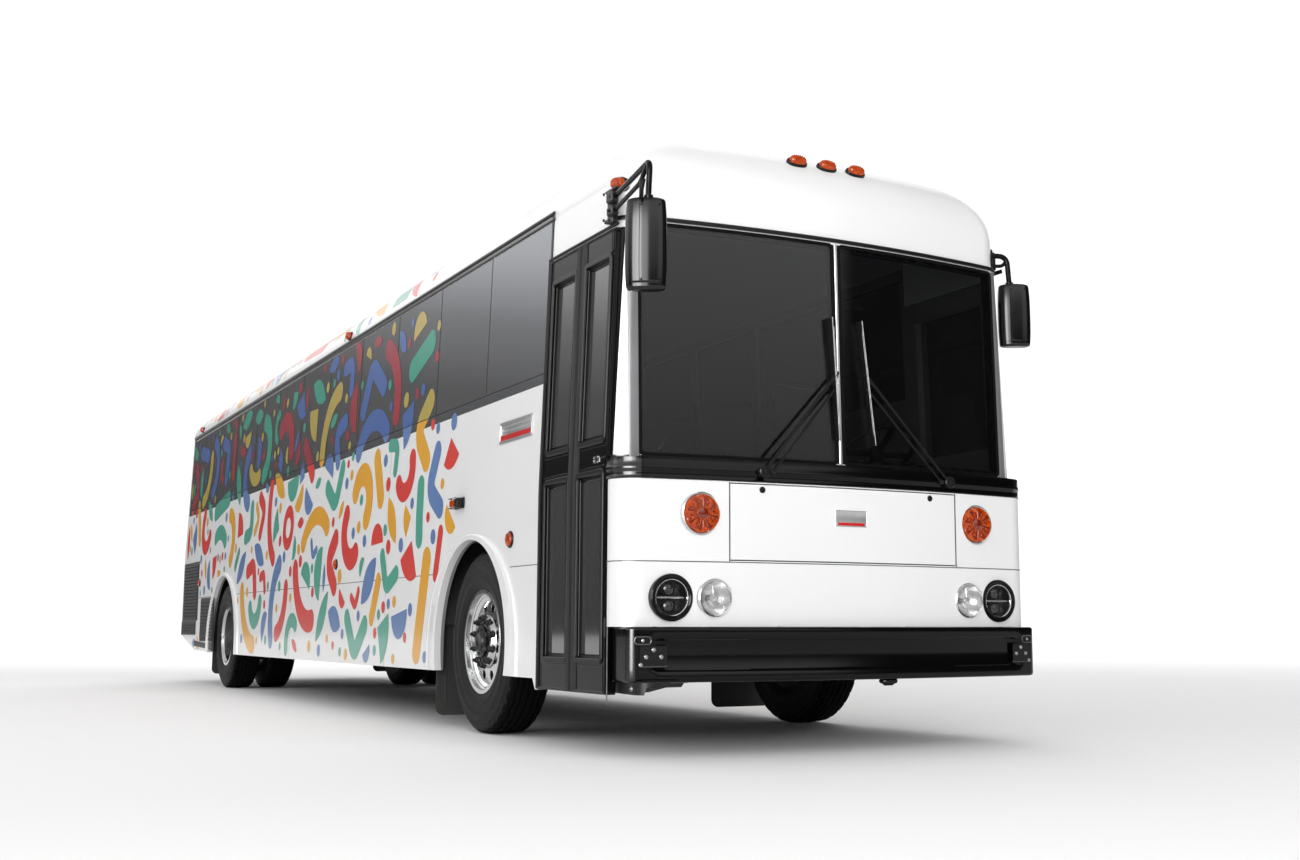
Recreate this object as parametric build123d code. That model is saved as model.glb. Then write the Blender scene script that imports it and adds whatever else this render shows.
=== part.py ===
from build123d import *
import os
import math

os.makedirs("parts", exist_ok=True)

# ---------------------------------------------------------------- driving dimensions (mm)
# +X forward, +Y left, +Z up, ground at z = 0, origin under the centre of the outer box
FX = 5820.0            # front skin at the centre line
RX = -6110.0           # rear skin
HALF = 1219.0          # half width of the body side
BELT = 1309.0          # above this the sides lean in
LEAN_TOP = 1171.0      # half width at the drip rail
Z_DRIP = 2764.0
CORNER_Y, CORNER_Z = 930.0, 3035.0
CORNER_MID = (1098.0, 2963.0)
CROWN = 3120.0
WALL = 50.0            # wall thickness, outer skin to inner lining
GLASS = 8.0
FRONT_R = 6850.0       # plan radius of the front
Z_PANEL = 605.0        # bottom of the white front panel
Z_BAND0, Z_BAND1 = 1293.0, 1395.0
SETBACK = 85.0         # windshield frame behind the front panel
SKIRT = 343.0
DOOR_X0, DOOR_X1, DOOR_Z0, DOOR_Z1 = 4756.0, 5589.0, 287.0, 2530.0
CAP_X = 4763.0         # rear joint of the front cap
LEFT_X = 5560.0        # front joint of the left side wall
WIN_X0, WIN_PITCH, WIN_N = 4763.0, 916.0, 11
WIN_Z0, WIN_Z1 = 1933.0, 2751.0
WIN_END = -6010.0
FLOOR0, FLOOR1 = 900.0, 950.0
FRONT_AXLE, REAR_AXLE = 3720.0, -3700.0
TYRE_R, TYRE_W = 522.0, 279.0
RIM_R = 286.0
FRONT_TY = 1028.0      # front tyre centre
REAR_TY1, REAR_TY2 = 1045.0, 702.0
KING_Y = 870.0
EXIT_X0, EXIT_X1, EXIT_Z0, EXIT_Z1 = -1645.0, -737.0, 950.0, 2718.0
ENG_Y, ENG_Z0, ENG_Z1 = 900.0, 722.0, 1650.0


def box(x0, x1, y0, y1, z0, z1):
    return Pos((x0 + x1) / 2, (y0 + y1) / 2, (z0 + z1) / 2) * Box(x1 - x0, y1 - y0, z1 - z0)


def cyl_y(x, z, y0, y1, r):
    return Pos(x, (y0 + y1) / 2, z) * Rot(90, 0, 0) * Cylinder(r, y1 - y0)


def cyl_x(y, z, x0, x1, r):
    return Pos((x0 + x1) / 2, y, z) * Rot(0, 90, 0) * Cylinder(r, x1 - x0)


def cyl_z(x, y, z0, z1, r):
    return Pos(x, y, (z0 + z1) / 2) * Cylinder(r, z1 - z0)


def one(s):
    """the shape as a list of solids"""
    if isinstance(s, (list, ShapeList)):
        out = []
        for i in s:
            out += list(i.solids())
        return out
    return list(s.solids())


def save(name, shape):
    sol = [s for s in one(shape) if s.volume > 500]
    c = Compound(children=sol) if len(sol) > 1 else sol[0]
    c.label = name
    export_step(c, "parts/%s.step" % name)
    print(name, len(sol))


def mirror_y(s):
    return [i.mirror(Plane.XZ) for i in one(s)]


# ---------------------------------------------------------------- body hull
def section_face(off, z0):
    a = (HALF - off, z0)
    b = (HALF - off, BELT)
    c = (LEAN_TOP - off, Z_DRIP - 0.25 * off)
    m = (CORNER_MID[0] - 0.8 * off, CORNER_MID[1] - 0.75 * off)
    d = (CORNER_Y - 0.45 * off, CORNER_Z - off)
    t = (0.0, CROWN - off)
    n = lambda p: (-p[0], p[1])
    e = [Line(a, b), Line(b, c), ThreePointArc(c, m, d), ThreePointArc(d, t, n(d)),
         ThreePointArc(n(d), n(m), n(c)), Line(n(c), n(b)), Line(n(b), n(a)), Line(n(a), a)]
    return Plane.YZ * make_face(Wire(e))


def plan_face(z, s, h, r, x_back=4200.0):
    ox = FX - s - FRONT_R
    yc = h - r
    xc = ox + math.sqrt((FRONT_R - r) ** 2 - yc ** 2)
    k = FRONT_R / (FRONT_R - r)
    tx, ty = ox + (xc - ox) * k, yc * k
    ang0 = math.atan2(ty, tx - xc if False else tx - ox)
    a1 = math.atan2(ty - yc, tx - xc)
    am = (a1 + math.pi / 2) / 2
    mx, my = xc + r * math.cos(am), yc + r * math.sin(am)
    e = [Line((x_back, -h), (xc, -h)), ThreePointArc((xc, -h), (mx, -my), (tx, -ty)),
         ThreePointArc((tx, -ty), (FX - s, 0), (tx, ty)), ThreePointArc((tx, ty), (mx, my), (xc, h)),
         Line((xc, h), (x_back, h)), Line((x_back, h), (x_back, -h))]
    return Pos(0, 0, z) * make_face(Wire(e))


def half_width(z):
    if z <= BELT:
        return HALF
    if z <= Z_DRIP:
        return HALF - (HALF - LEAN_TOP) * (z - BELT) / (Z_DRIP - BELT)
    if z <= CORNER_Z:
        return 921.0 + math.sqrt(max(250.0 ** 2 - (z - 2786.0) ** 2, 0))
    return math.sqrt(max(5130.0 ** 2 - (z - (CROWN - 5130.0)) ** 2, 0))


CAP = ((2560.0, SETBACK + 31, 140.0), (2780.0, SETBACK + 46, 160.0), (2900.0, SETBACK + 75, 200.0),
       (2985.0, SETBACK + 130, 250.0), (3050.0, SETBACK + 250, 300.0), (3090.0, SETBACK + 430, 330.0),
       (3115.0, SETBACK + 700, 300.0))


def hull(off, z0):
    """closed outer body, every skin moved in by off"""
    tail = Pos(RX + off, 0, 0) * extrude(section_face(off, z0), 4300.0 - (RX + off), dir=(1, 0, 0))
    nose = Pos(4300.0, 0, 0) * extrude(section_face(off, z0), FX + 100 - 4300.0, dir=(1, 0, 0))
    low = extrude(plan_face(z0 - 1, off, HALF - off + 3, 150.0 - 0.4 * off), Z_BAND1 - off * 0.0 - z0 + 1, dir=(0, 0, 1))
    mid = loft([plan_face(Z_BAND1, SETBACK + off, HALF - off + 3, 140.0 - 0.4 * off),
                plan_face(2560.0, SETBACK + 31 + off, half_width(2560.0) - off + 6, 140.0 - 0.4 * off)])
    secs = []
    for z, s, r in CAP:
        zz = z if z == 2560.0 else z - off * min(1.0, (z - 2560.0) / 500.0)
        secs.append(plan_face(zz, s + off, max(half_width(z) - off * 0.7 + 10, r + 60), r - 0.4 * off))
    top = loft(secs)
    cap_top = extrude(secs[-1], 60.0, dir=(0, 0, 1))
    front = low + mid + top + cap_top
    return [tail, nose & front]


def hull_cut(off, z0, region):
    """hull inside a region, as one fused solid list"""
    t, n = hull(off, z0)
    out = []
    for h in (t, n):
        c = h & region
        out += one(c)
    if len(out) > 1:
        f = out[0]
        for o in out[1:]:
            f = f + o
        return f
    return out[0]


def shape(s):
    sol = one(s)
    f = sol[0]
    for o in sol[1:]:
        f = f + o
    return f


T0, N0 = hull(0, 200.0)
OUTER = T0 + N0
TI, NI = hull(WALL, 100.0)
INNER = TI + NI
TG, NG = hull(GLASS, 150.0)
SKIN_IN = TG + NG
SHELL = OUTER - INNER
SKIN = OUTER - SKIN_IN          # the outer 8 mm, where bonded glass lies

BIG = 9000.0


def prism_xz(pts, y0, y1):
    """polygon in X-Z, extruded along Y"""
    w = Polyline([Vector(p[0], 0, p[1]) for p in pts] + [Vector(pts[0][0], 0, pts[0][1])])
    f = make_face(w)
    return Pos(0, y0, 0) * extrude(f, y1 - y0, dir=(0, 1, 0))


def arch(xc, zc, r, y0, y1):
    return cyl_y(xc, zc, y0, y1, r) + box(xc - r, xc + r, y0, y1, 100, zc)


FRONT_ARCH = (3708.0, 501.0, 604.0)
REAR_ARCH = (-3680.0, 430.0, 690.0)
BOTTOM = [(-6300.0, 100.0), (-6300.0, 690.0), (-6134.0, 690.0), (-5990.0, 500.0), (-5210.0, 357.0), (-4400.0, 350.0),
          (-2900.0, SKIRT), (4680.0, SKIRT), (4716.0, DOOR_Z0), (5589.0, DOOR_Z0), (5600.0, DOOR_Z0), (5600.0, 100.0)]
BOTTOM_L = BOTTOM[:7] + [(5700.0, SKIRT), (5700.0, 100.0)]


# ---------------------------------------------------------------- side walls
def windows(side):
    out = []
    for k in range(WIN_N + 1):
        x1 = WIN_X0 - k * WIN_PITCH
        x0 = x1 - WIN_PITCH if k < WIN_N else WIN_END
        if side > 0 and k == 6:
            continue
        out.append((x0 + 3, x1 - 3))
    return out


def wall(side):
    y0, y1 = (1000.0, 1400.0) if side > 0 else (-1400.0, -1000.0)
    if side < 0:
        reg = box(RX + WALL, DOOR_X0, y0, y1, 200, Z_DRIP)
        bot = BOTTOM
    else:
        reg = box(RX + WALL, CAP_X, y0, y1, 200, Z_DRIP) + box(CAP_X, LEFT_X, y0, y1, 200, DOOR_Z1)
        bot = BOTTOM_L
    w = SHELL & reg
    w = w - prism_xz(bot, y0, y1)
    w = w - arch(*FRONT_ARCH, y0, y1) - arch(*REAR_ARCH, y0, y1)
    band = SKIN & box(WIN_END, WIN_X0, y0, y1, WIN_Z0, WIN_Z1)
    glass = []
    if side > 0:
        ex = box(EXIT_X0, EXIT_X1, y0, y1, EXIT_Z0, EXIT_Z1)
        k6a, k6b = WIN_X0 - 7 * WIN_PITCH, WIN_X0 - 6 * WIN_PITCH
        band = band - box(k6a, k6b, y0, y1, 0, 4000)
        w = w - ex
        dw = box(4830.0, 5500.0, y0, y1, 1560.0, 2440.0)
        w = w - (SKIN & dw)
        w = w - box(4860.0, 5470.0, y0, y1, 1590.0, 2410.0)
        glass.append(SKIN & box(4832.0, 5498.0, y0, y1, 1562.0, 2438.0))
    w = w - band
    for a, b in windows(side):
        w = w - box(a + 32, b - 32, y0, y1, WIN_Z0 + 35, WIN_Z1 - 35)
        glass.append(SKIN & box(a, b, y0, y1, WIN_Z0, WIN_Z1))
    return w, glass


WR, GR = wall(-1)
WL, GL = wall(1)
save("right_side_wall", WR)
save("left_side_wall", WL)
save("right_side_windows", GR)
save("left_side_windows", GL)

# emergency exit door on the left side
G = 6.0
ed = SHELL & box(EXIT_X0 + G, EXIT_X1 - G, 1000, 1400, EXIT_Z0 + G, EXIT_Z1 - G)
ed = ed - box(EXIT_X0 + 110, EXIT_X1 - 110, 1000, 1400, 1980, 2640)
ed = ed - box(EXIT_X0 + 170, EXIT_X1 - 170, 1000, 1400, 1180, 1700)
save("left_emergency_door", ed)

# ---------------------------------------------------------------- front: cap, cowl band, panel
cap = SHELL & (box(DOOR_X1, FX + 50, -1400, 0, Z_BAND1, DOOR_Z1) + box(LEFT_X, FX + 50, 0, 1400, Z_BAND1, DOOR_Z1)
               + box(CAP_X, FX + 50, -1400, 1400, DOOR_Z1, 3300))
WS_Y, WS_Z0, WS_Z1 = 1085.0, 1415.0, 2555.0
ws_r = SKIN & box(5300, FX + 50, -WS_Y, -7, WS_Z0, WS_Z1)
ws_l = SKIN & box(5300, FX + 50, 7, WS_Y, WS_Z0, WS_Z1)
cap = cap - ws_r - ws_l
cap = cap - box(5300, FX + 50, -WS_Y + 25, -22, WS_Z0 + 25, WS_Z1 - 25)
cap = cap - box(5300, FX + 50, 22, WS_Y - 25, WS_Z0 + 25, WS_Z1 - 25)
save("front_cap", cap)
save("windshield", [ws_r, ws_l])

band = (SHELL & box(5300, FX + 50, -1400, 1400, Z_BAND0, Z_BAND1))
band = band - box(5300, DOOR_X1, -1400, 0, 1000, 1500) - box(5300, LEFT_X, 0, 1400, 1000, 1500)
save("wiper_cowl", band)

HOOD_Y, HOOD_Z0, HOOD_Z1 = 674.0, 915.0, 1288.0
fp = SHELL & box(5300, FX + 50, -1400, 1400, Z_PANEL, Z_BAND0)
fp = fp - box(5300, DOOR_X1, -1400, 0, 500, 1500) - box(5300, LEFT_X, 0, 1400, 500, 1500)
fp = fp - box(5300, FX + 50, -HOOD_Y, HOOD_Y, HOOD_Z0, HOOD_Z1)


def front_x(y, s=0.0):
    return FX - s - (FRONT_R - math.sqrt(FRONT_R ** 2 - y * y))


HEAD = [(967.0, 740.0, 109.0), (751.0, 740.0, 89.0)]
TURN = (818.0, 1135.0, 96.0)
lamps, turns = [], []
for sy in (-1, 1):
    for (y, z, r) in HEAD:
        x = front_x(y)
        l = cyl_x(sy * y, z, x - 70, x + 14, r)
        fp = fp - l
        lamps.append(l)
    y, z, r = TURN
    x = front_x(y)
    l = cyl_x(sy * y, z, x - 34, x + 22, r)
    fp = fp - l
    turns.append(l)
save("lower_front_panel", fp)
save("headlamps", lamps)
save("front_turn_lamps", turns)

hood = SHELL & box(5300, FX + 50, -HOOD_Y + G, HOOD_Y - G, HOOD_Z0 + G, HOOD_Z1 - G)
save("front_access_panel", hood)

# ---------------------------------------------------------------- roof, rear wall
HATCH = (2500.0, -2900.0)
HS = 320.0
roof = SHELL & box(RX + WALL, CAP_X, -1400, 1400, Z_DRIP, 3300)
for hx in HATCH:
    roof = roof - box(hx - HS, hx + HS, -HS, HS, 2900, 3300)
save("roof", roof)
for nm, hx in (("front_roof_hatch", HATCH[0]), ("rear_roof_hatch", HATCH[1])):
    lid = box(hx - HS + 8, hx + HS - 8, -HS + 8, HS - 8, 3078, 3152)
    lid = fillet(lid.edges().filter_by(Axis.Z), 40)
    save(nm, lid - box(hx - HS + 40, hx + HS - 40, -HS + 40, HS - 40, 3060, 3122))

rear = OUTER & box(RX - 1, RX + WALL, -1400, 1400, 500, 3300)
rear = rear - prism_xz(BOTTOM, -1400, 1400)
rear = rear - box(RX - 50, RX + 100, -ENG_Y, ENG_Y, ENG_Z0, ENG_Z1)
RW = (790.0, 1960.0, 2660.0)
rear = rear - box(RX - 50, RX + GLASS, -RW[0], RW[0], RW[1], RW[2])
rear = rear - box(RX - 50, RX + 100, -RW[0] + 35, RW[0] - 35, RW[1] + 35, RW[2] - 35)
for s in (1, -1):
    rear = rear - box(RX - 50, RX + 100, *sorted((s * 350.0, s * 430.0)), 560, 678)
save("rear_wall", rear)
save("rear_window", box(RX, RX + GLASS, -RW[0], RW[0], RW[1], RW[2]))
edoor = box(RX, RX + WALL, -ENG_Y + G, ENG_Y - G, ENG_Z0 + G, ENG_Z1 - G)
save("engine_door", edoor)

# ---------------------------------------------------------------- entrance door, two leaves swinging out
HY = -1228.0                     # hinge line, just proud of the skin
MID = (DOOR_X0 + DOOR_X1) / 2


def leaf(x0, x1, hinge_x, reach):
    l = SHELL & box(x0, x1, -1400, -1122, DOOR_Z0 + 5, DOOR_Z1 - G)
    l = l & cyl_z(hinge_x, HY, 0, 3000, reach)
    xa, xb = x0 + 62, x1 - 62
    l = l - box(xa, xb, -1400, -1000, 1500, 2390)
    l = l - box(xa, xb, -1400, -1000, 455, 1330)
    return l


save("entrance_door_front_leaf", leaf(MID + 5, DOOR_X1 - G, DOOR_X1, DOOR_X1 - MID - 5))
save("entrance_door_rear_leaf", leaf(DOOR_X0 + G, MID - 5, DOOR_X0, MID - 5 - DOOR_X0))

# ---------------------------------------------------------------- wheelhouses and floor
FH = (3070.0, 4370.0, 480.0)
RH = (-4410.0, -2990.0, 510.0)
HTOP = 1140.0


def wheelhouse(x0, x1, yin):
    o = INNER & box(x0, x1, yin, 1300, 620, HTOP)
    i = box(x0 + 20, x1 - 20, yin + 20, 1300, 100, HTOP - 20)
    return o - i


whs = [wheelhouse(*FH), wheelhouse(*RH)]
whs = whs + [m for w in whs for m in mirror_y(w)]
STEP_Y = -480.0
floor = INNER & box(-6300, 6000, -1300, 1300, FLOOR0, FLOOR1)
for h in (FH, RH):
    for s in (1, -1):
        y0, y1 = sorted((s * h[2], s * 1300))
        floor = floor - box(h[0], h[1], y0, y1, 800, 1000)
floor = floor - box(DOOR_X0, DOOR_X1, -1300, STEP_Y, 800, 1000)
# engine well in the floor
EW = (-6060.0, -4820.0, 520.0)
floor = floor - box(EW[0] - 100, EW[1], -EW[2], EW[2], 800, 1000)
# body sills across the frame
for xs in (5200.0, 4550.0, 2900.0, 2000.0, 1100.0, 200.0, -700.0, -1600.0, -2500.0, -2930.0, -4600.0):
    y_lo = -1168.0 if xs < 4700 else -430.0
    floor = floor + box(xs - 30, xs + 30, y_lo, 1168, 860, FLOOR0)
save("floor", floor)
save("wheelhouses", whs)
cover = box(EW[0], EW[1] + 20, -EW[2] - 20, EW[2] + 20, FLOOR1, 1400) - box(EW[0] - 50, EW[1], -EW[2], EW[2], 800, 1380)
save("engine_cover", cover)

# steps inside the doorway
st = [(-1163, 300), (-1163, 362), (-935, 362), (-935, 558), (-708, 558), (-708, 754), (-481, 754), (-481, 948),
      (-456, 948), (-456, 729), (-683, 729), (-683, 533), (-910, 533), (-910, 337), (-1000, 300)]
w = Polyline([Vector(0, a, b) for a, b in st] + [Vector(0, *st[0])])
steps = Pos(DOOR_X0 + 20, 0, 0) * extrude(make_face(w), DOOR_X1 - DOOR_X0 - 40, dir=(1, 0, 0))
side_poly = [(-1163, 300), (-1163, 898), (-456, 898), (-456, 700), (-910, 320), (-1000, 300)]
w2 = Polyline([Vector(0, a, b) for a, b in side_poly] + [Vector(0, *side_poly[0])])
plate = extrude(make_face(w2), 20.0, dir=(1, 0, 0))
steps = steps + Pos(DOOR_X0, 0, 0) * plate + Pos(DOOR_X1 - 20, 0, 0) * plate
steps = steps - box(DOOR_X0 - 10, DOOR_X1 + 10, -480.0, -400, FLOOR0, 1000)
save("entrance_steps", steps)

# ---------------------------------------------------------------- frame, bumpers, tank, engine
frame = []
for s in (1, -1):
    y0, y1 = sorted((s * 350.0, s * 430.0))
    yw0, yw1 = sorted((s * 422.0, s * 430.0))
    frame.append(box(-5960, 5635, yw0, yw1, 630, 850))
    frame.append(box(-5960, 5635, y0, y1, 850, 860))
    frame.append(box(-5960, 5635, y0, y1, 620, 630))
    frame.append(box(5560, 5845, y0, y1, 362, 593))
    frame.append(box(5560, 5635, y0, y1, 593, 620))
for xc in (5500.0, 4500.0, 2850.0, 1500.0, 0.0, -1500.0, -2850.0, -4550.0):
    frame.append(box(xc - 40, xc + 40, -422, 422, 660, 820))
frame.append(box(-5990, -5960, -430, 430, 560, 860))
fr = frame
save("chassis_frame", fr)


def bumper_front():
    o = extrude(plan_face(350.0, -60, 1190.0, 100.0), 255.0, dir=(0, 0, 1))
    i = extrude(plan_face(362.0, -48, 1178.0, 88.0), 231.0, dir=(0, 0, 1))
    b = o - i - box(4000, 5640, -1300, 1300, 300, 700)
    b = b - box(4000, 5760, -1150, 1150, 595, 700)
    b = b - OUTER if False else b
    return b


save("front_bumper", bumper_front())
rb = box(-6270, RX, -1195, 1195, 515, 690)
rb = rb - box(-6258, RX + 10, -1183, 1183, 527, 678)
rb = rb + box(-6258, RX, -430, -350, 527, 678) + box(-6258, RX, 350, 430, 527, 678)
for s in (1, -1):
    y0, y1 = sorted((s * 350.0, s * 430.0))
    rb = rb + box(RX, -5990, y0, y1, 560, 678)
    rb = rb - cyl_x(s * 650.0, 602, -6280, -6240, 22)
save("rear_bumper", rb)

tank = box(700, 2200, -1060, -470, 420, 800)
tank = fillet(tank.edges().filter_by(Axis.X), 70)
for xc in (1000.0, 1900.0):
    tank = tank + box(xc - 30, xc + 30, -470, -430, 640, 790)
save("fuel_tank", tank)
eng = box(-5900, -4900, -330, 330, 480, 1340)
for s in (1, -1):
    y0, y1 = sorted((s * 330.0, s * 342.0))
    eng = eng + box(-5500, -5300, y0, y1, 700, 800)
save("engine", eng)

# ---------------------------------------------------------------- front axle, knuckles, tie rod
beam = box(FRONT_AXLE - 40, FRONT_AXLE + 40, -560, 560, 385, 480)
beam = beam - box(FRONT_AXLE + 12, FRONT_AXLE + 60, -540, 540, 402, 463) - box(FRONT_AXLE - 60, FRONT_AXLE - 12, -540, 540, 402, 463)
for s in (1, -1):
    pts = [(s * 540, 385), (s * 560, 385), (s * 800, 470), (s * 850, 470), (s * 850, 574), (s * 790, 574), (s * 560, 480), (s * 540, 480)]
    w = Polyline([Vector(0, a, b) for a, b in pts] + [Vector(0, *pts[0])])
    beam = beam + Pos(FRONT_AXLE - 36, 0, 0) * extrude(make_face(w), 72.0, dir=(1, 0, 0))
    beam = beam + cyl_z(FRONT_AXLE, s * KING_Y, 462, 582, 44)
    beam = beam - cyl_z(FRONT_AXLE, s * KING_Y, 400, 700, 22.4)
    y0, y1 = sorted((s * 330.0, s * 450.0))
    beam = beam + box(FRONT_AXLE - 70, FRONT_AXLE + 70, y0, y1, 480, 500)
save("front_axle", beam)

ARM = (-190.0, 0.0)


def knuckle(s):
    k = cyl_z(FRONT_AXLE, s * KING_Y, 420, 624, 22)
    for z0, z1 in ((415, 456), (588, 629)):
        k = k + cyl_z(FRONT_AXLE, s * KING_Y, z0, z1, 46)
        y0, y1 = sorted((s * KING_Y, s * 955.0))
        k = k + box(FRONT_AXLE - 40, FRONT_AXLE + 40, y0, y1, z0, z1)
    y0, y1 = sorted((s * 925.0, s * 955.0))
    k = k + box(FRONT_AXLE - 60, FRONT_AXLE + 60, y0, y1, 415, 629)
    y0, y1 = sorted((s * 950.0, s * 1075.0))
    k = k + cyl_y(FRONT_AXLE, TYRE_R, y0, y1, 38)
    ax, ay = FRONT_AXLE + ARM[0], s * (KING_Y + ARM[1])
    pts = [(FRONT_AXLE, s * (KING_Y - 30)), (FRONT_AXLE, s * (KING_Y + 30)), (ax, ay + s * 22), (ax, ay - s * 22)]
    w = Polyline([Vector(a, b, 0) for a, b in pts] + [Vector(*pts[0], 0)])
    arm = Pos(0, 0, 415) * extrude(make_face(w), 25.0, dir=(0, 0, 1))
    arm = arm + cyl_z(ax, ay, 415, 440, 24)
    arm = arm - cyl_z(ax, ay, 400, 460, 10.4)
    return k + arm


save("left_knuckle", knuckle(1))
save("right_knuckle", knuckle(-1))
ax, ay = FRONT_AXLE + ARM[0], KING_Y + ARM[1]
tie = cyl_y(ax, 388, -ay, ay, 17) + cyl_z(ax, ay, 374, 438, 10) + cyl_z(ax, -ay, 374, 438, 10)
tie = tie + cyl_z(ax, ay, 370, 408, 24) + cyl_z(ax, -ay, 370, 408, 24)
save("tie_rod", tie)


# ---------------------------------------------------------------- wheels
def revolve_y(pts, xc, zc):
    """profile (r, y) turned about the Y line through (xc, zc)"""
    w = Polyline([Vector(a, b, 0) for a, b in pts] + [Vector(pts[0][0], pts[0][1], 0)])
    return Pos(xc, 0, zc) * revolve(make_face(w), Axis.Y, 360)


def tyre(xc, yc):
    h = TYRE_W / 2
    a = [Line((RIM_R, yc - 105), (RIM_R, yc + 105)), Line((RIM_R, yc + 105), (299, yc + 105)),
         ThreePointArc((299, yc + 105), (385, yc + h - 1), (470, yc + h - 12)),
         ThreePointArc((470, yc + h - 12), (512, yc + h - 24), (TYRE_R - 6, yc + h - 50)),
         ThreePointArc((TYRE_R - 6, yc + h - 50), (TYRE_R, yc), (TYRE_R - 6, yc - h + 50)),
         ThreePointArc((TYRE_R - 6, yc - h + 50), (512, yc - h + 24), (470, yc - h + 12)),
         ThreePointArc((470, yc - h + 12), (385, yc - h + 1), (299, yc - 105)), Line((299, yc - 105), (RIM_R, yc - 105))]
    return Pos(xc, 0, TYRE_R) * revolve(make_face(Wire(a)), Axis.Y, 360)


def front_wheel(s):
    yc = FRONT_TY
    p = [(RIM_R, yc - 105), (RIM_R, yc + 105), (298, yc + 107), (298, yc + 119), (276, yc + 119), (272, yc + 96),
         (258, yc + 84), (238, yc + 72), (150, yc + 84), (132, yc + 108), (116, yc + 112), (116, yc + 92), (110, yc + 92), (110, yc + 58), (130, yc + 50),
         (228, yc + 52), (250, yc + 62), (262, yc + 30), (262, yc - 96), (276, yc - 119), (298, yc - 119), (298, yc - 107)]
    w = revolve_y(p, FRONT_AXLE, TYRE_R)
    hub = revolve_y([(38.6, yc - 66), (70, yc - 66), (70, yc - 20), (150, yc - 20), (150, yc + 20), (110, yc + 40), (110, yc + 92), (92, yc + 96), (88, yc + 128),
                     (0, yc + 128), (0, yc + 54), (38.6, yc + 54)], FRONT_AXLE, TYRE_R)
    drum = revolve_y([(190, yc - 70), (206, yc - 70), (206, yc + 5), (148, yc + 5), (148, yc - 10), (190, yc - 10)], FRONT_AXLE, TYRE_R)
    w = w + hub + drum
    w = w + revolve_y([(109, yc + 58), (135, yc + 50), (135, yc + 20), (109, yc + 20)], FRONT_AXLE, TYRE_R)
    for i in range(10):
        a = math.radians(36 * i + 18)
        w = w - cyl_y(FRONT_AXLE + 200 * math.sin(a), TYRE_R + 200 * math.cos(a), yc + 30, yc + 100, 27)
    t = tyre(FRONT_AXLE, yc)
    return (w, t) if s > 0 else (mirror_y(w), mirror_y(t))


for nm, s in (("left", 1), ("right", -1)):
    w, t = front_wheel(s)
    save("front_%s_wheel" % nm, w)
    save("front_%s_tyre" % nm, t)


def rear_wheel(s):
    ym = (REAR_TY1 + REAR_TY2) / 2

    def rim(yc, side):
        # side +1 opens outward from the joint plane
        q = lambda d: yc + side * d
        d0 = (ym - yc) * side
        return revolve_y([(RIM_R, q(-105)), (RIM_R, q(105)), (298, q(107)), (298, q(119)), (276, q(119)), (264, q(94)),
                          (258, q(-96)), (240, q(d0 + 22)), (120, q(d0 + 12)), (120, q(d0)), (244, q(d0)), (274, q(-119)), (298, q(-119)), (298, q(-107))],
                         REAR_AXLE, TYRE_R)
    w = rim(REAR_TY1, 1) + rim(REAR_TY2, -1)
    hub = revolve_y([(50.6, ym - 160), (90, ym - 160), (90, ym - 60), (168, ym - 30), (168, ym - 12), (121, ym - 12), (121, ym + 12), (168, ym + 12), (168, ym + 26), (112, ym + 60),
                     (108, ym + 150), (0, ym + 150), (0, ym + 110), (50.6, ym + 110)], REAR_AXLE, TYRE_R)
    drum = revolve_y([(205, ym - 190), (222, ym - 190), (222, ym - 20), (150, ym - 20), (150, ym - 34), (205, ym - 34)], REAR_AXLE, TYRE_R)
    w = w + hub + drum
    for i in range(10):
        a = math.radians(36 * i + 18)
        w = w - cyl_y(REAR_AXLE + 212 * math.sin(a), TYRE_R + 212 * math.cos(a), ym + 1, ym + 60, 26)
    t = [tyre(REAR_AXLE, REAR_TY1), tyre(REAR_AXLE, REAR_TY2)]
    return (w, t) if s > 0 else (mirror_y(w), mirror_y(t))


for nm, s in (("left", 1), ("right", -1)):
    w, t = rear_wheel(s)
    save("rear_%s_wheels" % nm, w)
    save("rear_%s_tyres" % nm, t)

YM = (REAR_TY1 + REAR_TY2) / 2
ra = cyl_y(REAR_AXLE, TYRE_R, -640, 640, 72) + cyl_y(REAR_AXLE, TYRE_R, -YM - 100, YM + 100, 50)
ra = ra + cyl_y(REAR_AXLE, TYRE_R, -150, 150, 205)
ra = ra + cyl_x(0, TYRE_R, REAR_AXLE - 420, REAR_AXLE, 90)
save("rear_axle", ra)

# springs: leaf packs at the front, trailing beams with air bags at the rear
sp = []
for s in (1, -1):
    y0, y1 = sorted((s * 352.0, s * 428.0))
    l = box(FRONT_AXLE - 680, FRONT_AXLE + 680, y0, y1, 552, 570) + box(FRONT_AXLE - 480, FRONT_AXLE + 480, y0, y1, 532, 552)
    l = l + box(FRONT_AXLE - 280, FRONT_AXLE + 280, y0, y1, 500, 532)
    l = l + box(FRONT_AXLE - 700, FRONT_AXLE - 640, y0, y1, 552, 620) + box(FRONT_AXLE + 640, FRONT_AXLE + 700, y0, y1, 552, 620)
    sp.append(l)
    tb = box(REAR_AXLE - 560, REAR_AXLE + 700, y0, y1, 360, 450)
    tb = tb - cyl_y(REAR_AXLE, TYRE_R, -700, 700, 72)
    tb = tb + box(REAR_AXLE + 640, REAR_AXLE + 700, y0, y1, 450, 620)
    tb = tb + cyl_z(REAR_AXLE - 470, s * 390.0, 450, 620, 38)
    sp.append(tb)
save("suspension", sp)

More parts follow.
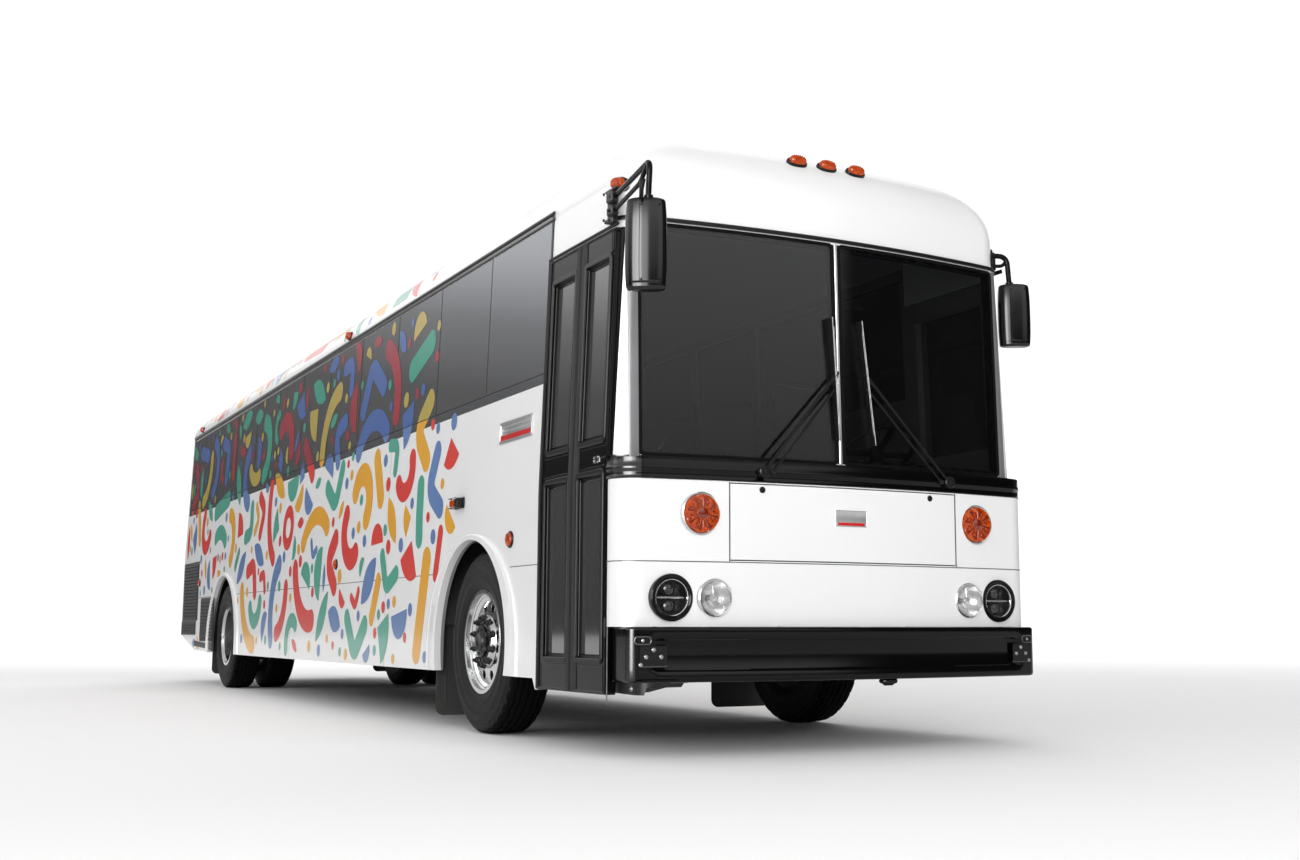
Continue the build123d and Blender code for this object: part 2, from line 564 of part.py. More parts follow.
# ---------------------------------------------------------------- mud flaps
fl = []
for s in (1, -1):
    y0, y1 = sorted((s * 780.0, s * 1160.0))
    f = box(3040, 3050, y0, y1, 70, 700)
    y2, y3 = sorted((s * 1100.0, s * 1208.0))
    f = f + box(3040, 3050, y2, y3, 70, 330)
    y4, y5 = sorted((s * 780.0, s * 1160.0))
    f = f + box(3040, 3070, y4, y5, 640, 700)
    fl.append(f)
    y0, y1 = sorted((s * 560.0, s * 1160.0))
    f = box(-4440, -4430, y0, y1, 120, 700) + box(-4440, -4410, y0, y1, 640, 700)
    fl.append(f)
save("mud_flaps", fl)

# ---------------------------------------------------------------- inside
ROWS = 12
PITCH = 735.0
X_FIRST = 3950.0
fr_s, cu = [], []
for i in range(ROWS):
    x = X_FIRST - i * PITCH
    for s in (1, -1):
        if s < 0 and False:
            continue
        if s > 0 and (EXIT_X0 - 150 < x < EXIT_X1 + 150) and i == 7:
            continue
        y0, y1 = sorted((s * 170.0, s * 1140.0))
        c = box(x - 20, x + 400, y0, y1, 1290, 1400)
        b = prism_xz([(x - 20, 1290), (x - 20, 1400), (x - 115, 2030), (x - 185, 2020), (x - 110, 1290)], y0, y1)
        c = c + b
        cu.append(fillet(c.edges().filter_by(Axis.Y).sort_by(Axis.Z)[-2:], 25))
        ya, yb = sorted((s * 230.0, s * 262.0))
        yc, yd = sorted((s * 262.0, s * 1169.0))
        for xa in (x + 20, x + 300):
            fr_s.append(box(xa, xa + 32, ya, yb, FLOOR1, 1262))
            fr_s.append(box(xa, xa + 32, yc, yd, 1262, 1290))
        fr_s.append(box(x - 20, x + 400, ya, yb, 1262, 1290))
        ye, yf = sorted((s * 1137.0, s * 1169.0))
        fr_s.append(box(x - 20, x + 400, ye, yf, 1230, 1262))
save("seat_frames", fr_s)
save("passenger_seats", cu)

ds = box(4500, 4950, 400, 880, 1310, 1430) + prism_xz([(4500, 1310), (4500, 1430), (4400, 2090), (4310, 2070), (4390, 1310)], 410, 870)
ds = fillet(ds.edges().filter_by(Axis.Y).sort_by(Axis.Z)[-2:], 25)
save("drivers_seat", ds)
base = box(4560, 4880, 500, 780, FLOOR1, 1310)
save("drivers_seat_base", base)

dash = (INNER & box(5480, 5900, 120, 1200, 1180, 1395)) - prism_xz([(5400, 1180), (5400, 1500), (5560, 1500), (5480, 1180)], 0, 1300)
dash = dash + (INNER & box(5600, 5900, -1100, 120, 1230, 1390))
# steering column rising out of the dash, the wheel flat on its upper end
u = Vector(math.sin(math.radians(-38)), 0, math.cos(math.radians(-38)))
c = Vector(5170, 620, 1560)
pl = Plane(origin=c, z_dir=u)
col = pl * Pos(0, 0, -290) * Cylinder(32, 540)
save("dashboard", dash + col)
sw = pl * (Torus(222, 16) + Cylinder(44, 40) + Box(440, 34, 14) + Box(34, 440, 14))
save("steering_wheel", sw)

# ---------------------------------------------------------------- mirrors and wipers
def tube(pts, r):
    t = None
    for a, b in zip(pts[:-1], pts[1:]):
        va, vb = Vector(*a), Vector(*b)
        d = vb - va
        c = Plane(origin=va, z_dir=d) * Pos(0, 0, d.length / 2) * Cylinder(r, d.length)
        t = c if t is None else t + c
        t = t + Pos(*b) * Sphere(r * 1.22)
    return t


def mirror(head, base, top):
    x0, x1, y0, y1, z0, z1 = head
    h = box(x0, x1, y0, y1, z0, z1)
    h = fillet(h.edges().filter_by(Axis.Z), 35)
    h = fillet(h.edges().group_by(Axis.Z)[-1] + h.edges().group_by(Axis.Z)[0], 12)
    t = tube([base, top, ((x0 + x1) / 2, (y0 + y1) / 2, z1 - 20)], 14)
    return h + t


mr = mirror((6170.0, 6270.0, -1420.0, -1215.0, 2060.0, 2500.0), (5570.0, -1185.0, 2690.0), (6200.0, -1310.0, 2640.0))
mr = mr + tube([(5570.0, -1185.0, 2590.0), (6180.0, -1305.0, 2630.0)], 11)
mr = mr + box(5530, 5590, -1200, -1150, 2560, 2720)
mr = mr - OUTER
save("right_mirror", mr)
ml = mirror((5490.0, 5590.0, 1215.0, 1420.0, 2160.0, 2560.0), (5480.0, 1190.0, 2680.0), (5535.0, 1300.0, 2680.0))
ml = ml + box(5450, 5510, 1150, 1200, 2600, 2730)
ml = ml - OUTER
save("left_mirror", ml)


def bar(x0, x1, p, q, wdt):
    """flat bar in the Y-Z plane from p to q"""
    d = (q[0] - p[0], q[1] - p[1])
    L = math.hypot(*d)
    n = (-d[1] / L * wdt / 2, d[0] / L * wdt / 2)
    pts = [(p[0] + n[0], p[1] + n[1]), (q[0] + n[0], q[1] + n[1]), (q[0] - n[0], q[1] - n[1]), (p[0] - n[0], p[1] - n[1])]
    w = Polyline([Vector(x0, a, b) for a, b in pts] + [Vector(x0, *pts[0])])
    return extrude(make_face(w), x1 - x0, dir=(1, 0, 0))


wip = []
AHEAD = Pos(1.5, 0, 0) * OUTER
for (py, pz), (ey, ez), (b0, b1) in (((-500, 1345), (-27, 1875), ((-24, 1538), (-59, 2160))), ((620, 1345), (151, 1875), ((197, 1520), (122, 2157)))):
    xw = front_x(py)
    a = tube([(xw + 17, py, pz), (FX - 66, ey, ez)], 8)
    q = 50 if py < 0 else -50
    a = a + tube([(xw + 17, py + q, pz), (FX - 68, ey - q * 0.1, ez - 70)], 6)
    a = a + cyl_x(py + q, pz, xw - 1, xw + 24, 13)
    b = bar(FX - 112, FX - 60, b0, b1, 14) - AHEAD
    pv = cyl_x(py, pz, xw - 2, xw + 28, 26)
    wip.append((a + b + pv) - OUTER)
save("wipers", wip)
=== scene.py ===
import bpy
import bmesh
import math
import random
from mathutils import Vector, Matrix


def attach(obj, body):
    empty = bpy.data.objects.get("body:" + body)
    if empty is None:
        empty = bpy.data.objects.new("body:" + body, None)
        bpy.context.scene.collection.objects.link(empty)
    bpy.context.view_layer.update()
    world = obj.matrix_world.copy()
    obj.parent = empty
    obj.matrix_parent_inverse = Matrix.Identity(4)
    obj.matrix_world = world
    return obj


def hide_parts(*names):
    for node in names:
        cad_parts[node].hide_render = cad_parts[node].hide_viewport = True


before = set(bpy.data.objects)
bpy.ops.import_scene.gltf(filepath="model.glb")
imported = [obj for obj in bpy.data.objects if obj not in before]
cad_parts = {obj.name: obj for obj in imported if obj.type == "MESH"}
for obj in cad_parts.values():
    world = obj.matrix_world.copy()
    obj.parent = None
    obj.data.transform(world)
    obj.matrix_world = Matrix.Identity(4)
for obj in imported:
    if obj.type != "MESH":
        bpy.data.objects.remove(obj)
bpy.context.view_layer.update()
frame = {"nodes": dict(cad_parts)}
N = frame["nodes"]
ROOT = "bus_body"
pi = math.pi

# ------------------------------------------------------------------ body form, as the frame has it (metres)
FX, RX = 5.820, -6.110
HALF, BELT, LEAN_TOP, Z_DRIP, CROWN = 1.219, 1.309, 1.171, 2.764, 3.120
FRONT_R = 6.850
Z_PANEL, Z_BAND0, Z_BAND1 = 0.605, 1.293, 1.395
SETBACK = 0.085
CAP_X, LEFT_X = 4.763, 5.560
DOOR_X0, DOOR_X1, DOOR_Z0, DOOR_Z1 = 4.756, 5.589, 0.287, 2.530
WIN_X0, WIN_P, WIN_N, WIN_Z0, WIN_Z1, WIN_END = 4.763, 0.916, 11, 1.933, 2.751, -6.010
FA, RA, TR = 3.720, -3.700, 0.522


def half_width(z):
    if z <= BELT:
        return HALF
    if z <= Z_DRIP:
        return HALF - (HALF - LEAN_TOP) * (z - BELT) / (Z_DRIP - BELT)
    if z <= 3.035:
        return 0.921 + math.sqrt(max(0.250 ** 2 - (z - 2.786) ** 2, 0))
    return math.sqrt(max(5.130 ** 2 - (z - (CROWN - 5.130)) ** 2, 0))


def front_x(y, s=0.0):
    return FX - s - (FRONT_R - math.sqrt(FRONT_R ** 2 - y * y))


def ws_setback(z):
    return SETBACK + 0.031 * max(0.0, min(1.0, (z - Z_BAND1) / (2.560 - Z_BAND1)))


# outline of the side and roof as (y, z) by arc length, from the skirt to the crown
PROFILE = [(HALF, 0.2), (HALF, BELT)]
PROFILE.append((LEAN_TOP, Z_DRIP))
a0 = math.atan2(Z_DRIP - 2.786, LEAN_TOP - 0.921)
a1 = math.atan2(3.035 - 2.786, 0.930 - 0.921)
for i in range(1, 25):
    a = a0 + (a1 - a0) * i / 24
    PROFILE.append((0.921 + 0.250 * math.cos(a), 2.786 + 0.250 * math.sin(a)))
for i in range(1, 25):
    y = 0.930 * (1 - i / 24)
    PROFILE.append((y, CROWN - 5.130 + math.sqrt(5.130 ** 2 - y * y)))
ARC = [0.0]
for p, q in zip(PROFILE[:-1], PROFILE[1:]):
    ARC.append(ARC[-1] + math.hypot(q[0] - p[0], q[1] - p[1]))


def on_profile(t):
    """(y, z, ny, nz) at arc length t above z = 0.2"""
    t = max(0.0, min(ARC[-1] - 1e-6, t))
    lo = 0
    while ARC[lo + 1] < t:
        lo += 1
    f = (t - ARC[lo]) / (ARC[lo + 1] - ARC[lo])
    p, q = PROFILE[lo], PROFILE[lo + 1]
    d = (q[0] - p[0], q[1] - p[1])
    L = math.hypot(*d)
    return p[0] + d[0] * f, p[1] + d[1] * f, d[1] / L, -d[0] / L


def t_of_z(z):
    lo = 0
    while lo < len(PROFILE) - 2 and PROFILE[lo + 1][1] < z:
        lo += 1
    p, q = PROFILE[lo], PROFILE[lo + 1]
    return ARC[lo] + (z - p[1]) / (q[1] - p[1]) * (ARC[lo + 1] - ARC[lo])


# ------------------------------------------------------------------ materials
def node(nt, kind, **kw):
    n = nt.nodes.new(kind)
    for k, v in kw.items():
        setattr(n, k, v)
    return n


def surface(name, col, rough=0.4, metal=0.0, var=0.06, scale=6.0, bump=0.0, bump_scale=300.0, coat=0.0, coat_rough=0.05,
            rough_var=0.08, dirt=0.0, dirt_z=(0.0, 0.9), dirt_col=(0.23, 0.20, 0.16), alpha=1.0, spec=0.5, fine=0.0,
            col2=None, streak=False, sheen=0.0, emit=None, ior=1.5, aniso=0.0, trans=0.0, wear=0.0):
    m = bpy.data.materials.new(name)
    m.use_nodes = True
    nt = m.node_tree
    nt.nodes.clear()
    out = node(nt, "ShaderNodeOutputMaterial")
    b = node(nt, "ShaderNodeBsdfPrincipled")
    nt.links.new(b.outputs[0], out.inputs[0])
    tc = node(nt, "ShaderNodeTexCoord")
    mp = node(nt, "ShaderNodeMapping")
    nt.links.new(tc.outputs["Object"], mp.inputs[0])
    if streak:
        mp.inputs["Scale"].default_value = (1.0, 1.0, 0.12)
    n1 = node(nt, "ShaderNodeTexNoise")
    n1.inputs["Scale"].default_value = scale
    n1.inputs["Detail"].default_value = 5.0
    nt.links.new(mp.outputs[0], n1.inputs["Vector"])
    ramp = node(nt, "ShaderNodeMapRange")
    ramp.inputs["From Min"].default_value = 0.3
    ramp.inputs["From Max"].default_value = 0.7
    nt.links.new(n1.outputs["Fac"], ramp.inputs["Value"])
    mix = node(nt, "ShaderNodeMix", data_type="RGBA")
    c1 = tuple(col[:3]) + (1.0,)
    if col2 is None:
        k = 1.0 - var
        col2 = (col[0] * k, col[1] * k, col[2] * k)
    mix.inputs["A"].default_value = c1
    mix.inputs["B"].default_value = tuple(col2[:3]) + (1.0,)
    nt.links.new(ramp.outputs[0], mix.inputs["Factor"])
    colour = mix.outputs["Result"]
    if fine > 0:
        n3 = node(nt, "ShaderNodeTexNoise")
        n3.inputs["Scale"].default_value = 420.0
        n3.inputs["Detail"].default_value = 2.0
        nt.links.new(tc.outputs["Object"], n3.inputs["Vector"])
        mf = node(nt, "ShaderNodeMix", data_type="RGBA", blend_type="MULTIPLY")
        mr = node(nt, "ShaderNodeMapRange")
        mr.inputs["To Min"].default_value = 1.0 - fine
        nt.links.new(n3.outputs["Fac"], mr.inputs["Value"])
        cmb = node(nt, "ShaderNodeCombineColor")
        for i in range(3):
            nt.links.new(mr.outputs[0], cmb.inputs[i])
        mf.inputs["Factor"].default_value = 1.0
        nt.links.new(colour, mf.inputs["A"])
        nt.links.new(cmb.outputs[0], mf.inputs["B"])
        colour = mf.outputs["Result"]
    if dirt > 0:
        sx = node(nt, "ShaderNodeSeparateXYZ")
        nt.links.new(tc.outputs["Object"], sx.inputs[0])
        zr = node(nt, "ShaderNodeMapRange")
        zr.inputs["From Min"].default_value = dirt_z[1]
        zr.inputs["From Max"].default_value = dirt_z[0]
        nt.links.new(sx.outputs["Z"], zr.inputs["Value"])
        n4 = node(nt, "ShaderNodeTexNoise")
        n4.inputs["Scale"].default_value = 14.0
        n4.inputs["Detail"].default_value = 6.0
        nt.links.new(tc.outputs["Object"], n4.inputs["Vector"])
        mu = node(nt, "ShaderNodeMath", operation="MULTIPLY")
        nt.links.new(zr.outputs[0], mu.inputs[0])
        nt.links.new(n4.outputs["Fac"], mu.inputs[1])
        m2 = node(nt, "ShaderNodeMath", operation="MULTIPLY")
        nt.links.new(mu.outputs[0], m2.inputs[0])
        m2.inputs[1].default_value = dirt
        md = node(nt, "ShaderNodeMix", data_type="RGBA")
        nt.links.new(m2.outputs[0], md.inputs["Factor"])
        nt.links.new(colour, md.inputs["A"])
        md.inputs["B"].default_value = tuple(dirt_col) + (1.0,)
        colour = md.outputs["Result"]
    if wear > 0:
        geo = node(nt, "ShaderNodeNewGeometry")
        wr = node(nt, "ShaderNodeMapRange")
        wr.inputs["From Min"].default_value = 0.52
        wr.inputs["From Max"].default_value = 0.62
        nt.links.new(geo.outputs["Pointiness"], wr.inputs["Value"])
        mw = node(nt, "ShaderNodeMath", operation="MULTIPLY")
        nt.links.new(wr.outputs[0], mw.inputs[0])
        mw.inputs[1].default_value = wear
        mm = node(nt, "ShaderNodeMix", data_type="RGBA")
        nt.links.new(mw.outputs[0], mm.inputs["Factor"])
        nt.links.new(colour, mm.inputs["A"])
        mm.inputs["B"].default_value = (min(1, col[0] * 2.2 + 0.05), min(1, col[1] * 2.2 + 0.05), min(1, col[2] * 2.2 + 0.05), 1.0)
        colour = mm.outputs["Result"]
    nt.links.new(colour, b.inputs["Base Color"])
    rr = node(nt, "ShaderNodeMapRange")
    rr.inputs["To Min"].default_value = max(0.0, rough - rough_var / 2)
    rr.inputs["To Max"].default_value = min(1.0, rough + rough_var / 2)
    n2 = node(nt, "ShaderNodeTexNoise")
    n2.inputs["Scale"].default_value = scale * 3.1
    n2.inputs["Detail"].default_value = 4.0
    nt.links.new(mp.outputs[0], n2.inputs["Vector"])
    nt.links.new(n2.outputs["Fac"], rr.inputs["Value"])
    nt.links.new(rr.outputs[0], b.inputs["Roughness"])
    b.inputs["Metallic"].default_value = metal
    b.inputs["Coat Weight"].default_value = coat
    b.inputs["Coat Roughness"].default_value = coat_rough
    b.inputs["Alpha"].default_value = alpha
    b.inputs["Specular IOR Level"].default_value = spec
    b.inputs["IOR"].default_value = ior
    b.inputs["Sheen Weight"].default_value = sheen
    b.inputs["Anisotropic"].default_value = aniso
    b.inputs["Transmission Weight"].default_value = trans
    if emit:
        b.inputs["Emission Color"].default_value = tuple(emit[:3]) + (1.0,)
        b.inputs["Emission Strength"].default_value = emit[3]
    if bump > 0:
        nb = node(nt, "ShaderNodeTexNoise")
        nb.inputs["Scale"].default_value = bump_scale
        nb.inputs["Detail"].default_value = 3.0
        nt.links.new(tc.outputs["Object"], nb.inputs["Vector"])
        bn = node(nt, "ShaderNodeBump")
        bn.inputs["Strength"].default_value = bump
        bn.inputs["Distance"].default_value = 0.002
        nt.links.new(nb.outputs["Fac"], bn.inputs["Height"])
        nt.links.new(bn.outputs[0], b.inputs["Normal"])
    return m


WHITE = surface("white_gloss_paint", (0.84, 0.84, 0.84), 0.30, var=0.025, scale=1.3, bump=0.02, bump_scale=260, coat=0.35,
                coat_rough=0.06, dirt=0.22, dirt_z=(0.25, 0.85), dirt_col=(0.62, 0.61, 0.58))
WHITE_ROOF = surface("white_roof_paint", (0.85, 0.85, 0.845), 0.34, var=0.04, scale=1.1, bump=0.06, bump_scale=240, coat=0.35, coat_rough=0.12)
BLACK = surface("black_gloss_paint", (0.0020, 0.0020, 0.0024), 0.15, var=0.2, scale=5, bump=0.03, bump_scale=300, wear=0.08, rough_var=0.05, spec=0.20)
BLACK_HI = surface("black_polished_corner", (0.004, 0.004, 0.0045), 0.17, var=0.2, scale=9, bump=0.03, bump_scale=300, wear=0.04, rough_var=0.05, spec=0.62)
BLACK_SATIN = surface("black_satin_metal", (0.0060, 0.0060, 0.0065), 0.30, var=0.2, scale=7, bump=0.08, bump_scale=420, wear=0.15, spec=0.22)
DOOR_BLACK = surface("door_satin_black", (0.0020, 0.0020, 0.0022), 0.17, var=0.2, scale=7, bump=0.05, bump_scale=420, rough_var=0.06, spec=0.15)
BLACK_TRIM = surface("black_moulded_trim", (0.006, 0.006, 0.0065), 0.30, var=0.15, scale=9, bump=0.20, bump_scale=900, fine=0.12, spec=0.25)
RUBBER = surface("black_rubber_seal", (0.010, 0.010, 0.010), 0.62, var=0.2, scale=20, bump=0.3, bump_scale=700, fine=0.2, spec=0.35)
FLAP = surface("mud_flap_rubber", (0.008, 0.008, 0.008), 0.7, var=0.25, scale=9, bump=0.5, bump_scale=260, fine=0.25, dirt=0.35, dirt_z=(0.0, 0.7), dirt_col=(0.09, 0.08, 0.07))
CHASSIS = surface("chassis_black", (0.010, 0.010, 0.011), 0.55, var=0.3, scale=6, bump=0.35, bump_scale=160, fine=0.2, dirt=0.35, dirt_z=(0.2, 1.0), dirt_col=(0.07, 0.06, 0.05))
CAST = surface("cast_iron_dark", (0.035, 0.034, 0.033), 0.68, metal=0.5, var=0.35, scale=12, bump=0.6, bump_scale=220, fine=0.3)
STEEL = surface("zinc_steel", (0.50, 0.50, 0.49), 0.32, metal=1.0, var=0.2, scale=18, bump=0.15, bump_scale=500, fine=0.15)
CHROME = surface("chrome", (0.72, 0.73, 0.74), 0.07, metal=1.0, var=0.04, scale=8, rough_var=0.05, bump=0.01, bump_scale=120)
ALLOY = surface("polished_alloy", (0.66, 0.665, 0.67), 0.17, metal=1.0, var=0.10, scale=9, rough_var=0.10, bump=0.04, bump_scale=420, fine=0.06)
SILVER = surface("bright_strip", (0.62, 0.62, 0.62), 0.24, metal=1.0, var=0.08, scale=30, rough_var=0.08, bump=0.03)
TANK = surface("fuel_tank_metal", (0.10, 0.10, 0.10), 0.4, metal=0.8, var=0.2, scale=7, bump=0.2, bump_scale=90, fine=0.2, dirt=0.3, dirt_z=(0.3, 0.9), dirt_col=(0.08, 0.07, 0.06))
TYRE = surface("tyre_rubber", (0.0062, 0.0062, 0.0065), 0.55, var=0.35, scale=10, bump=0.35, bump_scale=600, fine=0.25, rough_var=0.16, dirt=0.10, dirt_z=(0.0, 0.25), dirt_col=(0.012, 0.0115, 0.011), spec=0.20)
LINING = surface("cabin_lining", (0.24, 0.24, 0.242), 0.55, var=0.1, scale=4, bump=0.2, bump_scale=400, fine=0.08)
CEIL = surface("cabin_ceiling", (0.50, 0.50, 0.495), 0.5, var=0.06, scale=3, bump=0.15, bump_scale=300, fine=0.05)
FLOORM = surface("ribbed_rubber_floor", (0.045, 0.046, 0.048), 0.6, var=0.25, scale=8, bump=0.5, bump_scale=180, fine=0.25)
DASH = surface("dash_moulding", (0.016, 0.016, 0.017), 0.55, var=0.15, scale=12, bump=0.5, bump_scale=900, fine=0.15)
AMBER = surface("amber_lens", (0.27, 0.017, 0.0008), 0.10, col2=(0.58, 0.085, 0.003), scale=48, coat=0.10, coat_rough=0.03, rough_var=0.06, emit=(1.0, 0.14, 0.01, 0.02), spec=0.30)
AMBER_D = surface("amber_lens_deep", (0.20, 0.014, 0.001), 0.16, var=0.25, scale=60, coat=0.6, rough_var=0.06)
RED = surface("red_lens", (0.60, 0.012, 0.010), 0.12, var=0.15, scale=40, coat=0.8, coat_rough=0.03, emit=(0.8, 0.02, 0.01, 0.05))
LED = surface("led_metal", (0.75, 0.60, 0.45), 0.25, metal=0.6, var=0.2, scale=90)
BADGE = surface("blank_plate", (0.55, 0.55, 0.55), 0.3, metal=0.85, var=0.12, scale=30, rough_var=0.1, bump=0.05, bump_scale=500)
FRIT = surface("black_glass_border", (0.006, 0.006, 0.006), 0.12, var=0.2, scale=10, rough_var=0.04)
SEAM = surface("panel_gap", (0.10, 0.10, 0.10), 0.7, var=0.2, scale=20)


def glass(name, col, alpha, rough=0.03, coat=0.0, spec=0.5, ior=1.5):
    m = surface(name, col, rough, var=0.06, scale=0.8, rough_var=0.02, alpha=alpha, coat=coat, coat_rough=0.01, spec=spec, ior=ior)
    return m


GL_FRONT = glass("windshield_glass", (0.003, 0.003, 0.0035), 0.50, 0.02, ior=1.58)
GL_SIDE = glass("tinted_side_glass", (0.074, 0.072, 0.072), 1.0, 0.045, ior=2.7)
for _n in GL_SIDE.node_tree.nodes:
    if _n.type == "BSDF_PRINCIPLED":
        _n.inputs["Specular Tint"].default_value = (0.86, 0.91, 1.0, 1.0)
GL_DOOR = glass("door_glass", (0.048, 0.048, 0.049), 1.0, 0.06, ior=2.0)
GL_LENS = glass("clear_lens", (0.05, 0.052, 0.055), 0.10, 0.02)
GL_FROST = glass("fluted_lens", (0.72, 0.73, 0.74), 0.16, 0.05, spec=0.12)
GREY_BAND = surface("grey_band_paint", (0.065, 0.067, 0.072), 0.16, var=0.10, scale=1.5, coat=0.5, rough_var=0.04)


# ------------------------------------------------------------------ mesh building
class Geo:
    def __init__(self):
        self.v, self.f, self.m = [], [], []

    def add(self, vs, fs, mi=0):
        o = len(self.v)
        self.v += [tuple(p) for p in vs]
        self.f += [tuple(i + o for i in f) for f in fs]
        self.m += [mi] * len(fs)

    def box(self, x0, x1, y0, y1, z0, z1, c=0.002, M=None, mi=0):
        X, Y, Z = (x0, x1), (y0, y1), (z0, z1)
        c = min(c, abs(x1 - x0) * 0.45, abs(y1 - y0) * 0.45, abs(z1 - z0) * 0.45)
        vs, idx = [], {}
        for i in (0, 1):
            for j in (0, 1):
                for k in (0, 1):
                    dx, dy, dz = (c if i == 0 else -c), (c if j == 0 else -c), (c if k == 0 else -c)
                    for a, p in enumerate(((X[i], Y[j] + dy, Z[k] + dz), (X[i] + dx, Y[j], Z[k] + dz), (X[i] + dx, Y[j] + dy, Z[k]))):
                        idx[i, j, k, a] = len(vs)
                        vs.append(M @ Vector(p) if M else Vector(p))
        fs = []
        for i in (0, 1):
            fs.append(tuple(idx[i, j, k, 0] for j, k in ((0, 0), (1, 0), (1, 1), (0, 1))))
            fs.append(tuple(idx[j, i, k, 1] for j, k in ((0, 0), (1, 0), (1, 1), (0, 1))))
            fs.append(tuple(idx[j, k, i, 2] for j, k in ((0, 0), (1, 0), (1, 1), (0, 1))))
        for p in (0, 1):
            for q in (0, 1):
                fs.append((idx[p, q, 0, 0], idx[p, q, 1, 0], idx[p, q, 1, 1], idx[p, q, 0, 1]))
                fs.append((idx[p, 0, q, 0], idx[p, 1, q, 0], idx[p, 1, q, 2], idx[p, 0, q, 2]))
                fs.append((idx[0, p, q, 1], idx[1, p, q, 1], idx[1, p, q, 2], idx[0, p, q, 2]))
        for i in (0, 1):
            for j in (0, 1):
                for k in (0, 1):
                    fs.append((idx[i, j, k, 0], idx[i, j, k, 1], idx[i, j, k, 2]))
        self.add(vs, fs, mi)

    def lathe(self, prof, p, axis, n=24, mi=0, close=False, a0=0.0, a1=2 * pi):
        """prof is a list of (radius, distance along the axis from p)"""
        ax = Vector(axis).normalized()
        u = ax.orthogonal().normalized()
        w = ax.cross(u)
        p = Vector(p)
        full = abs(a1 - a0 - 2 * pi) < 1e-6
        steps = n if full else n + 1
        vs, rows = [], []
        for r, h in prof:
            if r < 1e-7:
                rows.append([len(vs)] * steps)
                vs.append(p + ax * h)
            else:
                rows.append(list(range(len(vs), len(vs) + steps)))
                for i in range(steps):
                    a = a0 + (a1 - a0) * i / n
                    vs.append(p + ax * h + (u * math.cos(a) + w * math.sin(a)) * r)
        fs = []
        pairs = list(zip(rows[:-1], rows[1:]))
        if close:
            pairs.append((rows[-1], rows[0]))
        for ra, rb in pairs:
            for i in range(n):
                j = (i + 1) % steps
                q = [ra[i], ra[j], rb[j], rb[i]]
                q = [x for k, x in enumerate(q) if x not in q[:k]]
                if len(q) >= 3:
                    fs.append(tuple(q))
        self.add(vs, fs, mi)

    def cyl(self, p, axis, r, h, n=20, c=0.0015, mi=0, r2=None):
        r2 = r if r2 is None else r2
        self.lathe([(0, 0), (r - c, 0), (r, c), (r2, h - c), (r2 - c, h), (0, h)], p, axis, n, mi)

    def tube(self, pts, r, n=10, mi=0, closed=False, flat=1.0, up=None, caps=True):
        pts = [Vector(q) for q in pts]
        m = len(pts)
        t = []
        for i in range(m):
            a = pts[(i - 1) % m] if (closed or i > 0) else pts[i]
            b = pts[(i + 1) % m] if (closed or i < m - 1) else pts[i]
            t.append((b - a).normalized())
        u = (up.normalized() if up is not None else t[0].orthogonal()).normalized()
        rows, vs = [], []
        for i in range(m):
            u = (u - t[i] * u.dot(t[i]))
            u = u.normalized() if u.length > 1e-6 else t[i].orthogonal().normalized()
            w = t[i].cross(u)
            rows.append(range(len(vs), len(vs) + n))
            for k in range(n):
                a = 2 * pi * k / n
                vs.append(pts[i] + (u * math.cos(a) * flat + w * math.sin(a)) * r)
        fs = []
        pr = list(zip(rows[:-1], rows[1:]))
        if closed:
            pr.append((rows[-1], rows[0]))
        for ra, rb in pr:
            for k in range(n):
                fs.append((ra[k], ra[(k + 1) % n], rb[(k + 1) % n], rb[k]))
        if not closed and caps:
            fs.append(tuple(rows[0]))
            fs.append(tuple(rows[-1]))
        self.add(vs, fs, mi)

    def grid(self, rows, mi=0, close_u=False):
        vs = [p for r in rows for p in r]
        n = len(rows[0])
        fs = []
        for i in range(len(rows) - 1):
            for j in range(n - 1):
                fs.append((i * n + j, i * n + j + 1, (i + 1) * n + j + 1, (i + 1) * n + j))
            if close_u:
                fs.append((i * n + n - 1, i * n, (i + 1) * n, (i + 1) * n + n - 1))
        self.add(vs, fs, mi)

    def slab(self, front, back, mi=0):
        """closed sheet between two grids of points of the same shape"""
        m, n = len(front), len(front[0])
        vs = [p for r in front for p in r] + [p for r in back for p in r]
        o = m * n
        fs = []
        for i in range(m - 1):
            for j in range(n - 1):
                a, b, c, d = i * n + j, i * n + j + 1, (i + 1) * n + j + 1, (i + 1) * n + j
                fs.append((a, b, c, d))
                fs.append((d + o, c + o, b + o, a + o))
        for j in range(n - 1):
            fs.append((j, j + o, j + 1 + o, j + 1))
            k = (m - 1) * n + j
            fs.append((k + 1, k + 1 + o, k + o, k))
        for i in range(m - 1):
            fs.append(((i + 1) * n, (i + 1) * n + o, i * n + o, i * n))
            k = i * n + n - 1
            fs.append((k, k + o, k + n + o, k + n))
        self.add(vs, fs, mi)

    def prism(self, poly, to3, h0, h1, c=0.0, mi=0):
        """poly is a list of (u, v); to3(u, v, h) gives a point"""
        n = len(poly)
        cx = sum(p[0] for p in poly) / n
        cy = sum(p[1] for p in poly) / n

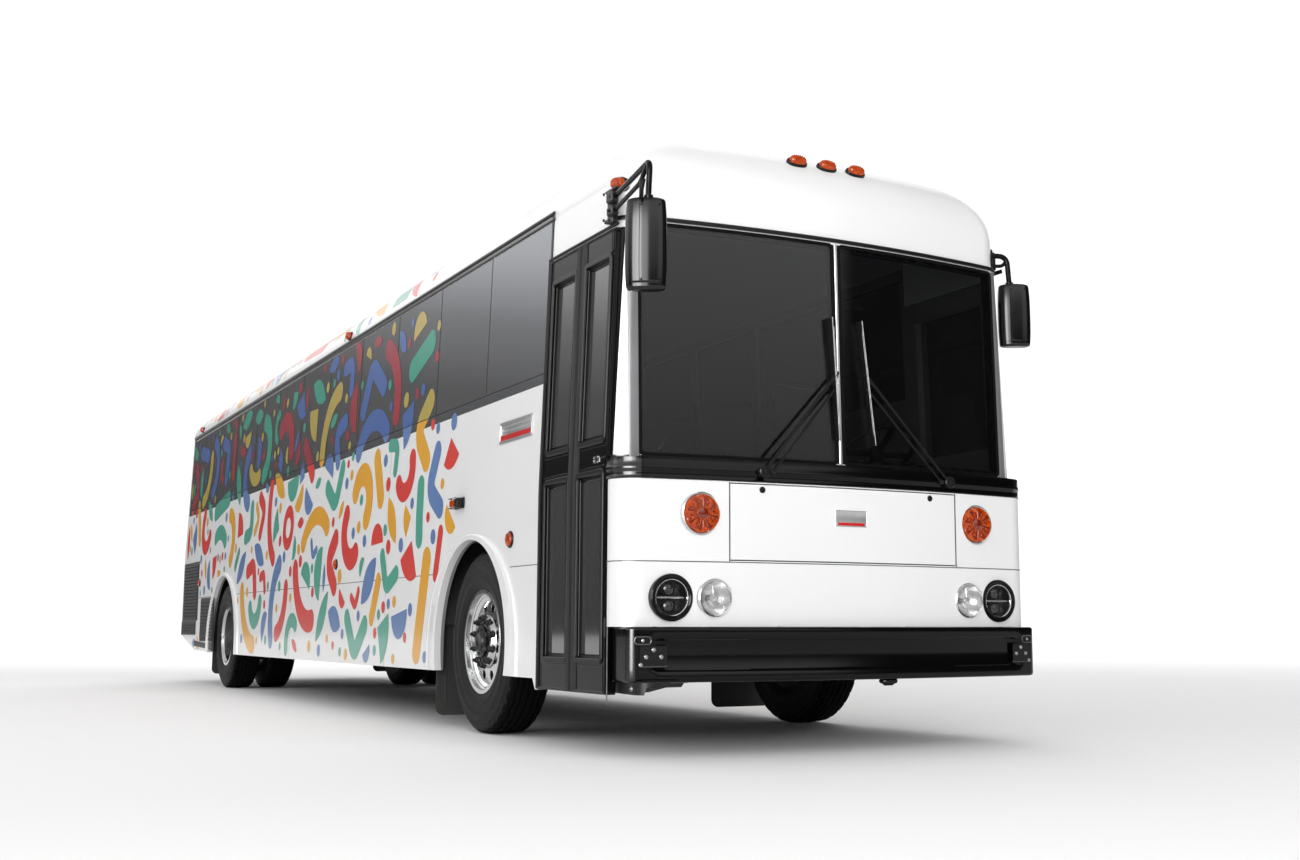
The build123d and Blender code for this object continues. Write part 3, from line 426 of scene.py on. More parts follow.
        def shrink(p, d):
            L = math.hypot(p[0] - cx, p[1] - cy) or 1.0
            return (p[0] - (p[0] - cx) / L * d, p[1] - (p[1] - cy) / L * d)
        sg = 1 if h1 > h0 else -1
        lev = [(h0, 0.0), (h1 - sg * c, 0.0), (h1, c)] if c > 0 else [(h0, 0.0), (h1, 0.0)]
        vs = []
        for h, d in lev:
            for p in poly:
                q = shrink(p, d)
                vs.append(to3(q[0], q[1], h))
        fs = [tuple(range(n)), tuple(range((len(lev) - 1) * n, len(lev) * n))]
        for a in range(len(lev) - 1):
            for i in range(n):
                fs.append((a * n + i, a * n + (i + 1) % n, (a + 1) * n + (i + 1) % n, (a + 1) * n + i))
        self.add(vs, fs, mi)

    def hexbolt(self, p, axis, r, h, washer=1.5, mi=0):
        self.lathe([(0, 0), (r * washer, 0), (r * washer, h * 0.2), (r * washer * 0.9, h * 0.26), (0, h * 0.26)], p, axis, 16, mi)
        self.lathe([(0, h * 0.2), (r, h * 0.2), (r, h * 0.9), (r * 0.86, h), (0, h)], p, axis, 6, mi)

    def rivet(self, p, axis, r, mi=0, n=8):
        self.lathe([(r, 0), (r * 0.92, r * 0.28), (r * 0.55, r * 0.5), (0, r * 0.58)], p, axis, n, mi)


def make(name, g, mats, body=ROOT, angle=32.0, recalc=True, smooth=True):
    me = bpy.data.meshes.new(name)
    me.from_pydata([tuple(p) for p in g.v], [], g.f)
    mats = mats if isinstance(mats, (list, tuple)) else [mats]
    for m in mats:
        me.materials.append(m)
    me.polygons.foreach_set("material_index", g.m)
    bm = bmesh.new()
    bm.from_mesh(me)
    if recalc:
        bmesh.ops.recalc_face_normals(bm, faces=bm.faces)
    lim = math.radians(angle)
    for f in bm.faces:
        f.smooth = smooth
    for e in bm.edges:
        e.smooth = len(e.link_faces) == 2 and e.calc_face_angle(0.0) < lim
    bm.to_mesh(me)
    bm.free()
    o = bpy.data.objects.new(name, me)
    bpy.context.scene.collection.objects.link(o)
    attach(o, body)
    return o


def rounded(w, h, r, n=6, cx=0.0, cy=0.0):
    pts = []
    for (sx, sy, a0) in ((1, 1, 0), (-1, 1, pi / 2), (-1, -1, pi), (1, -1, 1.5 * pi)):
        for i in range(n + 1):
            a = a0 + pi / 2 * i / n
            pts.append((cx + sx * (w / 2 - r) + r * math.cos(a), cy + sy * (h / 2 - r) + r * math.sin(a)))
    return pts


def dense(poly, step):
    out = []
    n = len(poly)
    for i in range(n):
        a, b = poly[i], poly[(i + 1) % n]
        d = math.hypot(b[0] - a[0], b[1] - a[1])
        k = max(1, int(d / step))
        for j in range(k):
            out.append((a[0] + (b[0] - a[0]) * j / k, a[1] + (b[1] - a[1]) * j / k))
    return out


def side_pt(x, z, side, proud=0.0):
    """point on the side skin at height z (below the corner), moved out by proud"""
    y, zz, ny, nz = on_profile(t_of_z(z))
    return Vector((x, side * (y + ny * proud), zz + nz * proud))


def skin_pt(x, t, side, proud=0.0):
    y, zz, ny, nz = on_profile(t)
    return Vector((x, side * (y + ny * proud), zz + nz * proud))


def front_pt(y, z, proud=0.0):
    s = 0.0 if z < Z_BAND0 else (SETBACK if z < Z_BAND1 + 0.0005 else ws_setback(z))
    if Z_BAND0 <= z < Z_BAND1:
        s = 0.0
    x = front_x(y, s)
    n = Vector((math.sqrt(FRONT_R ** 2 - y * y), y, 0)).normalized()
    return Vector((x, y, z)) + n * proud


def plan_path(s, h, r, n_arc=20, n_cor=12, x_back=5.3, side=0):
    """plan outline from the left flank round the nose to the right flank, as (x, y, nx, ny)"""
    ox = FX - s - FRONT_R
    yc = h - r
    xc = ox + math.sqrt((FRONT_R - r) ** 2 - yc ** 2)
    k = FRONT_R / (FRONT_R - r)
    ty = yc * k
    a1 = math.atan2(ty - yc, ox + (xc - ox) * k - xc)
    half = []
    for i in range(n_arc + 1):
        y = ty * i / n_arc
        x = ox + math.sqrt(FRONT_R ** 2 - y * y)
        n = Vector((x - ox, y)).normalized()
        half.append((x, y, n.x, n.y))
    for i in range(1, n_cor + 1):
        a = a1 + (pi / 2 - a1) * i / n_cor
        half.append((xc + r * math.cos(a), yc + r * math.sin(a), math.cos(a), math.sin(a)))
    half.append((x_back, h, 0.0, 1.0))
    other = [(x, -y, nx, -ny) for x, y, nx, ny in half[:0:-1]]
    return other + half


def cad(name, mats, pick=None):
    """material for a CAD node; pick(centre, normal) chooses a slot for each face"""
    o = N[name]
    o.data.materials.clear()
    mats = mats if isinstance(mats, (list, tuple)) else [mats]
    for m in mats:
        o.data.materials.append(m)
    if pick:
        idx = [pick(p.center, p.normal) for p in o.data.polygons]
        o.data.polygons.foreach_set("material_index", idx)
    else:
        o.data.polygons.foreach_set("material_index", [0] * len(o.data.polygons))
    return o


# ------------------------------------------------------------------ CAD nodes that stay, with their materials
def wall_pick(side):
    def pick(c, n):
        y, z, ny, nz = on_profile(t_of_z(min(c.z, Z_DRIP + 0.2)))
        if abs(c.y) < y - 0.012:
            return 1
        if 1.868 < c.z < WIN_Z0 + 0.001 and c.x < WIN_X0 - 0.004 and n.y * side > 0.5:
            return 0
        return 0
    return pick


for s, nm in ((-1, "right"), (1, "left")):
    cad(nm + "_side_wall", [WHITE, LINING], wall_pick(s))
    cad(nm + "_side_windows", GL_SIDE)
cad("roof", [WHITE_ROOF, CEIL], lambda c, n: 1 if (n.z < -0.2 or (abs(c.y) < half_width(c.z) - 0.03 and c.z < 3.09 and n.z < 0.2 and abs(n.x) < 0.5)) else 0)
cad("front_cap", [WHITE, LINING, BLACK_SATIN], lambda c, n: 2 if (c.x > 5.40 and abs(c.y) < 1.0856 and 1.4144 < c.z < 2.5556 and n.x > -0.25) else (1 if (n.x < -0.25 or n.z < -0.6) else 0))
cad("lower_front_panel", [WHITE, BLACK_SATIN], lambda c, n: 1 if n.x < -0.25 else 0)
cad("front_access_panel", [WHITE, BLACK_SATIN], lambda c, n: 1 if n.x < -0.25 else 0)
cad("wiper_cowl", [BLACK, BLACK_HI], lambda c, n: 1 if abs(c.y) > 1.06 and 0.2 < abs(n.y) < 0.93 else 0)
cad("rear_wall", [WHITE, LINING], lambda c, n: 1 if n.x > 0.5 else 0)
cad("rear_window", GL_SIDE)
cad("engine_door", [WHITE, BLACK_SATIN], lambda c, n: 1 if n.x > 0.5 else 0)
cad("left_emergency_door", [WHITE, LINING], lambda c, n: 1 if n.y < -0.5 else 0)
cad("windshield", GL_FRONT)
cad("entrance_door_front_leaf", DOOR_BLACK)
cad("entrance_door_rear_leaf", DOOR_BLACK)
cad("entrance_steps", FLOORM)
cad("floor", FLOORM)
cad("wheelhouses", [CHASSIS, FLOORM], lambda c, n: 1 if (n.z > 0.5 and c.z > 1.1) else 0)
cad("engine_cover", LINING)
cad("chassis_frame", CHASSIS)
cad("suspension", CHASSIS)
cad("front_axle", CAST)
cad("rear_axle", CAST)
cad("left_knuckle", CAST)
cad("right_knuckle", CAST)
cad("tie_rod", STEEL)
cad("engine", CAST)
cad("fuel_tank", TANK)
cad("rear_bumper", BLACK)
cad("mud_flaps", FLAP)
cad("dashboard", DASH)
cad("steering_wheel", DASH)
cad("drivers_seat_base", CHASSIS)
cad("seat_frames", BLACK_SATIN)
cad("left_mirror", BLACK_TRIM)
cad("right_mirror", BLACK_TRIM)
cad("wipers", BLACK_SATIN)
cad("headlamps", GL_LENS)
cad("front_turn_lamps", AMBER)
cad("front_roof_hatch", WHITE_ROOF)
cad("rear_roof_hatch", WHITE_ROOF)
cad("front_bumper", BLACK)
cad("passenger_seats", LINING)
cad("drivers_seat", LINING)
for w in ("front_left_tyre", "front_right_tyre", "rear_left_tyres", "rear_right_tyres"):
    cad(w, TYRE)


def wheel_pick(axle_x, y_hub, r_hub):
    def pick(c, n):
        r = math.hypot(c.x - axle_x, c.z - TR)
        a = abs(c.y)
        if r < r_hub and a > y_hub:
            return 1
        if r < 0.215 and a < y_hub - 0.05:
            return 2
        return 0
    return pick


DRUM_AND_RIM_SHADE = surface("brake_drum_and_rim_painted_shade", (0.045, 0.042, 0.040), 0.7, metal=0.4, var=0.35, scale=14, bump=0.5, bump_scale=260, fine=0.3)
HUB = surface("black_hub", (0.010, 0.010, 0.011), 0.30, var=0.25, scale=16, bump=0.2, bump_scale=420, wear=0.12, spec=0.35)
TREAD = surface("tyre_tread_rubber", (0.0034, 0.0034, 0.0035), 0.78, var=0.35, scale=12, bump=0.30, bump_scale=600, fine=0.25, dirt=0.06, dirt_z=(0.0, 0.2), dirt_col=(0.010, 0.0095, 0.009), spec=0.07)
# each front rim's inner half (|y| < 0.985) takes the dark drum material too: painted shade over what is bright alloy;
# the hub centres are real drums
for w in ("front_left_wheel", "front_right_wheel"):
    cad(w, [ALLOY, HUB, DRUM_AND_RIM_SHADE], lambda c, n: (1 if (math.hypot(c.x - FA, c.z - TR) < 0.1125 and abs(c.y) > 1.09) else (2 if ((math.hypot(c.x - FA, c.z - TR) < 0.235 and abs(c.y) < 1.072) or abs(c.y) < 0.985) else 0)))
for w in ("rear_left_wheels", "rear_right_wheels"):
    cad(w, [ALLOY, HUB, DRUM_AND_RIM_SHADE], lambda c, n: (1 if (math.hypot(c.x - RA, c.z - TR) < 0.1135 and abs(c.y) > 0.93) else (2 if (abs(c.y) < 0.845 and math.hypot(c.x - RA, c.z - TR) < 0.24) else 0)))

# ------------------------------------------------------------------ tyres: ribbed tread, shoulder lugs, sidewall rings
def tyre_geo(g, xc, yc, out, steer=True):
    h = 0.1395
    n = 216
    base = []

    def P(r, d):
        base.append((r, d))
    # inner bead round the outer sidewall to the tread, then back down the other side
    side = [(0.2865, 0.104), (0.293, 0.112), (0.300, 0.1165), (0.303, 0.1205), (0.309, 0.1208), (0.313, 0.1235), (0.330, 0.1300), (0.352, 0.1352), (0.357, 0.1366),
            (0.361, 0.1352), (0.385, 0.1380), (0.410, 0.1380), (0.4135, 0.1392), (0.417, 0.1392), (0.4205, 0.1374), (0.445, 0.1345), (0.466, 0.1300), (0.4685, 0.1312),
            (0.474, 0.1310), (0.477, 0.1275), (0.492, 0.1225), (0.5020, 0.1175), (0.5095, 0.1115)]
    tread = [(0.5160, 0.1040), (0.5180, 0.0930), (0.5185, 0.0800), (0.5080, 0.0780), (0.5075, 0.0720), (0.5195, 0.0700), (0.5205, 0.0560), (0.5210, 0.0450), (0.5090, 0.0430),
             (0.5085, 0.0370), (0.5215, 0.0350), (0.5218, 0.0200), (0.5220, 0.0070), (0.5095, 0.0045)]
    prof = side + tread
    full = prof + [(r, -d) for r, d in prof[::-1]]
    m = len(full)
    ns = len(side)
    rows = []
    for i in range(n):
        a = 2 * pi * i / n
        row = []
        for k, (r, d) in enumerate(full):
            kk = k if k < m // 2 else m - 1 - k
            rr, dd = r, d
            if kk >= ns:
                wig = 0.0032 * math.sin(a * (n / 8) * (1 if d > 0 else 1) + (0 if d > 0 else pi))
                if r < 0.512:
                    dd = d + wig
                elif kk > ns:
                    dd = d + wig * 0.7
            ph = i % 6
            if ns - 3 <= kk <= ns + 1 and ph == (0 if d > 0 else 3):
                rr = r - (0.0065 if kk >= ns - 1 else 0.003)
                dd = dd - (0.0025 if dd > 0 else -0.0025) if kk < ns else dd
            if kk >= ns + 2 and r > 0.512 and (i % 9 == (0 if d > 0 else 4)):
                rr = r - 0.0022
            row.append(Vector((xc + rr * math.sin(a), yc + dd * out, TR + rr * math.cos(a))))
        rows.append(row)
    rows.append(rows[0])
    o = len(g.v)
    vs = [p for r in rows[:-1] for p in r]
    fs = []
    for i in range(n):
        j = (i + 1) % n
        for k in range(m - 1):
            fs.append((i * m + k, i * m + k + 1, j * m + k + 1, j * m + k))
        fs.append((i * m + m - 1, i * m, j * m, j * m + m - 1))
    g.add(vs, fs)
    # small nubs and a few raised bars on the outer sidewall
    for i in range(8):
        a = 2 * pi * i / 8 + 0.2
        for r in (0.435,):
            pts = []
            for q in range(7):
                b = a + (q - 3) * 0.012
                pts.append(Vector((xc + r * math.sin(b), yc + out * 0.1362, TR + r * math.cos(b))))
            g.tube(pts, 0.0022, 6)


FTY, RY1, RY2 = 1.028, 1.045, 0.702
for s, sd in ((1, "left"), (-1, "right")):
    g = Geo()
    tyre_geo(g, FA, s * FTY, s)
    o = make("front_%s_tyre_tread" % sd, g, [TYRE, TREAD], "front_%s_road_wheel" % sd, angle=26)
    for q in o.data.polygons:
        q.material_index = 1 if math.hypot(q.center.x - FA, q.center.z - TR) > 0.5035 else 0
    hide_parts("front_%s_tyre" % sd)
    g = Geo()
    tyre_geo(g, RA, s * RY1, s)
    tyre_geo(g, RA, s * RY2, -s)
    o = make("rear_%s_tyre_treads" % sd, g, [TYRE, TREAD], "rear_%s_road_wheels" % sd, angle=26)
    for q in o.data.polygons:
        q.material_index = 1 if math.hypot(q.center.x - RA, q.center.z - TR) > 0.5035 else 0
    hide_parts("rear_%s_tyres" % sd)

# wheel nuts, hub bolts, valve stems
for s, sd in ((1, "left"), (-1, "right")):
    g = Geo()
    k = Geo()
    ax = Vector((0, s, 0))
    for i in range(10):
        a = 2 * pi * i / 10
        c = Vector((FA + 0.133 * math.sin(a), s * (FTY + 0.098), TR + 0.133 * math.cos(a)))
        g.lathe([(0.024, 0), (0.024, 0.006), (0.021, 0.009), (0, 0.009)], c, ax, 14)
        g.lathe([(0.019, 0.008), (0.019, 0.026), (0.0165, 0.031), (0, 0.031)], c, ax, 6)
        g.lathe([(0.0105, 0.03), (0.0105, 0.044), (0.008, 0.047), (0, 0.047)], c, ax, 10)
    for i in range(8):
        a = 2 * pi * i / 8 + 0.2
        c = Vector((FA + 0.070 * math.sin(a), s * (FTY + 0.1275), TR + 0.070 * math.cos(a)))
        g.hexbolt(c, ax, 0.0085, 0.009)
    g.lathe([(0.097, 0.100), (0.097, 0.106), (0.090, 0.110), (0.090, 0.1285), (0.086, 0.1305), (0.058, 0.1305), (0.054, 0.136), (0.050, 0.1405), (0.030, 0.1412), (0.026, 0.139), (0, 0.139)],
            Vector((FA, s * FTY, TR)), ax, 36)
    make("front_%s_wheel_nuts" % sd, g, HUB, "front_%s_road_wheel" % sd)
    # bright rim lip beads, valve stem
    k.lathe([(0.2765, 0.1175), (0.2785, 0.1195), (0.2960, 0.1195), (0.2975, 0.1175)], Vector((FA, s * FTY, TR)), ax, 72)
    for rr, hh in ((0.2625, 0.0885), (0.2395, 0.0735), (0.1495, 0.0850)):
        k.lathe([(rr - 0.002, hh - 0.001), (rr - 0.0015, hh + 0.0012), (rr + 0.0015, hh + 0.0018), (rr + 0.003, hh + 0.0005)], Vector((FA, s * FTY, TR)), ax, 72)
    for i in range(10):
        a = 2 * pi * i / 10 + pi / 10
        c = Vector((FA + 0.200 * math.sin(a), s * (FTY + 0.0775), TR + 0.200 * math.cos(a)))
        k.lathe([(0.0268, -0.006), (0.0268, -0.0005), (0.0285, 0.0012), (0.0305, 0.0002), (0.0308, -0.003)], c, ax, 22)
    c = Vector((FA + 0.247 * math.sin(0.31), s * (FTY + 0.078), TR + 0.247 * math.cos(0.31)))
    k.tube([c, c + ax * 0.02, c + ax * 0.034 + Vector((-0.005, 0, -0.012)), c + ax * 0.05 + Vector((-0.012, 0, -0.04))], 0.0042, 8)
    make("front_%s_rim_trim" % sd, k, ALLOY, "front_%s_road_wheel" % sd)

    g = Geo()
    k = Geo()
    YM = 0.8735
    for i in range(10):
        a = 2 * pi * i / 10
        c = Vector((RA + 0.145 * math.sin(a), s * (YM + 0.0255), TR + 0.145 * math.cos(a)))
        g.lathe([(0.0225, 0), (0.0225, 0.006), (0.020, 0.008), (0, 0.008)], c, ax, 14)
        g.lathe([(0.018, 0.007), (0.018, 0.024), (0.0155, 0.028), (0, 0.028)], c, ax, 6)
        g.lathe([(0.0105, 0.027), (0.0105, 0.05), (0.008, 0.053), (0, 0.053)], c, ax, 10)
    for i in range(8):
        a = 2 * pi * i / 8
        c = Vector((RA + 0.088 * math.sin(a), s * (YM + 0.1495), TR + 0.088 * math.cos(a)))
        g.hexbolt(c, ax, 0.0095, 0.010)
    g.lathe([(0.109, 0.145), (0.109, 0.151), (0.104, 0.154), (0.062, 0.154), (0.058, 0.150), (0.030, 0.150), (0.028, 0.153), (0, 0.153)], Vector((RA, s * YM, TR)), ax, 36)
    make("rear_%s_wheel_nuts" % sd, g, HUB, "rear_%s_road_wheels" % sd)
    k.lathe([(0.2765, 0.1175), (0.2785, 0.1195), (0.2960, 0.1195), (0.2975, 0.1175)], Vector((RA, s * RY1, TR)), ax, 72)
    for rr, hh in ((0.2645, 0.0935), (0.2595, -0.060)):
        k.lathe([(rr - 0.004, hh), (rr - 0.0035, hh + 0.003), (rr, hh + 0.0035), (rr + 0.0015, hh + 0.001)], Vector((RA, s * RY1, TR)), ax, 72)
    for i in range(10):
        a = 2 * pi * i / 10 + pi / 10
        c = Vector((RA + 0.212 * math.sin(a), s * (YM + 0.0195), TR + 0.212 * math.cos(a)))
        k.lathe([(0.0262, -0.006), (0.0262, -0.0002), (0.0275, 0.0018), (0.0295, 0.0012), (0.030, -0.002)], c, ax, 22)
    c = Vector((RA + 0.235 * math.sin(0.31), s * (YM + 0.024), TR + 0.235 * math.cos(0.31)))
    k.tube([c, c + ax * 0.10, c + ax * 0.19 + Vector((0.004, 0, 0.004))], 0.0042, 8)
    make("rear_%s_rim_trim" % sd, k, ALLOY, "rear_%s_road_wheels" % sd)

# ------------------------------------------------------------------ nose: joints between panels, band, windshield surround
def front_strip(g, y0, y1, z0, z1, proud=0.0006, depth=0.004, n=None, mi=0):
    n = n or max(2, int(abs(y1 - y0) / 0.05))
    m = max(1, int(abs(z1 - z0) / 0.12))
    fr = [[front_pt(y0 + (y1 - y0) * j / n, z0 + (z1 - z0) * i / m, proud) for j in range(n + 1)] for i in range(m + 1)]
    bk = [[front_pt(y0 + (y1 - y0) * j / n, z0 + (z1 - z0) * i / m, proud - depth) for j in range(n + 1)] for i in range(m + 1)]
    g.slab(fr, bk, mi)


g = Geo()
for sy in (-1, 1):
    # seams each side of the access panel run down to the lower seam
    front_strip(g, sy * 0.674 - 0.0022, sy * 0.674 + 0.0022, 0.905, 1.290, 0.0004)
path = plan_path(0.0, 1.222, 0.150, x_back=5.60)
rows_f, rows_b = [], []
for z in (0.9055, 0.9105):
    rows_f.append([Vector((x + nx * 0.0005, y + ny * 0.0005, z)) for x, y, nx, ny in path])
    rows_b.append([Vector((x - nx * 0.003, y - ny * 0.003, z)) for x, y, nx, ny in path])
g.slab(rows_f, rows_b)
make("nose_panel_joints", g, SEAM)

# the upper nose panels stand a little proud above the lower joint, with a folded lip
g = Geo()
prof = [(-0.002, 0.9110), (0.0030, 0.9112), (0.0036, 0.9150), (0.0028, 0.9260), (-0.002, 0.9275)]
for a, b in ((-1.17, -0.678), (0.678, 1.17)):
    rows = []
    for dz in prof:
        rows.append([front_pt(a + (b - a) * j / 12, dz[1], dz[0]) if abs(a + (b - a) * j / 12) < 1.07 else
                     front_pt(math.copysign(1.07, a), dz[1], dz[0]) for j in range(13)])
    g.grid(rows)
make("nose_panel_lips", g, WHITE)

# gloss black band under the windshield, with a top ledge and a lower lip round the whole nose
g = Geo()
pb = plan_path(0.0, 1.222, 0.150, n_arc=28, x_back=5.592)
pc = plan_path(SETBACK, 1.222, 0.140, n_arc=28, x_back=5.592)
sec = [(0, -0.004, 1.2925), (0, 0.0035, 1.2935), (0, 0.0045, 1.298), (0, 0.0015, 1.303), (0, 0.0010, 1.330), (0, 0.0045, 1.336), (0, 0.0046, 1.352), (0, 0.001, 1.358), (0, 0.0008, 1.3935), (0, -0.002, 1.3962), (0, -0.012, 1.3972),
       (0.62, -0.012, 1.3985), (1, 0.010, 1.4010), (1, 0.0045, 1.4040), (1, 0.0040, 1.4110), (1, -0.002, 1.4125)]
rows = []
for w, d, z in sec:
    row = []
    for (x, y, nx, ny), (x2, y2, nx2, ny2) in zip(pb, pc):
        xx, yy = x * (1 - w) + x2 * w, y * (1 - w) + y2 * w
        nnx, nny = nx * (1 - w) + nx2 * w, ny * (1 - w) + ny2 * w
        row.append(Vector((xx + nnx * d, yy + nny * d, z)))
    rows.append(row)
g.grid(rows)
o = make("cowl_band", g, [BLACK, BLACK_HI])
for q in o.data.polygons:
    q.material_index = 1 if abs(q.center.y) > 1.06 and 0.25 < abs(q.normal.y) < 0.93 else 0

# cowl vents in the ledge
g = Geo()
for yy in (-0.78, 0.30):
    for i in range(10):
        y = yy + i * 0.036
        x = front_x(y, 0.045)
        g.box(x - 0.018, x + 0.018, y - 0.011, y + 0.011, 1.3965, 1.4012, 0.001)
make("cowl_vents", g, BLACK_TRIM)


def pane_ring(u0, u1, z0, z1, w, r, n=6):
    """outer and inner rounded outlines, the same number of points"""
    cx, cz = (u0 + u1) / 2, (z0 + z1) / 2
    o = rounded(u1 - u0, z1 - z0, r, n, cx, cz)
    i = rounded(u1 - u0 - 2 * w, z1 - z0 - 2 * w, max(0.004, r - w * 0.6), n, cx, cz)
    return o, i


def densify(o, i, step=0.06):
    a, b = [], []
    n = len(o)
    for k in range(n):
        p, q = o[k], o[(k + 1) % n]
        pi_, qi = i[k], i[(k + 1) % n]
        m = max(1, int(math.hypot(q[0] - p[0], q[1] - p[1]) / step))
        for j in range(m):
            f = j / m
            a.append((p[0] + (q[0] - p[0]) * f, p[1] + (q[1] - p[1]) * f))
            b.append((pi_[0] + (qi[0] - pi_[0]) * f, pi_[1] + (qi[1] - pi_[1]) * f))
    return a, b


def ring_on(g, to3, u0, u1, z0, z1, w, r, proud, under=-0.002, crown=0.0, mi=0, step=0.06, n=6):
    """a flat or crowned border laid on a surface; to3(u, z, proud)"""
    o, i = pane_ring(u0, u1, z0, z1, w, r, n)
    o, i = densify(o, i, step)
    m = len(o)
    fr = [(1.0, under), (1.0, proud * 0.6), (0.82, proud + crown), (0.18, proud + crown), (0.0, proud * 0.6), (0.0, under)]
    rows = []
    for f, d in fr:
        rows.append([to3(i[k][0] + (o[k][0] - i[k][0]) * f, i[k][1] + (o[k][1] - i[k][1]) * f, d) for k in range(m)])
    vs = [p for rw in rows for p in rw]
    fs = []
    for a in range(len(rows)):
        b = (a + 1) % len(rows)
        for k in range(m):
            fs.append((a * m + k, a * m + (k + 1) % m, b * m + (k + 1) % m, b * m + k))
    g.add(vs, fs, mi)


WY, WZ0, WZ1 = 1.085, 1.415, 2.555
g = Geo()
f = Geo()
for sy in (-1, 1):
    a, b = sorted((sy * 0.0125, sy * (WY + 0.004)))
    ring_on(g, lambda u, z, d: front_pt(u, z, d), a, b, WZ0 - 0.006, WZ1 + 0.005, 0.016, 0.030, 0.0070)
MATT = surface("matt_black_rubber", (0.006, 0.006, 0.006), 0.75, var=0.25, scale=30, bump=0.10, bump_scale=200, spec=0.06)
make("windshield_rubber", g, MATT)
g = Geo()
rows = []
for y, d in ((-0.0085, 0.001), (-0.0085, 0.0045), (-0.0055, 0.0068), (0.0055, 0.0068), (0.0085, 0.0045), (0.0085, 0.001)):
    rows.append([front_pt(y, WZ0 + 0.002 + (WZ1 - WZ0 - 0.002) * j / 12, d) for j in range(13)])
g.grid(rows)
make("windshield_centre_strip", g, SILVER)
# a seal line above the windshield
g = Geo()
pc = plan_path(SETBACK + 0.031, half_width(2.56) + 0.006, 0.140, n_arc=28, x_back=5.60)
rows = []
for d, z in ((-0.001, 2.5660), (0.0055, 2.5665), (0.0075, 2.5705), (0.0070, 2.5790), (0.0035, 2.5860), (-0.001, 2.5890)):
    rows.append([Vector((x + nx * d, y + ny * d, z)) for x, y, nx, ny in pc])
g.grid(rows)
make("cap_lower_trim", g, BLACK_TRIM)

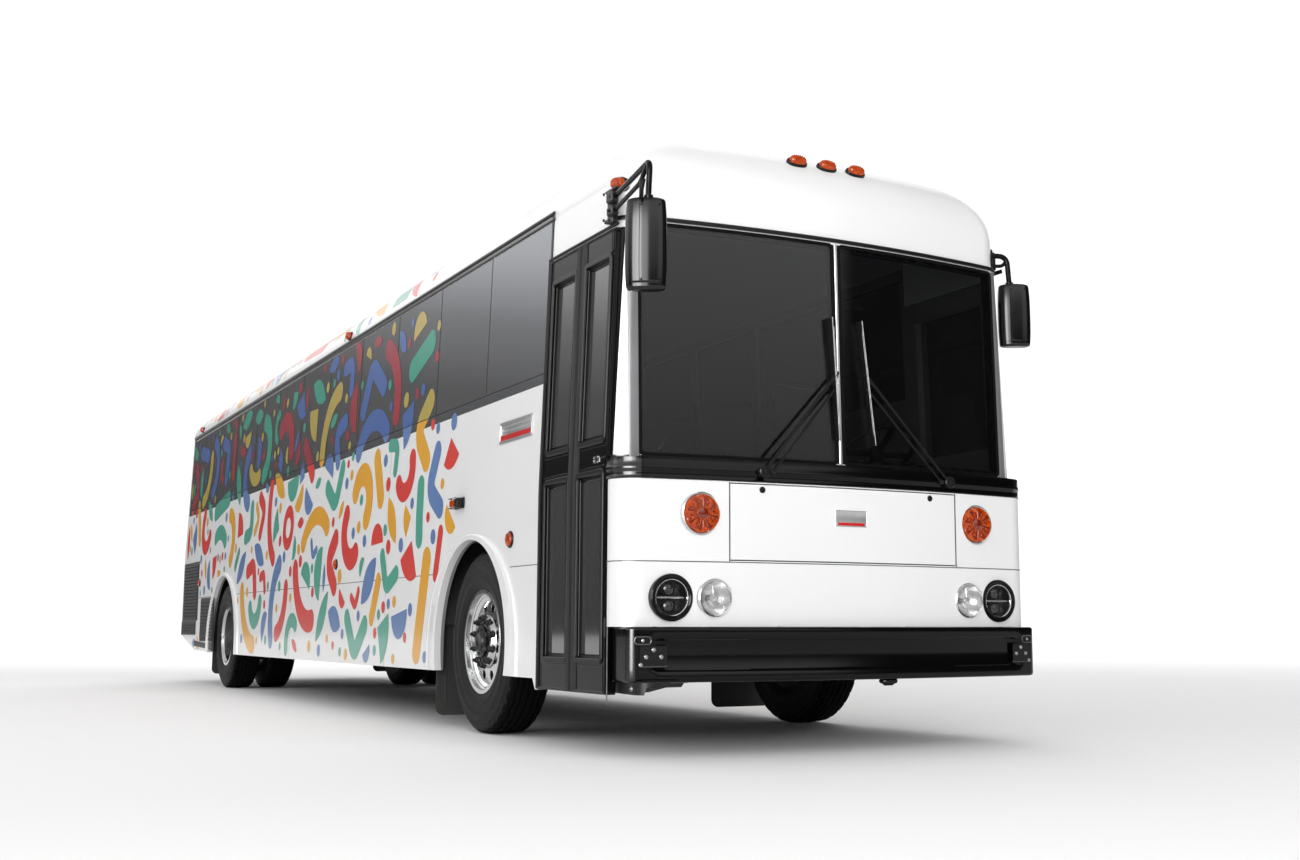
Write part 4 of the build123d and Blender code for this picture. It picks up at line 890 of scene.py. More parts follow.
# ------------------------------------------------------------------ head lamps and turn lamps
HEAD = ((0.967, 0.740, 0.109), (0.751, 0.740, 0.089))
TURN = (0.818, 1.135, 0.096)
bez, refl, lens, dark, ribs, bulb, proj, frost = Geo(), Geo(), Geo(), Geo(), Geo(), Geo(), Geo(), Geo()
X = Vector((1, 0, 0))
for sy in (-1, 1):
    # outer lamp: black bezel, dark bowl, crossbar and two projectors behind a clear cover
    y, z, r = HEAD[0]
    x = front_x(y)
    c = Vector((x, sy * y, z))
    bez.lathe([(r * 1.005, -0.006), (r * 1.02, 0.004), (r * 1.01, 0.013), (r * 0.965, 0.0185), (r * 0.88, 0.0180), (r * 0.83, 0.014), (r * 0.805, 0.007), (r * 0.80, -0.006)], c, X, 56)
    refl.lathe([(r * 0.805, 0.008), (r * 0.785, 0.0115), (r * 0.755, 0.010), (r * 0.735, 0.002), (r * 0.730, -0.006)], c, X, 56)
    dark.lathe([(r * 0.735, 0.000), (r * 0.70, -0.020), (r * 0.62, -0.038), (r * 0.35, -0.050), (0, -0.052)], c, X, 48)
    lens.lathe([(r * 0.80, 0.0105), (r * 0.70, 0.0155), (r * 0.45, 0.0205), (r * 0.2, 0.0220), (0, 0.0224)], c, X, 48)
    for k in (-1, 1):
        q = c + Vector((-0.030, 0, k * r * 0.40))
        dark.lathe([(r * 0.36, 0.010), (r * 0.34, 0.014), (r * 0.31, 0.010), (r * 0.29, -0.008)], q - Vector((0, 0, k * r * 0.03)), X, 36)
        proj.lathe([(r * 0.29, 0.000), (r * 0.26, 0.011), (r * 0.17, 0.0185), (r * 0.07, 0.0215), (0, 0.022)], q - Vector((0, 0, k * r * 0.03)), X, 30)
        for j in range(7):
            a = pi * (j + 0.5) / 7 * k
            p = q + Vector((0.008, math.cos(a) * r * 0.47, math.sin(a) * r * 0.25))
            dark.box(p.x - 0.010, p.x + 0.004, p.y - 0.0018, p.y + 0.0018, p.z - 0.012, p.z + 0.012, 0.0006)
    refl.box(x - 0.034, x - 0.006, sy * y - r * 0.66, sy * y + r * 0.66, z - 0.0040, z + 0.0040, 0.0015)
    for j in range(5):
        yy = sy * y + (j - 2) * r * 0.2
        bulb.lathe([(0.006, 0), (0.0055, 0.003), (0, 0.0045)], Vector((x - 0.0105, yy, z)), X, 12)
    # inner lamp: chrome bowl, bulb shield and fluted clear cover
    y, z, r = HEAD[1]
    x = front_x(y)
    c = Vector((x, sy * y, z))
    refl.lathe([(r * 1.00, -0.006), (r * 1.015, 0.004), (r * 1.0, 0.012), (r * 0.955, 0.0165), (r * 0.92, 0.0155), (r * 0.905, 0.008)], c, X, 56)
    refl.lathe([(r * 0.905, 0.008), (r * 0.86, 0.000), (r * 0.80, -0.012), (r * 0.66, -0.030), (r * 0.45, -0.047), (r * 0.24, -0.056), (r * 0.16, -0.057)], c, X, 56)
    dark.lathe([(r * 0.165, -0.058), (r * 0.15, -0.050), (0, -0.050)], c, X, 24)
    bulb.lathe([(r * 0.11, -0.052), (r * 0.115, -0.020), (r * 0.09, -0.013), (0, -0.011)], c, X, 24)
    refl.lathe([(r * 0.21, -0.018), (r * 0.215, -0.012), (r * 0.17, -0.006), (0, -0.0045)], c, X, 28)
    for j in range(3):
        a = 2 * pi * j / 3 + pi / 2
        p0 = c + Vector((-0.013, math.cos(a) * r * 0.2, math.sin(a) * r * 0.2))
        p1 = c + Vector((-0.016, math.cos(a) * r * 0.78, math.sin(a) * r * 0.78))
        refl.tube([p0, p1], 0.0016, 6)
    n = 48
    vs_rows = []
    for rr, hh in ((0.905, 0.0085), (0.70, 0.0150), (0.48, 0.0190), (0.25, 0.0212)):
        row = []
        for i in range(n):
            a = 2 * pi * i / n
            b = 0.0010 if i % 2 else 0.0
            row.append(c + Vector((hh + b * (rr > 0.3), math.cos(a) * rr * r, math.sin(a) * rr * r)))
        vs_rows.append(row)
    frost.grid(vs_rows, close_u=True)
    frost.lathe([(r * 0.25, 0.0212), (0, 0.0220)], c, X, n)
    for k in range(-4, 5):
        w = math.sqrt(max(0.0, 0.80 ** 2 - (k * 0.17) ** 2)) * r
        ribs.box(x + 0.0135 - abs(k) * 0.0006, x + 0.0155 - abs(k) * 0.0006, sy * y + k * 0.17 * r - 0.0012, sy * y + k * 0.17 * r + 0.0012, z - w, z + w, 0.0005)
    # clips and screws round each bezel
    for (yy, zz, rr), mat_g in ((HEAD[0], bez), (HEAD[1], refl)):
        for j in range(3):
            a = 2 * pi * j / 3 + pi / 6
            p = Vector((front_x(yy) + 0.0135, sy * yy + math.cos(a) * rr * 0.955, zz + math.sin(a) * rr * 0.955))
            mat_g.lathe([(0.0052, 0), (0.0050, 0.0022), (0.0035, 0.0032), (0, 0.0034)], p, X, 12)
o = make("headlamp_bezels", bez, BLACK)
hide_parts("headlamps")
make("headlamp_reflectors", refl, SILVER)
make("headlamp_bowls", dark, BLACK_TRIM)
make("headlamp_covers", lens, GL_LENS)
make("headlamp_fluted_covers", frost, GL_FROST)
make("headlamp_flutes", ribs, GL_FROST)
BULB = surface("bulb_glass", (0.55, 0.57, 0.60), 0.06, metal=0.85, var=0.15, scale=60, rough_var=0.04)
make("headlamp_projectors", bulb, BULB)
PROJ = surface("projector_glass", (0.010, 0.010, 0.012), 0.05, var=0.3, scale=60, rough_var=0.03, coat=0.5, coat_rough=0.02)
make("headlamp_dark_lenses", proj, PROJ)

am, ad, tr = Geo(), Geo(), Geo()
for sy in (-1, 1):
    y, z, r = TURN
    x = front_x(y)
    c = Vector((x, sy * y, z))
    tr.lathe([(r * 1.075, -0.004), (r * 1.080, 0.002), (r * 1.065, 0.006), (r * 1.02, 0.0085), (r * 0.985, 0.0075), (r * 0.975, 0.0020)], c, X, 56)
    # scalloped lens: radial lobes round a centre boss, with a stepped rim
    n = 96
    rows = []
    for q, (rr, hh, sc) in enumerate(((0.955, 0.000, 0), (0.95, 0.014, 0), (0.925, 0.0185, 0), (0.875, 0.0190, 0), (0.855, 0.0155, 0.2), (0.80, 0.0165, 0.7), (0.70, 0.0180, 1), (0.58, 0.0190, 1),
                                       (0.46, 0.0195, 0.8), (0.36, 0.0180, 0.3), (0.30, 0.0165, 0))):
        row = []
        for i in range(n):
            a = 2 * pi * i / n
            lobe = 0.0035 * sc * (0.5 + 0.5 * math.cos(a * 8))
            row.append(c + Vector((hh + lobe - 0.0018 * sc, math.cos(a) * rr * r, math.sin(a) * rr * r)))
        rows.append(row)
    am.grid(rows, close_u=True)
    am.lathe([(0.30 * r, 0.0165), (0.26 * r, 0.0205), (0.12 * r, 0.0215), (0, 0.0218)], c, X, 32)
    ad.lathe([(0.285 * r, 0.0200), (0.20 * r, 0.0228), (0.10 * r, 0.0236), (0, 0.0238)], c, X, 28)
    for k in range(16):
        # thin raised wedges between the lobes
        a = 2 * pi * (k + 0.5) / 16
        wd = 0.085 if k % 2 else 0.060
        row0, row1 = [], []
        for q in range(6):
            rr = 0.33 + (0.50 if k % 2 else 0.36) * q / 5
            hh = 0.0212 - 0.0016 * q / 5
            row0.append(c + Vector((hh, math.cos(a - wd * (0.5 + q * 0.12)) * rr * r, math.sin(a - wd * (0.5 + q * 0.12)) * rr * r)))
            row1.append(c + Vector((hh, math.cos(a + wd * (0.5 + q * 0.12)) * rr * r, math.sin(a + wd * (0.5 + q * 0.12)) * rr * r)))
        b0 = [p - Vector((0.004, 0, 0)) for p in row0]
        b1 = [p - Vector((0.004, 0, 0)) for p in row1]
        ad.slab([row0, row1], [b0, b1])
    for k in range(8):
        a = 2 * pi * (k + 0.5) / 8
        for rr in (0.50, 0.72):
            p = c + Vector((0.0168, math.cos(a) * rr * r, math.sin(a) * rr * r))
            ad.lathe([(0.0042 + rr * 0.002, 0.0), (0.0036 + rr * 0.002, 0.0016), (0, 0.0022)], p, X, 10)
        a = 2 * pi * k / 8
        ad.tube([c + Vector((0.0150, math.cos(a) * 0.86 * r, math.sin(a) * 0.86 * r)), c + Vector((0.0205, math.cos(a) * 0.64 * r, math.sin(a) * 0.64 * r)),
                 c + Vector((0.0208, math.cos(a) * 0.34 * r, math.sin(a) * 0.34 * r))], 0.0012, 6)
    for k in range(4):
        a = 2 * pi * k / 4 + 0.35
        p = c + Vector((0.0178, math.cos(a) * 0.905 * r, math.sin(a) * 0.905 * r))
        tr.lathe([(0.0045, 0), (0.0042, 0.0018), (0, 0.0026)], p, X, 10)
o = make("turn_lamp_lenses", am, AMBER, angle=50)
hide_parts("front_turn_lamps")
make("turn_lamp_prisms", ad, AMBER_D)
make("turn_lamp_rims", tr, SILVER)

# hood latches, blank badge plate, bumper-top clips
g, b, k = Geo(), Geo(), Geo()
for sy in (-1, 1):
    p = front_pt(sy * 0.50, 1.258, 0.0)
    nrm = Vector((1, sy * 0.07, 0)).normalized()
    g.lathe([(0.0155, -0.001), (0.0160, 0.0025), (0.0145, 0.0045), (0.0125, 0.0048), (0.0115, 0.0030), (0, 0.0030)], p, nrm, 24)
    g.box(p.x + 0.002, p.x + 0.0060, p.y - 0.0095, p.y + 0.0095, p.z - 0.0016, p.z + 0.0016, 0.0006)
rows = []
for dz, d in ((-0.040, -0.001), (-0.040, 0.0030), (-0.0375, 0.0042), (-0.034, 0.0030), (0.034, 0.0030), (0.0375, 0.0042), (0.040, 0.0030), (0.040, -0.001)):
    rows.append([front_pt(-0.093 + 0.186 * j / 10, 1.135 + dz, d) for j in range(11)])
b.grid(rows)
for sy in (-1, 1):
    b.box(front_x(0.093) - 0.0006, front_x(0.093) + 0.0042, sy * 0.0925 - 0.002, sy * 0.0925 + 0.002, 1.095, 1.175, 0.001)
    for dz in (-0.026, 0.026):
        b.rivet(front_pt(sy * 0.082, 1.135 + dz, 0.003), (1, 0, 0), 0.0042, n=12)
make("hood_latches", g, BLACK_TRIM, "front_panel")
make("nose_blank_plate", b, BADGE, "front_panel")
b = Geo()
b.grid([[front_pt(-0.080 + 0.160 * j / 10, z, d) for j in range(11)] for z, d in ((1.1005, 0.0022), (1.1010, 0.0036), (1.1145, 0.0036), (1.1150, 0.0022))])
# the red lens material glows faintly, so this printed bar glows though it is no lamp: painted light
make("nose_plate_bar", b, RED, "front_panel")
for yy in (-0.42, 0.33, 1.05, -1.05):
    p = front_pt(yy, 0.612, 0.0)
    k.box(p.x - 0.002, p.x + 0.0045, p.y - 0.008, p.y + 0.008, 0.6065, 0.6165, 0.001)
make("nose_lower_clips", k, WHITE)

# ------------------------------------------------------------------ front bumper: pressed channel with end hooks
bp = plan_path(-0.060, 1.196, 0.044, n_arc=60, n_cor=14, x_back=5.606)
bp_in = plan_path(0.010, 1.126, 0.006, n_arc=60, n_cor=14, x_back=5.606)


def bump_rows(sec, path):
    out = []
    for i, (d, z) in enumerate(sec):
        row = []
        for (x, y, nx, ny), q in zip(path, bp_in):
            if d < -0.05:
                row.append(Vector((q[0], q[1], z)))
                continue
            # the channel pressed into the face dies out before the smooth corners
            k = max(0.0, min(1.0, (abs(y) - 1.058) / 0.020)) if 6 <= i <= 11 else 0.0
            dd = d + (-0.0005 - d) * k * k * (3 - 2 * k)
            row.append(Vector((x + nx * dd, y + ny * dd, z)))
        out.append(row)
    return out


g = Geo()
sec = [(-0.070, 0.6045), (-0.014, 0.6045), (-0.006, 0.6025), (-0.0015, 0.5975), (-0.0005, 0.590), (-0.0005, 0.5560), (-0.0025, 0.5510), (-0.0145, 0.5435), (-0.0165, 0.5395), (-0.0165, 0.4130),
       (-0.0145, 0.4090), (-0.0030, 0.4010), (-0.0008, 0.3965), (-0.0005, 0.3700), (-0.0020, 0.3600), (-0.0080, 0.3530), (-0.0180, 0.3505), (-0.0600, 0.3505), (-0.0600, 0.3545), (-0.0190, 0.3545),
       (-0.0120, 0.3565), (-0.0070, 0.3610), (-0.0055, 0.3700), (-0.0060, 0.3950), (-0.0200, 0.4080), (-0.0215, 0.4130), (-0.0215, 0.5395), (-0.0200, 0.5450), (-0.0060, 0.5560), (-0.0060, 0.5970), (-0.014, 0.6005), (-0.070, 0.6005)]
rows = bump_rows(sec, bp)
vs = [p for r in rows for p in r]
n = len(rows[0])
fs = []
for i in range(len(rows)):
    j = (i + 1) % len(rows)
    for k in range(n - 1):
        fs.append((i * n + k, i * n + k + 1, j * n + k + 1, j * n + k))
fs.append(tuple(i * n for i in range(len(rows))))
fs.append(tuple(i * n + n - 1 for i in range(len(rows))))
g.add(vs, fs)
o = make("front_bumper_pressing", g, [BLACK, BLACK_HI], angle=40)
for q in o.data.polygons:
    q.material_index = 1 if abs(q.center.y) > 1.125 and 0.22 < abs(q.normal.y) < 0.95 else 0
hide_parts("front_bumper")

g = Geo()
bl = Geo()
eye = Geo()


def bpt(y, z, d=0.0):
    """point on the bumper's front face"""
    x = front_x(y, -0.060)
    n_ = Vector((math.sqrt(FRONT_R ** 2 - y * y), y, 0)).normalized()
    return Vector((x, y, z)) + n_ * d


for sy in (-1, 1):
    nx = Vector((1, sy * 0.16, 0)).normalized()
    # end plate lying in the channel, with a tow hook slot above it
    rows = []
    for d, z in ((-0.018, 0.421), (0.0015, 0.421), (0.0030, 0.423), (0.0030, 0.516), (0.0015, 0.518), (-0.018, 0.518)):
        rows.append([bpt(sy * (1.015 + 0.128 * j / 6), z, d) for j in range(7)])
    g.grid(rows)
    for yy, zz in ((1.113, 0.468), (1.041, 0.468), (1.077, 0.500), (1.138, 0.432)):
        p = bpt(sy * yy, zz, 0.0028)
        bl.lathe([(0.0100, 0), (0.0100, 0.0016), (0.0090, 0.0024), (0, 0.0024)], p, nx, 18)
        bl.lathe([(0.0070, 0.0020), (0.0070, 0.0060), (0.0050, 0.0080), (0, 0.0086)], p, nx, 14)
    # slotted eye
    pts = []
    for k in range(28):
        a = 2 * pi * k / 28
        ex = 0.030 * (1 if math.cos(a) > 0 else -1) + 0.018 * math.cos(a)
        pts.append(bpt(sy * 1.128 + ex * 0.80, 0.5420 + 0.0175 * math.sin(a), 0.0020 - max(0.0, abs(sy * 1.128 + ex * 0.80) - 1.152) * 0.25))
    eye.tube(pts, 0.0036, 8, closed=True)
    rows = []
    for z in (0.526, 0.555):
        rows.append([bpt(sy * (1.094 + 0.060 * j / 4), z, 0.0008) for j in range(5)])
    g.grid(rows)
    bl.lathe([(0.0080, 0), (0.0078, 0.004), (0.005, 0.0058), (0, 0.006)], bpt(sy * 1.128, 0.5420, 0.0008), nx, 14)
    # hook lip at the far edge of the plate
    eye.tube([bpt(sy * 1.140, 0.424, 0.0030), bpt(sy * 1.030, 0.424, 0.0034), bpt(sy * 1.012, 0.427, 0.0020)], 0.0024, 8)
    # two thin rods along the channel's edges, running in towards each corner
    for i in range(2):
        a, b = (0.545, 0.409)[i], 0
        g.tube([bpt(sy * 1.005, a, -0.008), bpt(sy * 0.60, a, -0.0085)], 0.0022, 6)
    # bracket under the door-side end, folded round the corner
    poly = [(0, 0.352), (0.185, 0.352), (0.262, 0.352), (0.250, 0.303), (0.205, 0.297), (0.02, 0.312), (0, 0.322)]
    xs = 5.606

    def wrap(u, v, h, sy=sy):
        # u runs forwards along the side, round the corner and onto the face
        L, rc = 0.150, 0.085
        if u <= L:
            return Vector((xs + u, sy * (1.168 - h), v))
        a = (u - L) / rc
        if a <= 1.40:
            return Vector((xs + L + (rc - h) * math.sin(a), sy * (1.168 - rc + (rc - h) * math.cos(a)), v))
        y = 1.168 - rc + (rc - h) * math.cos(1.40) - (u - L - 1.40 * rc)
        x1_ = xs + L + (rc - h) * math.sin(1.40)
        return Vector((x1_ + 0.16 * (1.168 - rc - y) * 0.95, sy * y, v))
    cols = 34
    total = 0.430

    def low(u):
        pts_ = ((0.0, 0.312), (0.012, 0.300), (0.222, 0.297), (0.236, 0.330), (0.400, 0.333), (0.412, 0.3505), (0.430, 0.3510))
        for (u0_, v0_), (u1_, v1_) in zip(pts_[:-1], pts_[1:]):
            if u <= u1_ + 1e-9:
                return v0_ + (v1_ - v0_) * (u - u0_) / (u1_ - u0_)
        return 0.351
    us = sorted(set([total * j / cols for j in range(cols + 1)] + [0.012, 0.222, 0.236, 0.400, 0.412]))
    top = [wrap(u, 0.3525, 0) for u in us]
    bot = [wrap(u, low(u), 0) for u in us]
    topb = [wrap(u, 0.3525, 0.006) for u in us]
    botb = [wrap(u, low(u), 0.006) for u in us]
    if sy < 0:
        g.slab([top, bot], [topb, botb])
        p = wrap(0.150, 0.325, 0) + Vector((0, sy * 0.0005, 0))
        bl.lathe([(0.0120, 0), (0.0120, 0.002), (0, 0.0024)], p, (0, sy, 0), 16)
        bl.lathe([(0.0078, 0.002), (0.0078, 0.0075), (0, 0.0085)], p, (0, sy, 0), 6)
    # end plate closing the channel behind the corner
    g.box(5.6055, 5.611, *sorted((sy * 1.128, sy * 1.1945)), 0.353, 0.602, 0.0015)
    # thin bright strip hanging at the door's front edge
    if sy < 0:
        st = Geo()
        st.box(5.5895, 5.5975, -1.2205, -1.2155, 0.262, 0.6045, 0.0012)
        st.tube([(5.5935, -1.2165, 0.262), (5.5935, -1.2165, 0.245)], 0.0045, 8)
        make("door_edge_strip", st, surface("dull_strip", (0.10, 0.10, 0.10), 0.36, var=0.2, scale=40, bump=0.03, metal=0.4))
make("front_bumper_fittings", g, BLACK_SATIN)
make("front_bumper_bolts", bl, STEEL)
# the eye rings and hook lips are lighter grey than the black bumper: painted highlight on their raised edges
make("front_bumper_eyes", eye, surface("black_edge_painted_highlight", (0.10, 0.10, 0.10), 0.30, var=0.3, scale=40, bump=0.1, metal=0.4))
# small towing eye under the bumper, left of the middle
g = Geo()
g.box(5.795, 5.850, 0.165, 0.250, 0.328, 0.352, 0.008)
g.tube([(5.822, 0.172, 0.334), (5.822, 0.185, 0.324), (5.822, 0.230, 0.324), (5.822, 0.243, 0.334)], 0.007, 10)
make("under_bumper_eye", g, BLACK)

# ------------------------------------------------------------------ entrance door leaves
# painted highlight: grey strips standing for the thin bright lines on the door gaskets and wiper blades
BEAD_PAINTED_HIGHLIGHT = surface("gasket_bead_painted_highlight", (0.22, 0.22, 0.22), 0.30, var=0.25, scale=30, bump=0.08, metal=0.55)
D = {"front": (5.1775, 5.583, "entrance_front_leaf"), "rear": (4.762, 5.1675, "entrance_rear_leaf")}
for nm, (x0, x1, body) in D.items():
    xa, xb = x0 + 0.062, x1 - 0.062
    gl, ga, tr = Geo(), Geo(), Geo()

    def dpt(u, z, d=0.0):
        return side_pt(u, z, -1, d)
    for z0, z1 in ((1.500, 2.390), (0.455, 1.330)):
        # pane set back in its rubber
        fr, bk = [], []
        for i in range(9):
            z = z0 - 0.004 + (z1 - z0 + 0.008) * i / 8
            fr.append([dpt(xa - 0.004 + (xb - xa + 0.008) * j / 4, z, -0.020) for j in range(5)])
            bk.append([dpt(xa - 0.004 + (xb - xa + 0.008) * j / 4, z, -0.025) for j in range(5)])
        gl.slab(fr, bk)
        # outer gasket bead and the inner lip round the pane
        ring_on(ga, dpt, xa - 0.024, xb + 0.024, z0 - 0.024, z1 + 0.024, 0.026, 0.030, 0.0060, crown=0.0022)
        ring_on(ga, dpt, xa - 0.001, xb + 0.001, z0 - 0.001, z1 + 0.001, 0.020, 0.018, -0.0150, under=-0.024, crown=0.002)
    make("door_%s_glass" % nm, gl, GL_DOOR, body)
    # folded frame edges, header, kick panel with pressed border
    for z0, z1, e in ((2.412, 2.520, 0.0), (0.300, 0.425, 0.0), (1.362, 1.468, 0.0)):
        ring_on(tr, dpt, x0 + 0.030, x1 - 0.030, z0, z1, 0.007, 0.010, 0.0022)
    for xe in (x0 + 0.006, x1 - 0.006):
        pts = [dpt(xe, 0.300 + 2.22 * j / 30, 0.002) for j in range(31)]
        tr.tube(pts, 0.0042, 8)
    for zz in (0.302, 2.520):
        tr.tube([dpt(x0 + 0.006, zz, 0.002), dpt(x1 - 0.006, zz, 0.002)], 0.0042, 8)
    # thin grey strips along the edges of each pane's gasket: painted highlight lines
    bd = Geo()
    for z0, z1 in ((1.500, 2.390), (0.455, 1.330)):
        bd.tube([dpt(xa - 0.0235, z0 - 0.004 + (z1 - z0 + 0.008) * j / 16, 0.0035) for j in range(17)], 0.0022, 8)
        bd.tube([dpt(xb - 0.0030, z0 + 0.004 + (z1 - z0 - 0.008) * j / 16, -0.0140) for j in range(17)], 0.0016, 8)
    make("door_%s_beads" % nm, bd, BEAD_PAINTED_HIGHLIGHT, body)
    make("door_%s_pressings" % nm, tr, DOOR_BLACK, body)
    make("door_%s_gaskets" % nm, ga, BLACK_TRIM, body)
    # meeting rubber on the middle edge, a wide soft strip
    rb = Geo()
    ex0, ex1 = (x0 - 0.001, x0 + 0.066) if nm == "front" else (x1 - 0.050, x1 + 0.001)
    rows = []
    for u, d in ((0.0, -0.001), (0.02, 0.0045), (0.18, 0.0062), (0.5, 0.0066), (0.82, 0.0062), (0.98, 0.0045), (1.0, -0.001)):
        rows.append([dpt(ex0 + (ex1 - ex0) * u, 0.300 + 2.22 * j / 30, d) for j in range(31)])
    rb.grid(rows)
    he = x1 - 0.002 if nm == "front" else x0 + 0.002
    for j in range(3):
        z = (0.60, 1.40, 2.44)[j]
        rb.box(he - 0.010, he + 0.004, -1.2275 + 0.0, -1.2195 + 0.0, z - 0.045, z + 0.045, 0.002) if z < 1.35 else None
    make("door_%s_rubber" % nm, rb, RUBBER, body)
    if nm == "front":
        hd = Geo()
        c = dpt(5.448, 1.400, 0.001)
        ring_on(hd, dpt, 5.420, 5.476, 1.383, 1.419, 0.009, 0.006, 0.0050, crown=0.002)
        make("door_latch_ring", hd, CHROME, body)
        hb = Geo()
        hb.box(5.430, 5.466, c.y - 0.002, c.y + 0.003, 1.392, 1.410, 0.001)
        hb.lathe([(0.006, 0), (0.006, 0.003), (0, 0.0035)], dpt(5.440, 1.401, 0.0015), (0, -1, 0), 14)
        make("door_latch_core", hb, BLACK_TRIM, body)

# door surround: header lip, rear jamb rubber with a bright return
g, w = Geo(), Geo()
pts = [side_pt(4.750 + 0.845 * j / 12, 2.540, -1, 0.003) for j in range(13)]
g.tube(pts, 0.0085, 8)
rows = []
for u, d in ((4.7385, -0.001), (4.7390, 0.005), (4.7430, 0.0075), (4.7500, 0.0070), (4.7545, 0.0040), (4.7555, -0.004)):
    rows.append([side_pt(u, 0.292 + 2.245 * j / 24, -1, d) for j in range(25)])
g.grid(rows)
make("door_surround_rubber", g, RUBBER)
rows = []
for u, d in ((4.7300, -0.0005), (4.7305, 0.0030), (4.7330, 0.0040), (4.7370, 0.0040), (4.7380, 0.0005)):
    rows.append([side_pt(u, 0.292 + 1.580 * j / 16, -1, d) for j in range(17)])
w.grid(rows)
make("door_jamb_edge", w, SILVER)

# ------------------------------------------------------------------ side walls: glass band, rails, joints, flares, lamps
for s, sd in ((-1, "right"), (1, "left")):
    def sp(u, z, d=0.0, s=s):
        return side_pt(u, z, s, d)
    # grey band under the glass and a black line along its top edge
    band, line, seam, rail, rail2 = Geo(), Geo(), Geo(), Geo(), Geo()
    cuts = [(WIN_END - 0.004, -1.650), (-0.732, WIN_X0 + 0.030 if s < 0 else WIN_X0)] if s > 0 else [(WIN_END - 0.004, WIN_X0 + 0.022)]
    xa_all, xb_all = WIN_END, WIN_X0
    segs = [(WIN_END - 0.006, WIN_X0)] if s < 0 else [(WIN_END - 0.006, -1.652), (-0.730, WIN_X0)]
    for a, b in segs:
        n = max(2, int((b - a) / 0.4))
        for zz0, zz1, gg, pr in ((1.8765, 1.9290, band, 0.0009), (1.9290, 1.9350, line, 0.0016)):
            fr = [[sp(a + (b - a) * j / n, z, pr) for j in range(n + 1)] for z in (zz0, zz1)]
            bk = [[sp(a + (b - a) * j / n, z, pr - 0.0025) for j in range(n + 1)] for z in (zz0, zz1)]
            gg.slab(fr, bk)
        # body joint at floor height
    jx = [(-6.05, 4.738)] if s < 0 else [(-6.05, 5.50)]
    for a, b in jx:
        n = 40
        for za, zb, pr in ((0.9240, 0.9285, 0.0006),):
            # leave out the arches
            runs = []
            cur = []
            for j in range(n * 4 + 1):
                x = a + (b - a) * j / (n * 4)
                bad = abs(x - 3.708) < 0.625 or abs(x + 3.68) < 0.60
                if bad:
                    if len(cur) > 1:
                        runs.append(cur)
                    cur = []
                else:
                    cur.append(x)
            if len(cur) > 1:
                runs.append(cur)
            for r in runs:
                fr = [[sp(x, z, pr) for x in r] for z in (za, zb)]
                bk = [[sp(x, z, pr - 0.003) for x in r] for z in (za, zb)]
                seam.slab(fr, bk)
    # vertical joints between body panels, every second window post
    for k in range(0, 12, 3):
        x = WIN_X0 - WIN_P * k - 0.004
        if k and not (abs(x - 3.708) < 0.70 or abs(x + 3.68) < 0.80):
            fr = [[sp(x - 0.0009, z, 0.0004), sp(x + 0.0009, z, 0.0004)] for z in [0.345 + (1.873 - 0.345) * q / 8 for q in range(9)]]
            bk = [[sp(x - 0.0009, z, -0.002), sp(x + 0.0009, z, -0.002)] for z in [0.345 + (1.873 - 0.345) * q / 8 for q in range(9)]]
            seam.slab(fr, bk)
    # thin joints between the panes
    for k in range(0, 12):
        x = WIN_X0 - WIN_P * k
        if s > 0 and k in (7,):
            continue
        if k == 0:
            continue
        fr = [[sp(x - 0.0034, z, 0.0012), sp(x + 0.0034, z, 0.0012)] for z in [WIN_Z0 + (WIN_Z1 - WIN_Z0) * q / 6 for q in range(7)]]
        bk = [[sp(x - 0.0034, z, -0.004), sp(x + 0.0034, z, -0.004)] for z in [WIN_Z0 + (WIN_Z1 - WIN_Z0) * q / 6 for q in range(7)]]
        line.slab(fr, bk)
    for xv in ([WIN_X0 + 0.004, WIN_END - 0.008] if s < 0 else [WIN_X0 + 0.004, WIN_END - 0.008, -0.726, -1.656]):
        wdt = 0.011 if xv > 4.7 else 0.006
        fr = [[sp(xv - wdt, z, 0.0045), sp(xv + wdt, z, 0.0045)] for z in [1.8765 + (2.80 - 1.8765) * q / 8 for q in range(9)]]
        bk = [[sp(xv - wdt, z, -0.004), sp(xv + wdt, z, -0.004)] for z in [1.8765 + (2.80 - 1.8765) * q / 8 for q in range(9)]]
        line.slab(fr, bk)
    # drip rail: two dark beads with a grey gutter between, from the door to the rear corner
    t0 = t_of_z(WIN_Z1 + 0.002)
    prof = [(0.000, -0.001), (0.001, 0.006), (0.005, 0.0100), (0.011, 0.0100), (0.014, 0.0070), (0.016, 0.0038), (0.030, 0.0038), (0.032, 0.0075), (0.035, 0.0125), (0.041, 0.0150), (0.047, 0.0125), (0.050, 0.0060), (0.051, -0.001)]
    nx_ = 60
    xe0, xe1 = RX + 0.06, (4.790 if s < 0 else 5.30)
    rows = [[skin_pt(xe0 + (xe1 - xe0) * j / nx_, t0 + dt, s, pr) for j in range(nx_ + 1)] for dt, pr in prof]
    rail.grid(rows[:6])
    rail.grid(rows[6:])
    rail2.grid(rows[5:7])
    for rr in (rows,):
        pass
    make("side_%s_glass_band" % sd, band, GREY_BAND)
    make("side_%s_glass_lines" % sd, line, BLACK_TRIM)
    make("side_%s_panel_joints" % sd, seam, SEAM)
    make("side_%s_drip_rail" % sd, rail, BLACK)
    make("side_%s_drip_gutter" % sd, rail2, GREY_BAND)

